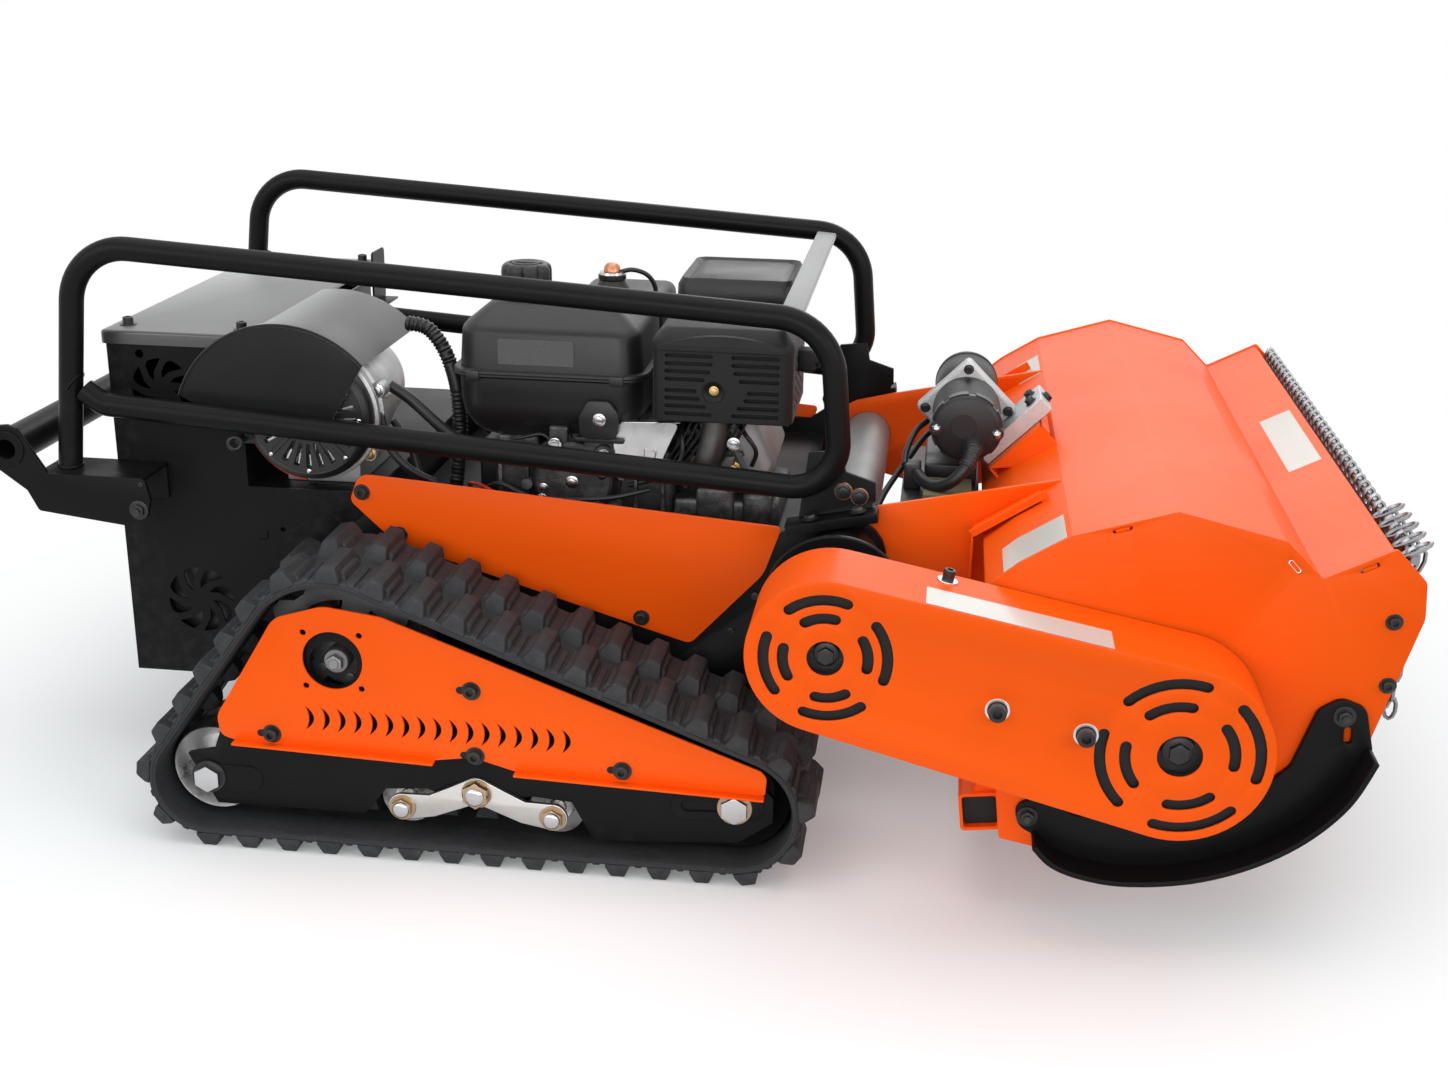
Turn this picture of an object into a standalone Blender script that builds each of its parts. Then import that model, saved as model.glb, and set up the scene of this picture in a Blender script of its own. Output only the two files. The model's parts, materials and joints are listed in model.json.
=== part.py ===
"""Tracked, remote-controlled flail mower with a hinged cutter head.

+X is forward (towards the cutter head), +Y is the machine's left side and +Z is up.
The pieces are modelled about the machine's middle plane with the ground at z = 0, and place_origin()
then moves them all so that the origin is at the bottom centre of the whole machine.
"""

import math

import bmesh
import bpy
from mathutils import Matrix, Vector

# Fits and sheet thicknesses
TOUCH = 0.0003              # gap between two pieces that rest on each other
RUNNING = 0.0007            # radial gap of a piece that turns on another
BELT_CLEAR = 0.0038         # gap between a wheel's rim and the belt round it
SHEET = 0.003               # covers and boxes
PLATE = 0.006               # brackets and arms
WELD = 0.001                # how far a welded piece sinks into its neighbour

# Crawler tracks
TRACK_OUTSIDE = 0.500       # from the middle plane to the belt's outer edge
BELT_WIDTH = 0.180
BELT_CARCASS = 0.011
BELT_LUG = 0.017
BELT_LUGS = 24              # lugs in each of the belt's two rows
GUIDE_HEIGHT = 0.014
GUIDE_WIDTH = 0.022
SPROCKET_X = -0.430
SPROCKET_Z = 0.250
SPROCKET_RADIUS = 0.100
SPROCKET_TEETH = 10
REAR_IDLER_X = -0.598
REAR_IDLER_RADIUS = 0.057
FRONT_IDLER_X = 0.060
FRONT_IDLER_RADIUS = 0.066
WHEEL_GAP = 0.015           # between a wheel's side and the beam plate beside it
AXLE_RADIUS = 0.010
ROCKER_X = -0.256
ROCKER_PIN_Z = 0.095
ROLLER_SPREAD = 0.094       # from the rocker pin to each roller, along X
ROLLER_RADIUS = 0.036
ROLLER_LIFT = 0.0045        # rollers ride this far above the belt, so the rocker can rock
BEAM_INSET = 0.022          # from the belt's edge to the beam plate beside it
BEAM_PLATE = 0.008

# Chassis
FRAME_HALF = 0.293          # outer face of the chassis side plates
FRAME_PLATE = 0.008
FRAME_REAR = -0.500
ENGINE_DECK_Z = 0.353       # top of the engine's mounting plate
FLOOR_Z = 0.1317            # top of the chassis floor
PIVOT_X = 0.170
PIVOT_Z = 0.358
PIVOT_TUBE_RADIUS = 0.035

# Control box and the generator on its shelf
BOX_REAR = -0.782
BOX_FRONT = -0.440
BOX_STEP_X = -0.607
BOX_GAP = 0.017             # between the box and the chassis side plates
BOX_BOTTOM = 0.132
BOX_SHELF = 0.400
BOX_TOP = 0.597
LID_SKIRT = 0.005           # how far the lid stands out past the box
GENERATOR_X = -0.517
GENERATOR_Z = 0.500
GENERATOR_RADIUS = 0.083
GENERATOR_BACK = -0.060
GENERATOR_INSET = 0.016     # from the box's side in to the generator's outer face
HOOD_X = -0.5445
HOOD_Z = 0.478
HOOD_RADIUS = 0.142
HOOD_OVERHANG = 0.025       # how far the hood stands out past the box's side
HOOD_BACK = -0.055

# Engine
TANK_REAR = -0.344
TANK_FRONT = -0.101
TANK_SIDE = -0.210          # the tank's outer side; its inner side is across the middle
TANK_DEPTH = 0.200
TANK_BOTTOM = 0.461
TANK_TOP = 0.640
TANK_SEAM = 0.549
CAP_X = -0.268
CAP_Y = -0.116
CAP_RADIUS = 0.033
AIR_CLEANER_TOP = 0.636
SHIELD_REAR = -0.083
SHIELD_FRONT = 0.095
SHIELD_SIDE = -0.235
SHIELD_DEPTH = 0.170
SHIELD_BOTTOM = 0.505
SHIELD_TOP = 0.624
EXHAUST_X = -0.010
EXHAUST_Y = -0.190
EXHAUST_RADIUS = 0.016

# Roll cage and bumper
CAGE_GAP = 0.0005           # between a cage tube and the tower behind it
CAGE_RADIUS = 0.015
CAGE_BEND = 0.075
BUMPER_X = -0.891
BUMPER_Z = 0.458
BUMPER_RADIUS = 0.0235
BUMPER_BORE = 0.013
BRACKET_TOP = 0.428         # top of the channels that the cage's rear posts stand on

# Cutter head
HEAD_HALF = 0.500           # outer face of the deck's side plates
DECK_SIDE_PLATE = 0.004
ROTOR_X = 0.551
ROTOR_Z = 0.271
ROTOR_TUBE_RADIUS = 0.045
ROTOR_TIP_RADIUS = 0.168
ROTOR_SHAFT_RADIUS = 0.0175
FLAILS_PER_ROW = 6
GUARD_GAP = 0.009           # between the deck's side and the guard's open edge
GUARD_DEPTH = 0.111
GUARD_REAR_RADIUS = 0.088
GUARD_FRONT_RADIUS = 0.100
PULLEY_REAR_RADIUS = 0.060
PULLEY_FRONT_RADIUS = 0.052
PULLEY_OFFSET = 0.072       # from the deck's side to the pulleys' middle
PULLEY_WIDTH = 0.036
PULLEY_GROOVE = 0.012       # depth of a pulley's groove
JACKSHAFT_RADIUS = 0.014
ARM_GAP = 0.001             # between a lift arm and the chassis side plate
BEARING_INSET = 0.040       # from the deck's side in to the jackshaft bearing's outer face
SKID_WIDTH = 0.048
RECEIVER_SIZE = 0.042
RECEIVER_WALL = 0.003
RECEIVER_HALF = 0.480
LIFT_MOTOR_X = 0.313
LIFT_MOTOR_Z = 0.494
LIFT_MOTOR_RADIUS = 0.045
CHAIN_STRANDS = 14

BELT_THICKNESS = BELT_CARCASS + BELT_LUG
REAR_IDLER_Z = BELT_THICKNESS + BELT_CLEAR + REAR_IDLER_RADIUS
FRONT_IDLER_Z = BELT_THICKNESS + BELT_CLEAR + FRONT_IDLER_RADIUS
ROLLER_Z = BELT_THICKNESS + ROLLER_LIFT + ROLLER_RADIUS
TRACK_MIDDLE = TRACK_OUTSIDE - BELT_WIDTH / 2
WHEEL_WIDTH = BELT_WIDTH - 2 * (BEAM_INSET + BEAM_PLATE + WHEEL_GAP)
BEAM_OUTSIDE = TRACK_OUTSIDE - BEAM_INSET
BEAM_INSIDE = TRACK_OUTSIDE - BELT_WIDTH + BEAM_INSET
FRAME_INSIDE = FRAME_HALF - FRAME_PLATE
BOX_HALF = FRAME_INSIDE - BOX_GAP
GENERATOR_FRONT = GENERATOR_INSET - BOX_HALF
HOOD_FRONT = -BOX_HALF - HOOD_OVERHANG
CAGE_HALF = FRAME_HALF + TOUCH + PLATE + CAGE_GAP + CAGE_RADIUS
ARM_OUTSIDE = FRAME_INSIDE - ARM_GAP
GUARD_BACK = HEAD_HALF + GUARD_GAP
GUARD_FRONT = GUARD_BACK + GUARD_DEPTH
PULLEY_MIDDLE = HEAD_HALF + PULLEY_OFFSET
ROUND = 20                  # sides of a large round piece
SMALL_ROUND = 10            # sides of a pin, bolt or bore


def clear_scene():
    for existing in list(bpy.data.objects):
        bpy.data.objects.remove(existing, do_unlink=True)


def make_material(name, colour, roughness, metallic):
    material = bpy.data.materials.new(name)
    material.use_nodes = True
    shader = material.node_tree.nodes["Principled BSDF"]
    shader.inputs["Base Color"].default_value = (*colour, 1.0)
    shader.inputs["Roughness"].default_value = roughness
    shader.inputs["Metallic"].default_value = metallic
    return material


def solid(bm):
    """Makes a working object from a closed bmesh."""
    bmesh.ops.recalc_face_normals(bm, faces=bm.faces)
    mesh = bpy.data.meshes.new("solid")
    bm.to_mesh(mesh)
    bm.free()
    piece = bpy.data.objects.new("solid", mesh)
    bpy.context.scene.collection.objects.link(piece)
    return piece


def combine(operation, base, tools):
    """Applies one exact Boolean for each tool, then removes the tools."""
    for tool in tools:
        modifier = base.modifiers.new("shape", "BOOLEAN")
        modifier.operation = operation
        modifier.solver = "EXACT"
        modifier.object = tool
    bpy.context.view_layer.update()
    graph = bpy.context.evaluated_depsgraph_get()
    shaped = bpy.data.meshes.new_from_object(base.evaluated_get(graph))
    base.modifiers.clear()
    base.data = shaped
    for tool in tools:
        bpy.data.objects.remove(tool, do_unlink=True)
    return base


def union(base, *tools):
    return combine("UNION", base, tools)


def cut(base, *tools):
    return combine("DIFFERENCE", base, tools)


def across(axis, first, second, along):
    """The point of an outline drawn across an axis: (x, z) across Y, (y, z) across X, (x, y) across Z."""
    if axis == "X":
        return Vector((along, first, second))
    if axis == "Y":
        return Vector((first, along, second))
    return Vector((first, second, along))


def prism(outline, low, high, axis="Y"):
    bm = bmesh.new()
    face = bm.faces.new([bm.verts.new(across(axis, a, b, low)) for a, b in outline])
    grown = bmesh.ops.extrude_face_region(bm, geom=[face])
    moved = [item for item in grown["geom"] if isinstance(item, bmesh.types.BMVert)]
    bmesh.ops.translate(bm, verts=moved, vec=across(axis, 0, 0, high - low))
    return solid(bm)


def block(x, y, z):
    """A box from three (low, high) pairs."""
    return prism([(x[0], z[0]), (x[1], z[0]), (x[1], z[1]), (x[0], z[1])], y[0], y[1])


def circle(centre, radius, sides=ROUND, turn=0.0):
    step = math.tau / sides
    return [(centre[0] + radius * math.cos(i * step + turn), centre[1] + radius * math.sin(i * step + turn))
            for i in range(sides)]


def arc(centre, radius, start, end, steps):
    """Points from one angle to another, in degrees."""
    angles = [math.radians(start + (end - start) * i / steps) for i in range(steps + 1)]
    return [(centre[0] + radius * math.cos(a), centre[1] + radius * math.sin(a)) for a in angles]


def rod(centre, radius, low, high, axis="Y", sides=SMALL_ROUND):
    return prism(circle(centre, radius, sides), low, high, axis)


def turned(profile, centre, sides=ROUND, axis="Y"):
    """Spins (radius, along) points about an axis; a profile that keeps off the axis closes into a ring."""
    bm = bmesh.new()
    points = [bm.verts.new((radius, 0, along)) for radius, along in profile]
    edges = [bm.edges.new(pair) for pair in zip(points, points[1:])]
    if min(radius for radius, along in profile) > 0:
        edges.append(bm.edges.new((points[-1], points[0])))
    bmesh.ops.spin(bm, geom=points + edges, cent=(0, 0, 0), axis=(0, 0, 1), angle=math.tau,
                   steps=sides, use_merge=True, use_duplicate=False)
    bmesh.ops.remove_doubles(bm, verts=bm.verts, dist=1e-6)
    turn = {"X": ("Y", 90), "Y": ("X", -90), "Z": ("Z", 0)}[axis]
    bmesh.ops.rotate(bm, verts=bm.verts, cent=(0, 0, 0),
                     matrix=Matrix.Rotation(math.radians(turn[1]), 3, turn[0]))
    bmesh.ops.translate(bm, verts=bm.verts, vec=across(axis, centre[0], centre[1], 0))
    return solid(bm)


def rounded(points, radius, steps=4, closed=True):
    """Rounds the corners of an outline or of a route in space; radius is one value or one per corner."""
    points = [Vector(point) for point in points]
    count = len(points)
    radii = radius if isinstance(radius, (list, tuple)) else [radius] * count
    result = []
    for i, corner in enumerate(points):
        at_end = not closed and i in (0, count - 1)
        if at_end or radii[i] == 0:
            result.append(corner)
            continue
        back = (points[i - 1] - corner).normalized()
        ahead = (points[(i + 1) % count] - corner).normalized()
        half = back.angle(ahead) / 2
        centre = corner + (back + ahead).normalized() * (radii[i] / math.sin(half))
        first = corner + back * (radii[i] / math.tan(half)) - centre
        last = corner + ahead * (radii[i] / math.tan(half)) - centre
        sweep = math.pi - 2 * half
        for k in range(steps + 1):
            share = k / steps
            result.append(centre + first * (math.sin((1 - share) * sweep) / math.sin(sweep))
                          + last * (math.sin(share * sweep) / math.sin(sweep)))
    return [tuple(point) for point in result]


def offset_path(points, distance, closed=False):
    """Moves an outline sideways by a distance, to the left of its direction, with mitred corners."""
    count = len(points)
    moved = []
    for i in range(count):
        sides = []
        if closed or i > 0:
            sides.append((points[i - 1], points[i]))
        if closed or i < count - 1:
            sides.append((points[i], points[(i + 1) % count]))
        normals = [Vector((start[1] - end[1], end[0] - start[0])).normalized() for start, end in sides]
        mean = sum(normals, Vector((0, 0))).normalized()
        reach = distance / mean.dot(normals[0])
        moved.append((points[i][0] + mean.x * reach, points[i][1] + mean.y * reach))
    return moved


def ribbon(path, thickness):
    """The outline of a bent sheet whose outer face follows a path; the sheet lies to the path's right."""
    return list(path) + offset_path(path, -thickness)[::-1]


def tube(route, radius, resolution=3):
    """A swept round bar with closed ends."""
    curve = bpy.data.curves.new("route", "CURVE")
    curve.dimensions = "3D"
    curve.bevel_depth = radius
    curve.bevel_resolution = resolution
    curve.use_fill_caps = True
    spline = curve.splines.new("POLY")
    spline.points.add(len(route) - 1)
    for point, place in zip(spline.points, route):
        point.co = (*place, 1.0)
    guide = bpy.data.objects.new("route", curve)
    bpy.context.scene.collection.objects.link(guide)
    bpy.context.view_layer.update()
    graph = bpy.context.evaluated_depsgraph_get()
    bm = bmesh.new()
    bm.from_mesh(bpy.data.meshes.new_from_object(guide.evaluated_get(graph)))
    bpy.data.objects.remove(guide, do_unlink=True)
    bmesh.ops.remove_doubles(bm, verts=bm.verts, dist=1e-6)
    return solid(bm)


def smooth_route(points, steps):
    """A smooth curve through the given points."""
    ends = [points[0]] + list(points) + [points[-1]]
    route = []
    for i in range(len(points) - 1):
        a, b, c, d = (Vector(ends[i + k]) for k in range(4))
        for k in range(steps):
            t = k / steps
            route.append(0.5 * (2 * b + (c - a) * t + (2 * a - 5 * b + 4 * c - d) * t * t
                                + (3 * b - a - 3 * c + d) * t ** 3))
    return [tuple(point) for point in route] + [tuple(points[-1])]


def mirrored(piece):
    """A copy of a working object on the other side of the middle plane."""
    bm = bmesh.new()
    bm.from_mesh(piece.data)
    bmesh.ops.scale(bm, verts=bm.verts, vec=(1, -1, 1))
    return solid(bm)


def bevelled(piece, width, segments=2):
    """Rounds every edge of a plain working object."""
    bm = bmesh.new()
    bm.from_mesh(piece.data)
    bpy.data.objects.remove(piece, do_unlink=True)
    bmesh.ops.bevel(bm, geom=bm.edges[:], offset=width, segments=segments, profile=0.5,
                    affect="EDGES", clamp_overlap=True)
    return solid(bm)


def name_node(piece, name, material, axis_point=None):
    """Names a finished piece; a moving piece gets its origin on its joint's axis."""
    piece.name = name
    piece.data.name = name
    piece.data.materials.clear()
    piece.data.materials.append(material)
    if axis_point is not None:
        shift = Vector(axis_point)
        piece.data.transform(Matrix.Translation(-shift))
        piece.location = shift
    piece.data.shade_smooth()
    piece.data.set_sharp_from_angle(angle=math.radians(30))
    return piece


def both_sides(right_piece, name, material, axis_point=None):
    """Names a piece of the right side and makes its twin on the left."""
    left_piece = mirrored(right_piece)
    name_node(right_piece, name + "_right", material, axis_point)
    left_point = None if axis_point is None else (axis_point[0], -axis_point[1], axis_point[2])
    name_node(left_piece, name + "_left", material, left_point)


# Crawler tracks

def loop_around(circles):
    """Straight runs and arcs of a band round some circles, listed clockwise, as (length, place) pairs.

    place(s) gives the point and the outward normal at distance s along the run.
    """
    runs = []
    count = len(circles)
    tangents = []
    for i in range(count):
        (x0, z0, r0), (x1, z1, r1) = circles[i], circles[(i + 1) % count]
        heading = math.atan2(z1 - z0, x1 - x0)
        span = math.hypot(x1 - x0, z1 - z0)
        normal = heading + math.acos((r0 - r1) / span)
        tangents.append(normal)
    for i in range(count):
        x0, z0, r0 = circles[i]
        x1, z1, r1 = circles[(i + 1) % count]
        before, after = tangents[i - 1], tangents[i]
        sweep = (before - after) % math.tau
        runs.append((r0 * sweep, ("arc", (x0, z0), r0, before)))
        start = Vector((x0 + r0 * math.cos(after), z0 + r0 * math.sin(after)))
        end = Vector((x1 + r1 * math.cos(after), z1 + r1 * math.sin(after)))
        runs.append(((end - start).length, ("line", start, end, after)))
    return runs


def place_on_loop(runs, distance):
    total = sum(length for length, run in runs)
    distance = distance % total
    for length, run in runs:
        if distance <= length:
            break
        distance -= length
    if run[0] == "arc":
        kind, centre, radius, before = run
        angle = before - distance / radius
        normal = Vector((math.cos(angle), math.sin(angle)))
        return Vector(centre) + normal * radius, normal
    kind, start, end, after = run
    normal = Vector((math.cos(after), math.sin(after)))
    return start.lerp(end, distance / length), normal


def track_circles():
    """The circles that the belt's inner face runs round."""
    return [(REAR_IDLER_X, REAR_IDLER_Z, REAR_IDLER_RADIUS + BELT_CLEAR),
            (SPROCKET_X, SPROCKET_Z, SPROCKET_RADIUS + BELT_CLEAR),
            (FRONT_IDLER_X, FRONT_IDLER_Z, FRONT_IDLER_RADIUS + BELT_CLEAR)]


def track_belt():
    """The rubber belt: a band with two rows of staggered lugs outside and guide lugs inside."""
    runs = loop_around(track_circles())
    steps = 2 * BELT_LUGS
    step = sum(length for length, run in runs) / steps
    middle_gap = 0.008
    outside = (TRACK_OUTSIDE, TRACK_MIDDLE + middle_gap, TRACK_MIDDLE - middle_gap,
               TRACK_OUTSIDE - BELT_WIDTH)
    inside = (TRACK_OUTSIDE, TRACK_MIDDLE + GUIDE_WIDTH / 2, TRACK_MIDDLE - GUIDE_WIDTH / 2,
              TRACK_OUTSIDE - BELT_WIDTH)
    bm = bmesh.new()
    rows = []
    for i in range(steps):
        point, normal = place_on_loop(runs, i * step)
        outer = point + normal * BELT_CARCASS
        rows.append(([bm.verts.new((outer.x, -y, outer.y)) for y in outside],
                     [bm.verts.new((point.x, -y, point.y)) for y in inside]))
    for i in range(steps):
        (outer, inner), (next_outer, next_inner) = rows[i], rows[(i + 1) % steps]
        for k in range(len(outside) - 1):
            face = bm.faces.new((outer[k], outer[k + 1], next_outer[k + 1], next_outer[k]))
            face.material_index = 1 if k == 0 and i % 2 == 0 or k == 2 and i % 2 == 1 else 0
        for k in range(len(inside) - 1):
            face = bm.faces.new((inner[k], next_inner[k], next_inner[k + 1], inner[k + 1]))
            face.material_index = 2 if k == 1 and i % 2 == 0 else 0
        bm.faces.new((outer[0], next_outer[0], next_inner[0], inner[0]))
        bm.faces.new((outer[-1], inner[-1], next_inner[-1], next_outer[-1]))
    bmesh.ops.recalc_face_normals(bm, faces=bm.faces)
    raise_lugs(bm, 1, BELT_LUG, 0.72)
    raise_lugs(bm, 2, GUIDE_HEIGHT, 0.60)
    for face in bm.faces:
        face.material_index = 0
    return solid(bm)


def raise_lugs(bm, mark, height, taper):
    """Extrudes each marked face along its normal and narrows its top."""
    marked = [face for face in bm.faces if face.material_index == mark]
    tops = bmesh.ops.extrude_discrete_faces(bm, faces=marked)["faces"]
    for top in tops:
        middle = top.calc_center_median()
        normal = top.normal.copy()
        for corner in top.verts:
            corner.co = middle + (corner.co - middle) * taper + normal * height


def wheel(x, z, radius, groove_radius, sides):
    """A double-rim wheel whose middle groove clears the belt's guide lugs."""
    bore = AXLE_RADIUS + RUNNING
    half = WHEEL_WIDTH / 2
    groove = GUIDE_WIDTH / 2 + 0.006
    middle = -TRACK_MIDDLE
    profile = [(bore, middle - half), (radius, middle - half), (radius, middle - groove),
               (groove_radius, middle - groove), (groove_radius, middle + groove), (radius, middle + groove),
               (radius, middle + half), (bore, middle + half)]
    return turned(profile, (x, z), sides)


def sprocket():
    """Two toothed plates on a hub, with the drive shaft that enters the gearbox."""
    shaft_radius = 0.020
    root = SPROCKET_RADIUS - 0.012
    plate_gap = GUIDE_WIDTH / 2 + 0.006
    plate_width = 0.016
    outline = []
    pitch = 360 / SPROCKET_TEETH
    for tooth in range(SPROCKET_TEETH):
        middle = tooth * pitch
        outline += arc((SPROCKET_X, SPROCKET_Z), SPROCKET_RADIUS, middle - pitch * 0.16,
                       middle + pitch * 0.16, 1)
        outline += arc((SPROCKET_X, SPROCKET_Z), root, middle + pitch * 0.5, middle + pitch * 0.5, 1)[:1]
    axle = turned([(0, -BEAM_OUTSIDE + 0.012), (0.017, -BEAM_OUTSIDE + 0.012), (0.017, -TRACK_MIDDLE - 0.040),
                   (0.042, -TRACK_MIDDLE - 0.040), (0.042, -TRACK_MIDDLE + 0.040),
                   (shaft_radius, -TRACK_MIDDLE + 0.040), (shaft_radius, -FRAME_HALF - 0.012),
                   (0, -FRAME_HALF - 0.012)], (SPROCKET_X, SPROCKET_Z), 12)
    plates = [prism(outline, -TRACK_MIDDLE - plate_gap - plate_width, -TRACK_MIDDLE - plate_gap),
              prism(outline, -TRACK_MIDDLE + plate_gap, -TRACK_MIDDLE + plate_gap + plate_width)]
    return union(axle, *plates)


def drive_gearbox():
    """The flat planetary gearbox on the chassis side, with a bore for the sprocket's shaft."""
    bore = 0.020 + RUNNING
    near = -FRAME_HALF - TOUCH
    far = -TRACK_OUTSIDE + BELT_WIDTH - 0.004
    profile = [(0, near), (0.062, near), (0.062, near - 0.012), (0.050, far),
               (bore, far), (bore, near - 0.010), (0, near - 0.010)]
    return turned(profile, (SPROCKET_X, SPROCKET_Z), 16)


def beam_outline(arch):
    """The side view of a track beam; the arch leaves room for the rocker's roller axles."""
    front = FRONT_IDLER_X + 0.046
    rear = REAR_IDLER_X - 0.026
    bottom = 0.052
    points = [(rear, REAR_IDLER_Z + 0.029), (rear + 0.035, REAR_IDLER_Z + 0.037), (-0.560, 0.205),
              (-0.480, 0.295), (-0.400, 0.290), (-0.060, 0.160), (front - 0.020, FRONT_IDLER_Z + 0.036),
              (front, FRONT_IDLER_Z + 0.014), (front, FRONT_IDLER_Z - 0.018),
              (front - 0.042, FRONT_IDLER_Z - 0.048), (ROCKER_X + ROLLER_SPREAD + 0.050, 0.038)]
    if arch:
        clear = ROLLER_Z + 0.024
        lobe = ROCKER_PIN_Z - 0.016
        points += [(ROCKER_X + ROLLER_SPREAD + 0.022, clear - 0.004),
                   (ROCKER_X + ROLLER_SPREAD - 0.030, clear),
                   (ROCKER_X + 0.030, lobe), (ROCKER_X - 0.030, lobe),
                   (ROCKER_X - ROLLER_SPREAD + 0.030, clear),
                   (ROCKER_X - ROLLER_SPREAD - 0.022, clear - 0.004)]
    else:
        points += [(ROCKER_X + ROLLER_SPREAD + 0.030, 0.090), (ROCKER_X - ROLLER_SPREAD - 0.030, 0.090)]
    points += [(ROCKER_X - ROLLER_SPREAD - 0.050, bottom), (REAR_IDLER_X + 0.008, bottom)]
    return points


def track_frame():
    """Two beam plates joined by spacers, with the fixed idler axles and the rocker pin."""
    outer = prism(beam_outline(True), -BEAM_OUTSIDE, -BEAM_OUTSIDE + BEAM_PLATE)
    inner = prism(beam_outline(False), -BEAM_INSIDE - BEAM_PLATE, -BEAM_INSIDE)
    sprocket_room = 0.064
    inner = cut(inner, rod((SPROCKET_X, SPROCKET_Z), sprocket_room, -BEAM_OUTSIDE, -BEAM_INSIDE + 0.01,
                           sides=ROUND))
    outer = cut(outer, rod((SPROCKET_X, SPROCKET_Z), 0.030, -BEAM_OUTSIDE - 0.01, -BEAM_INSIDE, sides=ROUND))
    overlap = 0.002
    between = (-BEAM_OUTSIDE + BEAM_PLATE - overlap, -BEAM_INSIDE - BEAM_PLATE + overlap)
    spacers = [rod(place, 0.014, *between) for place in ((ROCKER_X - 0.030, 0.160), (-0.100, 0.140))]
    head = 0.012
    axles = [rod(place, AXLE_RADIUS, -BEAM_OUTSIDE - head, -BEAM_INSIDE - overlap)
             for place in ((REAR_IDLER_X, REAR_IDLER_Z), (FRONT_IDLER_X, FRONT_IDLER_Z))]
    heads = [rod(place, 0.0155, -BEAM_OUTSIDE - head, -BEAM_OUTSIDE + overlap, sides=6)
             for place in ((REAR_IDLER_X, REAR_IDLER_Z), (FRONT_IDLER_X, FRONT_IDLER_Z))]
    pin_end = rocker_plate_outside() - 0.010
    pin = rod((ROCKER_X, ROCKER_PIN_Z), AXLE_RADIUS, -pin_end - 0.018, -BEAM_OUTSIDE + overlap)
    pin_head = rod((ROCKER_X, ROCKER_PIN_Z), 0.016, -pin_end - 0.020, -pin_end - 0.010 - TOUCH)
    return union(outer, inner, *spacers, *axles, *heads, pin, pin_head)


def rocker_plate_outside():
    """Outer face of the rocker's outer plate, from the middle plane."""
    return BEAM_OUTSIDE + 0.001 + PLATE


def rocker():
    """A rocker: an outer and an inner plate joined by the two roller axles."""
    outside = rocker_plate_outside()
    left, right = ROCKER_X - ROLLER_SPREAD, ROCKER_X + ROLLER_SPREAD
    boss = 0.018
    outline = (arc((left, ROLLER_Z), boss, 265, 105, 5) + arc((ROCKER_X, ROCKER_PIN_Z), boss + 0.002, 110,
                                                              70, 3)
               + arc((right, ROLLER_Z), boss, 75, -85, 5) + [(ROCKER_X, ROCKER_PIN_Z - boss)])
    plate = cut(prism(outline, -outside, -outside + PLATE),
                rod((ROCKER_X, ROCKER_PIN_Z), AXLE_RADIUS + RUNNING, -outside - 0.01, -outside + 0.02))
    wheel_inside = TRACK_MIDDLE - WHEEL_WIDTH / 2
    inner_face = wheel_inside - 0.002
    inner_outline = arc((left, ROLLER_Z), 0.015, 270, 90, 4) + arc((right, ROLLER_Z), 0.015, 90, -90, 4)
    inner = prism(inner_outline, -inner_face, -inner_face + 0.005)
    axles = [rod((x, ROLLER_Z), AXLE_RADIUS, -outside - 0.012, -inner_face + 0.003) for x in (left, right)]
    heads = [rod((x, ROLLER_Z), 0.014, -outside - 0.010, -outside + 0.001) for x in (left, right)]
    return union(plate, inner, *axles, *heads)


def track_guard():
    """The outer cover plate of a track, with a bent lip, a round window and crescent louvres."""
    near, thickness = TRACK_OUTSIDE - 0.010, SHEET
    outline = rounded([(-0.583, 0.150), (-0.579, 0.178), (-0.482, 0.309), (-0.431, 0.330), (-0.389, 0.325),
                       (0.085, 0.147), (0.099, 0.128), (0.093, 0.114), (-0.160, 0.1255), (-0.190, 0.146),
                       (-0.320, 0.1505), (-0.350, 0.1335), (-0.560, 0.143)], 0.006, 1)
    plate = prism(outline, -near, -near + thickness)
    lips = [ribbon([(-0.345, 0.1340), (-0.565, 0.1440)], -0.003),
            ribbon([(0.090, 0.1145), (-0.155, 0.1255)], -0.003)]
    lip_pieces = [prism(lip, -near - 0.012, -near + 0.001) for lip in lips]
    window = rod((-0.424, 0.262), 0.036, -near - 0.01, -near + 0.01, sides=ROUND)
    louvres = [prism(crescent((-0.459 + 0.0198 * i, 0.183 - 0.0005 * i), 0.022, 0.004), -near - 0.01,
                     -near + 0.01)
               for i in range(17)]
    ends = [rod(place, 0.011, -near + 0.001, -BEAM_OUTSIDE - TOUCH, sides=12)
            for place in ((-0.514, 0.159), (-0.256, 0.234), (-0.078, 0.143))]
    return cut(union(plate, *lip_pieces, *ends), window, *louvres)


def crescent(centre, length, width):
    """A thin crescent slot standing upright."""
    half = length / 2
    x, z = centre
    return [(x - width, z + half), (x + width * 0.7, z), (x + width * 0.4, z - half),
            (x - width * 0.1, z - half * 0.1)]


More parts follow.
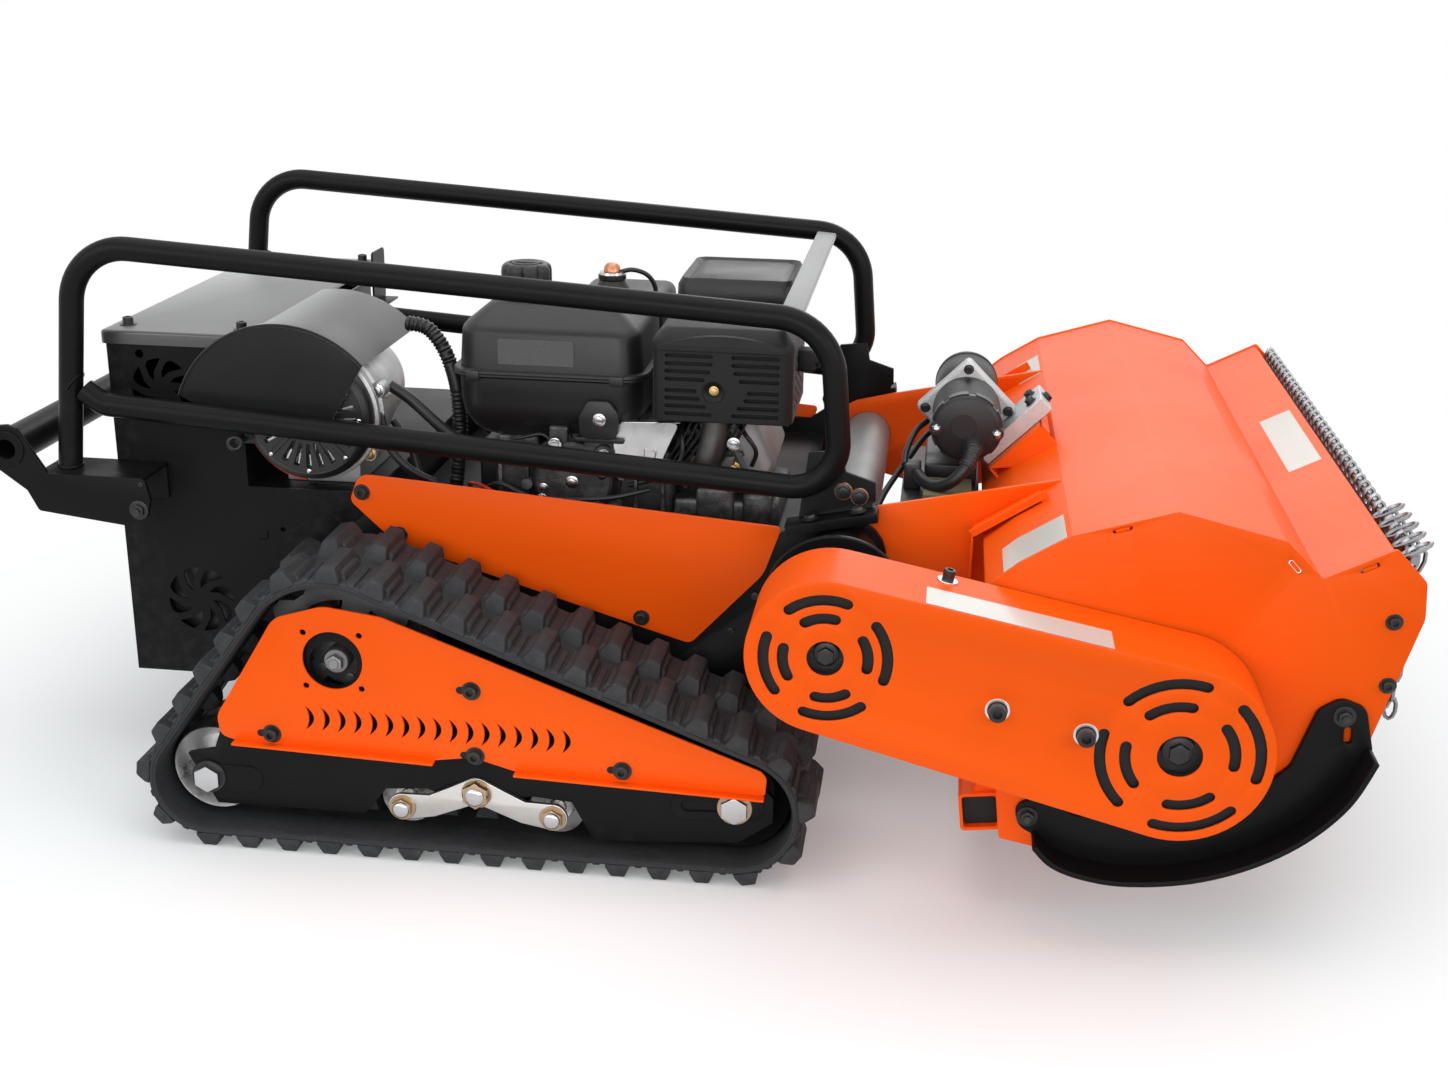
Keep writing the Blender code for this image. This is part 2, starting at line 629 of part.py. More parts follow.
def build_tracks(colours):
    both_sides(track_belt(), "track_belt", colours["rubber"])
    both_sides(sprocket(), "drive_sprocket", colours["cast"], (SPROCKET_X, -TRACK_MIDDLE, SPROCKET_Z))
    both_sides(drive_gearbox(), "drive_gearbox", colours["cast"])
    both_sides(track_frame(), "track_frame", colours["black"])
    both_sides(track_guard(), "track_guard", colours["orange"])
    groove = 0.016
    idlers = (("rear_idler", REAR_IDLER_X, REAR_IDLER_Z, REAR_IDLER_RADIUS, colours["zinc"]),
              ("front_idler", FRONT_IDLER_X, FRONT_IDLER_Z, FRONT_IDLER_RADIUS, colours["black"]))
    for name, x, z, radius, colour in idlers:
        piece = wheel(x, z, radius, radius - GUIDE_HEIGHT - 0.004, 16)
        both_sides(piece, name, colour, (x, -TRACK_MIDDLE, z))
    both_sides(rocker(), "rocker", colours["zinc"], (ROCKER_X, -TRACK_MIDDLE, ROCKER_PIN_Z))
    for name, x in (("roller_rear", ROCKER_X - ROLLER_SPREAD), ("roller_front", ROCKER_X + ROLLER_SPREAD)):
        piece = wheel(x, ROLLER_Z, ROLLER_RADIUS, ROLLER_RADIUS - groove, 12)
        both_sides(piece, name, colours["zinc"], (x, -TRACK_MIDDLE, ROLLER_Z))


# Chassis

def main_frame():
    """Two side plates joined by the floor, the engine plate and two tubes that carry the track frames."""
    boss = 0.052
    nose = arc((PIVOT_X, PIVOT_Z), boss, 80, -60, 8)
    outline = [(FRAME_REAR, 0.125), (FRAME_REAR, 0.330), (-0.430, 0.392), (0.080, 0.376), (0.110, 0.398),
               *nose, (0.120, 0.220), (0.060, 0.125)]
    sides = [prism(outline, low, low + FRAME_PLATE) for low in (-FRAME_HALF, FRAME_INSIDE)]
    bore = rod((PIVOT_X, PIVOT_Z), JACKSHAFT_RADIUS + 0.004, -FRAME_HALF - 0.01, FRAME_HALF + 0.01)
    reach = FRAME_INSIDE + 0.002
    engine_plate = block((BOX_FRONT + 0.010, 0.105), (-reach, reach), (ENGINE_DECK_Z - 0.008, ENGINE_DECK_Z))
    floor = block((BOX_REAR + 0.180, 0.055), (-reach, reach), (FLOOR_Z - 0.006, FLOOR_Z))
    tubes = [rod(place, 0.026, -BEAM_INSIDE + TOUCH, BEAM_INSIDE - TOUCH)
             for place in ((-0.290, 0.180), (-0.060, 0.160))]
    frame = union(sides[0], sides[1], engine_plate, floor, *tubes)
    return cut(frame, bore)


def side_panel():
    near = FRAME_HALF + TOUCH
    outline = rounded([(-0.462, 0.398), (-0.448, 0.434), (-0.400, 0.431), (0.092, 0.394), (0.070, 0.330),
                       (-0.022, 0.230), (-0.405, 0.345)], [0.010, 0.016, 0, 0.004, 0.05, 0.010, 0.010], 3)
    return prism(outline, -near - SHEET, -near)


def control_box():
    """An open-topped sheet box with a lower step that carries the generator."""
    outer = [(BOX_REAR, BOX_BOTTOM), (BOX_FRONT, BOX_BOTTOM), (BOX_FRONT, BOX_SHELF), (BOX_STEP_X, BOX_SHELF),
             (BOX_STEP_X, BOX_TOP), (BOX_REAR, BOX_TOP)]
    inner = [(BOX_REAR + SHEET, BOX_BOTTOM + SHEET), (BOX_FRONT - SHEET, BOX_BOTTOM + SHEET),
             (BOX_FRONT - SHEET, BOX_SHELF - SHEET), (BOX_STEP_X - SHEET, BOX_SHELF - SHEET),
             (BOX_STEP_X - SHEET, BOX_TOP + 0.01), (BOX_REAR + SHEET, BOX_TOP + 0.01)]
    shell = cut(prism(outer, -BOX_HALF, BOX_HALF), prism(inner, -BOX_HALF + SHEET, BOX_HALF - SHEET))
    vents = [prism(swirl_slot(centre, radius, i), -BOX_HALF - 0.01, BOX_HALF + 0.01)
             for centre, radius in (((-0.684, 0.238), 0.044), ((-0.712, 0.524), 0.040)) for i in range(8)]
    return cut(shell, *vents)


def swirl_slot(centre, radius, index):
    """One of eight curved slots round a vent's centre."""
    turn = index * 45
    return arc(centre, radius, turn, turn + 30, 1) + arc(centre, radius * 0.5, turn + 40, turn + 40, 1)[:1]


def control_box_lid():
    """A shallow lid whose skirt goes round the box's mouth on three sides."""
    reach = LID_SKIRT
    top = BOX_TOP + TOUCH
    front = BOX_STEP_X + 0.020
    outer = block((BOX_REAR - reach, front), (-BOX_HALF - reach, BOX_HALF + reach),
                  (BOX_TOP - 0.014, top + SHEET))
    room = block((BOX_REAR - 0.001, BOX_STEP_X + 0.001), (-BOX_HALF - 0.001, BOX_HALF + 0.001),
                 (BOX_TOP - 0.03, top))
    return cut(outer, room)


def battery_pack():
    clear = 0.012
    return bevelled(block((BOX_REAR + SHEET + clear, BOX_FRONT - SHEET - clear),
                          (-BOX_HALF + SHEET + clear, BOX_HALF - SHEET - clear),
                          (BOX_BOTTOM + SHEET + TOUCH, BOX_BOTTOM + 0.200)), 0.006, 1)


def tower():
    """The bracket that carries the head's pivot and the foot of the cage."""
    near = FRAME_HALF + TOUCH
    thickness = PLATE
    pillar = [(0.131, 0.300), *arc((PIVOT_X, PIVOT_Z), 0.048, -60, 60, 6), (0.204, 0.436), (0.120, 0.412)]
    web = prism(pillar, -near - thickness, -near)
    slab = prism([(0.101, 0.394), (0.211, 0.417), (0.209, 0.429), (0.097, 0.406)], -near - 0.036,
                 -near - 0.001)
    ear_outline = [(0.112, 0.408), (0.122, 0.492), (0.163, 0.497), (0.168, 0.470), (0.205, 0.458),
                   (0.206, 0.434)]
    ear = prism(ear_outline, -near - thickness + 0.0005, -near)
    bore = rod((PIVOT_X, PIVOT_Z), JACKSHAFT_RADIUS + 0.004, -near - 0.05, -near + 0.01)
    return cut(union(web, slab, ear), bore)


def jackshaft_bearing():
    """The black bearing housing between the tower and the belt guard."""
    near = FRAME_HALF + PLATE + 2 * TOUCH
    bore = JACKSHAFT_RADIUS + RUNNING
    disc = HEAD_HALF - BEARING_INSET
    profile = [(bore, -near), (0.045, -near), (0.045, -disc + 0.008), (0.084, -disc + 0.008), (0.084, -disc),
               (bore, -disc)]
    return turned(profile, (PIVOT_X, PIVOT_Z))


def pivot_tube():
    reach = FRAME_INSIDE - TOUCH
    profile = [(PIVOT_TUBE_RADIUS - 0.005, -reach), (PIVOT_TUBE_RADIUS, -reach), (PIVOT_TUBE_RADIUS, reach),
               (PIVOT_TUBE_RADIUS - 0.005, reach)]
    return turned(profile, (PIVOT_X, PIVOT_Z))


def cage_side():
    """One bent tube: rear post, top rail, front post and the lower rail back to the rear post."""
    y = -CAGE_HALF
    foot = BRACKET_TOP + 0.0022
    route = [(-0.823, y, foot), (-0.790, y, 0.717), (0.146, y, 0.658), (0.164, y, 0.449),
             (-0.770, y, 0.5145), (-0.7935, y, 0.532)]
    bends = [0, CAGE_BEND, CAGE_BEND, 0.055, 0.030, 0]
    return tube(rounded(route, bends, 5, closed=False), CAGE_RADIUS, 2)


def cage_cross_bar():
    """A flat bar between the two top rails, near the front."""
    reach = CAGE_HALF - CAGE_RADIUS - TOUCH
    return prism([(0.081, 0.655), (0.109, 0.653), (0.109, 0.661), (0.081, 0.663)], -reach, reach)


def bracket_outside():
    """Outer face of the rear channels, which reach a little past the cage's tubes."""
    return CAGE_HALF + CAGE_RADIUS + 0.0152


def bumper_bracket():
    """A channel under the cage's rear post, with an ear that holds the bumper tube."""
    outside = bracket_outside()
    inside = BOX_HALF + TOUCH
    top = BRACKET_TOP
    web_outline = rounded([(-0.862, top), (-0.712, top), (-0.706, 0.400), (-0.712, 0.376), (-0.740, 0.364),
                           (-0.856, 0.378), (-0.872, 0.410)], 0.004, 1)
    web = prism(web_outline, -outside, -outside + PLATE)
    flange = block((-0.855, -0.714), (-outside + 0.001, -inside), (top - 0.005, top))
    backing = block((BOX_REAR + 0.002, -0.714), (-inside - 0.005, -inside), (0.380, top - 0.001))
    ear_outline = arc((BUMPER_X, BUMPER_Z), BUMPER_RADIUS + 0.008, 60, 250, 8) + [(-0.870, 0.405),
                                                                                  (-0.838, 0.425)]
    ear = prism(ear_outline, -outside, -outside + PLATE)
    bore = rod((BUMPER_X, BUMPER_Z), BUMPER_RADIUS + TOUCH, -outside - 0.01, -outside + 0.02, sides=24)
    return cut(union(web, flange, backing, ear), bore)


def bumper_tube():
    reach = bracket_outside() + 0.002
    profile = [(BUMPER_BORE, -reach), (BUMPER_RADIUS, -reach), (BUMPER_RADIUS, reach), (BUMPER_BORE, reach)]
    return turned(profile, (BUMPER_X, BUMPER_Z))


def build_chassis(colours):
    name_node(main_frame(), "main_frame", colours["black"])
    both_sides(side_panel(), "side_panel", colours["orange"])
    name_node(control_box(), "control_box", colours["black"])
    name_node(control_box_lid(), "control_box_lid", colours["black"])
    name_node(battery_pack(), "battery_pack", colours["plastic"])
    both_sides(tower(), "pivot_tower", colours["black"])
    name_node(jackshaft_bearing(), "jackshaft_bearing", colours["black"])
    name_node(pivot_tube(), "pivot_tube", colours["zinc"])
    both_sides(cage_side(), "cage_side", colours["black"])
    name_node(cage_cross_bar(), "cage_cross_bar", colours["black"])
    both_sides(bumper_bracket(), "bumper_bracket", colours["black"])
    name_node(bumper_tube(), "bumper_tube", colours["black"])


# Generator and engine

def generator_body():
    """The aluminium bell housing on its foot."""
    centre = (GENERATOR_X, GENERATOR_Z)
    radius = GENERATOR_RADIUS
    profile = [(0, GENERATOR_FRONT), (radius, GENERATOR_FRONT), (radius + 0.004, GENERATOR_FRONT + 0.030),
               (radius - 0.002, GENERATOR_FRONT + 0.080), (radius - 0.018, GENERATOR_BACK - 0.012),
               (radius - 0.030, GENERATOR_BACK), (0, GENERATOR_BACK)]
    foot = block((GENERATOR_X - 0.050, GENERATOR_X + 0.050),
                 (GENERATOR_FRONT + 0.020, GENERATOR_BACK - 0.030),
                 (BOX_SHELF + TOUCH, GENERATOR_Z - 0.050))
    return union(turned(profile, centre), foot)


def starter_cover():
    """The slotted cover of the recoil starter."""
    centre = (GENERATOR_X, GENERATOR_Z)
    radius = GENERATOR_RADIUS
    back = GENERATOR_FRONT - TOUCH
    depth = 0.032
    wall = 0.004
    profile = [(0, back - depth), (radius - 0.010, back - depth), (radius, back - depth + 0.010),
               (radius, back),
               (radius - wall, back), (radius - wall, back - depth + 0.012),
               (radius - 0.012, back - depth + wall), (0, back - depth + wall)]
    slots = [prism(radial_slot(centre, 0.030, 0.068, 0.010, i * 30 + 15), back - depth - 0.01,
                   back - depth + 0.010)
             for i in range(12)]
    return cut(turned(profile, centre), *slots)


def radial_slot(centre, inner, outer, width, degrees):
    along = Vector((math.cos(math.radians(degrees)), math.sin(math.radians(degrees))))
    side = Vector((-along.y, along.x)) * (width / 2)
    middle = Vector(centre)
    corners = (middle + along * inner - side, middle + along * outer - side,
               middle + along * outer + side, middle + along * inner + side)
    return [tuple(corner) for corner in corners]


def starter_handle():
    """The recoil starter's pull knob beside the fan cover."""
    y = HOOD_FRONT + 0.004
    profile = [(0, y - 0.012), (0.008, y - 0.012), (0.0115, y - 0.006), (0.0115, y + 0.006),
               (0.006, y + 0.010),
               (0.006, -BOX_HALF - TOUCH), (0, -BOX_HALF - TOUCH)]
    return turned(profile, (GENERATOR_X - 0.092, GENERATOR_Z - 0.034), SMALL_ROUND)


def generator_hood():
    """An arched sheet over the generator, closed by a flat face at its outer end."""
    centre = (HOOD_X, HOOD_Z)
    left, right = 161, 41.4
    full = arc(centre, HOOD_RADIUS, left, right, 10)
    face = prism(full + [(-0.484, 0.495), (-0.654, 0.512)], HOOD_FRONT, HOOD_FRONT + 0.002)
    lid_side = -BOX_HALF - LID_SKIRT - TOUCH
    collar = prism(ribbon(full, 0.002), HOOD_FRONT + 0.001, lid_side)
    short = arc(centre, HOOD_RADIUS, 100, right, 5)
    roof = prism(ribbon(short, 0.002), lid_side - 0.001, HOOD_BACK)
    return union(face, collar, roof)


def engine_block():
    """The crankcase with a finned cylinder that leans towards the front."""
    crankcase = bevelled(block((-0.300, -0.060), (-0.200, 0.160),
                               (ENGINE_DECK_Z + TOUCH, TANK_BOTTOM - TOUCH)), 0.012, 1)
    lean = Vector((math.cos(math.radians(25)), math.sin(math.radians(25))))
    side = Vector((-lean.y, lean.x))
    start = Vector((-0.080, 0.411))
    cylinder_half = 0.045
    fin_half = 0.052
    corners = [start - lean * 0.03 - side * cylinder_half, start + lean * 0.100 - side * cylinder_half,
               start + lean * 0.100 + side * cylinder_half, start - lean * 0.03 + side * cylinder_half]
    pieces = [prism([tuple(corner) for corner in corners], -0.150, 0.090)]
    for i in range(6):
        a, b = start + lean * (0.014 + 0.015 * i), start + lean * (0.020 + 0.015 * i)
        fin = [a - side * fin_half, b - side * fin_half, b + side * fin_half, a + side * fin_half]
        pieces.append(prism([tuple(corner) for corner in fin], -0.162, 0.102))
    flange = rod((-0.190, 0.412), 0.055, -0.212, -0.190, sides=ROUND)
    port = rod((EXHAUST_X, 0.452), 0.015, EXHAUST_Y + EXHAUST_RADIUS + TOUCH, -0.140)
    return union(crankcase, *pieces, flange, port, valve_cover(start, lean, side))


def valve_cover(start, lean, side):
    """The cast cover on the cylinder's head."""
    start = start + lean * 0.099
    half = 0.047
    corners = [start - side * half, start + lean * 0.018 - side * half,
               start + lean * 0.040 - side * (half - 0.014),
               start + lean * 0.040 + side * (half - 0.014), start + lean * 0.018 + side * half,
               start + side * half]
    return prism([tuple(corner) for corner in corners], -0.155, 0.030)


def fuel_tank():
    """A moulded tank with a chamfered top, a seam flange and an open filler neck."""
    y_low, y_high = TANK_SIDE, TANK_SIDE + TANK_DEPTH
    bm = bmesh.new()
    inset = 0.040
    levels = [(TANK_BOTTOM, 0.030), (TANK_BOTTOM + 0.030, 0.006), (TANK_SEAM - 0.004, 0.000),
              (TANK_SEAM - 0.004, -0.008), (TANK_SEAM + 0.004, -0.008), (TANK_SEAM + 0.004, 0.000),
              (TANK_TOP - 0.034, 0.004), (TANK_TOP - 0.004, inset), (TANK_TOP, inset + 0.010)]
    rings = []
    for z, shrink in levels:
        corners = [(TANK_REAR + shrink, y_low + shrink), (TANK_FRONT - shrink, y_low + shrink),
                   (TANK_FRONT - shrink, y_high - shrink), (TANK_REAR + shrink, y_high - shrink)]
        outline = rounded(corners, 0.028, 1)
        rings.append([bm.verts.new((x, y, z)) for x, y in outline])
    bm.faces.new(rings[0])
    bm.faces.new(rings[-1])
    for lower, upper in zip(rings, rings[1:]):
        count = len(lower)
        for i in range(count):
            k = (i + 1) % count
            bm.faces.new((lower[i], lower[k], upper[k], upper[i]))
    wall = 0.006
    cavity = block((TANK_REAR + 0.040, TANK_FRONT - 0.040), (y_low + 0.040, y_high - 0.040),
                   (TANK_BOTTOM + wall, TANK_TOP - wall - 0.006))
    neck = rod((CAP_X, CAP_Y), CAP_RADIUS - 0.005, TANK_TOP - 0.010, TANK_TOP + 0.014, "Z", 16)
    throat = rod((CAP_X, CAP_Y), CAP_RADIUS - 0.010, TANK_TOP - 0.020, TANK_TOP + 0.03, "Z", 16)
    return cut(union(solid(bm), neck), cavity, throat)


def fuel_cap():
    """A round cap whose skirt goes over the filler neck."""
    low = TANK_TOP + 0.002
    inner = CAP_RADIUS - 0.005 + RUNNING
    profile = [(0, low + 0.036), (CAP_RADIUS - 0.004, low + 0.036), (CAP_RADIUS, low + 0.032),
               (CAP_RADIUS, low),
               (inner, low), (inner, low + 0.013), (0, low + 0.013)]
    grips = [block((CAP_X - 0.004, CAP_X + 0.004), (CAP_Y + CAP_RADIUS - 0.003, CAP_Y + CAP_RADIUS + 0.004),
                   (low + 0.008, low + 0.030))]
    return union(turned(profile, (CAP_X, CAP_Y), 16, "Z"), *grips)


def muffler_shield():
    """A pressed heat shield, open at its inner side, with four groups of louvre slots."""
    far = SHIELD_SIDE + SHIELD_DEPTH
    wall = 0.002
    outer = bevelled(block((SHIELD_REAR, SHIELD_FRONT), (SHIELD_SIDE, far), (SHIELD_BOTTOM, SHIELD_TOP)),
                     0.010, 1)
    room = bevelled(block((SHIELD_REAR + wall, SHIELD_FRONT - wall), (SHIELD_SIDE + wall, far + 0.03),
                          (SHIELD_BOTTOM + wall, SHIELD_TOP - wall)), 0.010, 1)
    slots = []
    for x_low, x_high in ((-0.066, -0.014), (0.020, 0.074)):
        for z in (0.524, 0.536, 0.548, 0.580, 0.592, 0.604):
            slots.append(block((x_low, x_high), (SHIELD_SIDE - 0.01, SHIELD_SIDE + 0.01),
                               (z - 0.002, z + 0.002)))
    pipe_hole = rod((EXHAUST_X, EXHAUST_Y), EXHAUST_RADIUS + 0.001, SHIELD_BOTTOM - 0.01,
                    SHIELD_BOTTOM + 0.01,
                    "Z", 16)
    return cut(outer, room, *slots, pipe_hole)


def muffler():
    """The silencer box inside the shield, with its outlet stub and the elbow to the cylinder."""
    clear = 0.014
    far = SHIELD_SIDE + SHIELD_DEPTH
    body = bevelled(block((SHIELD_REAR + clear, SHIELD_FRONT - clear), (SHIELD_SIDE + clear, far - 0.010),
                          (SHIELD_BOTTOM + 0.012, SHIELD_TOP - clear)), 0.008, 1)
    pipe = rod((EXHAUST_X, EXHAUST_Y), EXHAUST_RADIUS, 0.430, SHIELD_BOTTOM + 0.020, "Z", 16)
    return union(body, pipe)


def air_cleaner():
    return bevelled(block((TANK_FRONT + 0.010, 0.073), (0.020, 0.200), (0.512, AIR_CLEANER_TOP)), 0.016, 2)


def conduit():
    """The corrugated cable sleeve that goes from the generator down beside the tank."""
    points = [(-0.425, -0.140, 0.596), (-0.396, -0.142, 0.590), (-0.372, -0.146, 0.560),
              (-0.357, -0.150, 0.510),
              (-0.355, -0.150, 0.450), (-0.360, -0.150, 0.400), (-0.366, -0.150, ENGINE_DECK_Z + 0.004)]
    return tube(smooth_route(points, 2), 0.010, 2)


def build_power_unit(colours):
    name_node(generator_body(), "generator_body", colours["aluminium"])
    name_node(starter_cover(), "starter_cover", colours["plastic"])
    name_node(starter_handle(), "starter_handle", colours["plastic"])
    name_node(generator_hood(), "generator_hood", colours["black"])
    name_node(engine_block(), "engine_block", colours["aluminium"])
    name_node(fuel_tank(), "fuel_tank", colours["plastic"])
    name_node(fuel_cap(), "fuel_cap", colours["plastic"], (CAP_X, CAP_Y, TANK_TOP))
    name_node(muffler_shield(), "muffler_shield", colours["black"])
    name_node(muffler(), "muffler", colours["cast"])
    name_node(air_cleaner(), "air_cleaner", colours["plastic"])
    name_node(conduit(), "cable_conduit", colours["plastic"])


# Cutter head

def deck_path():
    """The outer face of the deck's bent sheet, from the rear bottom edge over the top to the front lip."""
    return [(0.375, 0.095), (0.338, 0.403), (0.375, 0.435), (0.430, 0.470), (0.541, 0.504), (0.658, 0.477),
            (0.700, 0.436), (0.775, 0.475), (0.779, 0.440)]


def deck_side_outline():
    """The side plates stand a little proud of the bent sheet."""
    proud = 0.0015
    top = offset_path(deck_path()[:-1], proud)
    return top + [(0.810, 0.440), (0.813, 0.398), (0.774, 0.251), (0.722, 0.170), (0.640, 0.112),
                  (0.550, 0.085),
                  (0.440, 0.082)]


def mower_deck():
    """The cutter housing: one bent sheet between two side plates, with bearing bosses on the rotor's axis."""
    inner_face = HEAD_HALF - DECK_SIDE_PLATE
    sides = [prism(deck_side_outline(), low, low + DECK_SIDE_PLATE) for low in (-HEAD_HALF, inner_face)]
    sheet = prism(ribbon(deck_path(), SHEET), -inner_face - 0.001, inner_face + 0.001)
    bosses = [rod((ROTOR_X, ROTOR_Z), 0.052, low, low + 0.012, sides=24)
              for low in (-inner_face - 0.001, inner_face - 0.011)]
    deck = union(sides[0], sides[1], sheet, *bosses, receiver_tube(), lift_motor_mount())
    return cut(deck, rod((ROTOR_X, ROTOR_Z), ROTOR_SHAFT_RADIUS + RUNNING, -HEAD_HALF - 0.01,
                         HEAD_HALF + 0.01,
                         sides=24))


def rotor():
    """The hammer rotor: a tube with four rows of flails, on a shaft that reaches the drive pulley."""
    reach = HEAD_HALF - DECK_SIDE_PLATE - 0.014
    shaft = ROTOR_SHAFT_RADIUS
    right_end = -GUARD_FRONT + 0.012
    body = turned([(0, right_end), (shaft, right_end), (shaft, -reach), (ROTOR_TUBE_RADIUS, -reach),
                   (ROTOR_TUBE_RADIUS, reach), (shaft, reach), (shaft, HEAD_HALF + 0.006),
                   (0, HEAD_HALF + 0.006)],
                  (ROTOR_X, ROTOR_Z), 16)
    spacing = 2 * (reach - 0.040) / (FLAILS_PER_ROW - 1)
    flails = []
    for row in range(4):
        for i in range(FLAILS_PER_ROW - row % 2):
            y = -reach + 0.040 + spacing * (i + 0.5 * (row % 2))
            outline = radial_slot((ROTOR_X, ROTOR_Z), ROTOR_TUBE_RADIUS - 0.006, ROTOR_TIP_RADIUS, 0.040,
                                  45 + 90 * row)
            flails.append(prism(outline, y - 0.006, y + 0.006))
    return union(body, *flails)


def pulley(centre, radius, bore, middle):
    """A V-groove pulley."""
    half = PULLEY_WIDTH / 2
    mouth = 0.012
    floor = radius - PULLEY_GROOVE
    profile = [(bore, middle - half), (radius, middle - half), (radius, middle - mouth),
               (floor, middle - mouth + 0.005), (floor, middle + mouth - 0.005),
               (radius, middle + mouth), (radius, middle + half), (bore, middle + half)]
    return profile, centre


def jackshaft():
    """The shaft through the pivot with the driving pulley on its outer end."""
    shaft = JACKSHAFT_RADIUS
    profile, centre = pulley((PIVOT_X, PIVOT_Z), PULLEY_REAR_RADIUS, shaft, -PULLEY_MIDDLE)
    outer_end = -GUARD_FRONT + 0.012
    whole = [(0, outer_end), (shaft, outer_end)] + profile + [(shaft, -0.160), (0, -0.160)]
    return turned(whole, centre)


def rotor_pulley():
    profile, centre = pulley((ROTOR_X, ROTOR_Z), PULLEY_FRONT_RADIUS, ROTOR_SHAFT_RADIUS + TOUCH,
                             -PULLEY_MIDDLE)
    return turned(profile, centre)


def drive_belt():
    """The V-belt round both pulleys, clear of their grooves."""
    sink = PULLEY_GROOVE - 0.0012
    thickness = 0.010
    low, high = -PULLEY_MIDDLE - 0.0055, -PULLEY_MIDDLE + 0.0055
    inner = (PULLEY_REAR_RADIUS - sink, PULLEY_FRONT_RADIUS - sink)
    return cut(prism(stadium(inner[0] + thickness, inner[1] + thickness), low, high),
               prism(stadium(*inner), low - 0.01, high + 0.01))


def stadium(rear_radius, front_radius):
    """Two arcs about the drive's shafts, joined by straight flanks."""
    rear = (PIVOT_X, PIVOT_Z)
    front = (ROTOR_X, ROTOR_Z)
    heading = math.degrees(math.atan2(front[1] - rear[1], front[0] - rear[0]))
    span = math.hypot(front[0] - rear[0], front[1] - rear[1])
    normal = math.degrees(math.acos((rear_radius - front_radius) / span))
    return (arc(rear, rear_radius, heading + 360 - normal, heading + normal, 10)
            + arc(front, front_radius, heading + normal, heading - normal, 10))


def arc_slot(centre, radius, start, end, width):
    return arc(centre, radius + width / 2, start, end, 2) + arc(centre, radius - width / 2, end, start, 2)


def belt_guard():
    """The cup over the belt drive, with rings of arc slots and two bosses that bolt to the deck."""
    shell = cut(prism(stadium(GUARD_REAR_RADIUS, GUARD_FRONT_RADIUS), -GUARD_FRONT, -GUARD_BACK),
                prism(stadium(GUARD_REAR_RADIUS - SHEET, GUARD_FRONT_RADIUS - SHEET),
                      -GUARD_FRONT + SHEET, -GUARD_BACK + 0.01))
    cutters = []
    for centre, radii, hole in (((PIVOT_X, PIVOT_Z), (0.065, 0.043), 0.020),
                                ((ROTOR_X, ROTOR_Z), (0.080, 0.053), 0.024)):
        cutters.append(rod(centre, hole, -GUARD_FRONT - 0.01, -GUARD_FRONT + 0.006, sides=20))
        for ring, radius in enumerate(radii):
            half = 26 - 5 * ring
            for quarter in range(4):
                middle = 90 * quarter
                cutters.append(prism(arc_slot(centre, radius, middle - half, middle + half, 0.012),
                                     -GUARD_FRONT - 0.01, -GUARD_FRONT + 0.006))
    bosses = [rod(place, 0.012, -GUARD_FRONT + 0.001, -HEAD_HALF - TOUCH, sides=12)
              for place in ((0.372, 0.312), (0.452, 0.290))]
    return cut(union(shell, *bosses), *cutters)


def lift_arm():
    """The plate that joins the pivot to the rear of the deck."""
    eye = 0.055
    outline = (arc((PIVOT_X, PIVOT_Z), eye, 270, 110, 8)
               + [(0.209, 0.436), (0.440, 0.478), (0.380, 0.300), (0.300, 0.270)])
    plate = prism(outline, -ARM_OUTSIDE, -ARM_OUTSIDE + PLATE)
    bore = rod((PIVOT_X, PIVOT_Z), PIVOT_TUBE_RADIUS + RUNNING, -ARM_OUTSIDE - 0.01, -ARM_OUTSIDE + 0.02,
               sides=ROUND)
    clearance = offset_path(deck_path(), TOUCH) + [(0.779, 0.080)]
    room = prism(clearance, -ARM_OUTSIDE - 0.01, -ARM_OUTSIDE + 0.02)
    return cut(plate, bore, room)


def skid():
    """A side plate with a bent runner along its lower edge."""
    near = HEAD_HALF + TOUCH
    plate = 0.008
    runner = [(0.413, 0.100), (0.435, 0.075), (0.470, 0.060), (0.520, 0.056), (0.590, 0.066), (0.655, 0.092),
              (0.710, 0.130), (0.752, 0.178), (0.776, 0.232)]
    web_outline = runner + [(0.762, 0.290), (0.738, 0.300), (0.718, 0.292), (0.690, 0.215), (0.640, 0.165),
                            (0.560, 0.130), (0.460, 0.134), (0.420, 0.150), (0.392, 0.140)]
    web = prism(web_outline, -near - plate, -near)
    sole = prism(ribbon(runner, -0.007), -near - SKID_WIDTH, -near - 0.001)
    return union(web, sole)


def receiver_tube():
    """A square tube across the rear of the deck, flat against its rear sheet."""
    low, high = deck_path()[0], deck_path()[1]
    up = (Vector(high) - Vector(low)).normalized()
    back = Vector((-up.y, up.x))
    half = RECEIVER_SIZE / 2
    middle = Vector(low) + up * 0.022 + back * (half - WELD)

    def square(size):
        return [tuple(middle + up * a * size + back * b * size)
                for a, b in ((-1, -1), (1, -1), (1, 1), (-1, 1))]
    return cut(prism(square(half), -RECEIVER_HALF, RECEIVER_HALF),
               prism(square(half - RECEIVER_WALL), -RECEIVER_HALF - 0.01, RECEIVER_HALF + 0.01))


def mount_edge():
    """Start and direction of the motor mount's upper face, at 45 degrees."""
    return Vector((0.345, 0.431)), Vector((1, 1)).normalized()


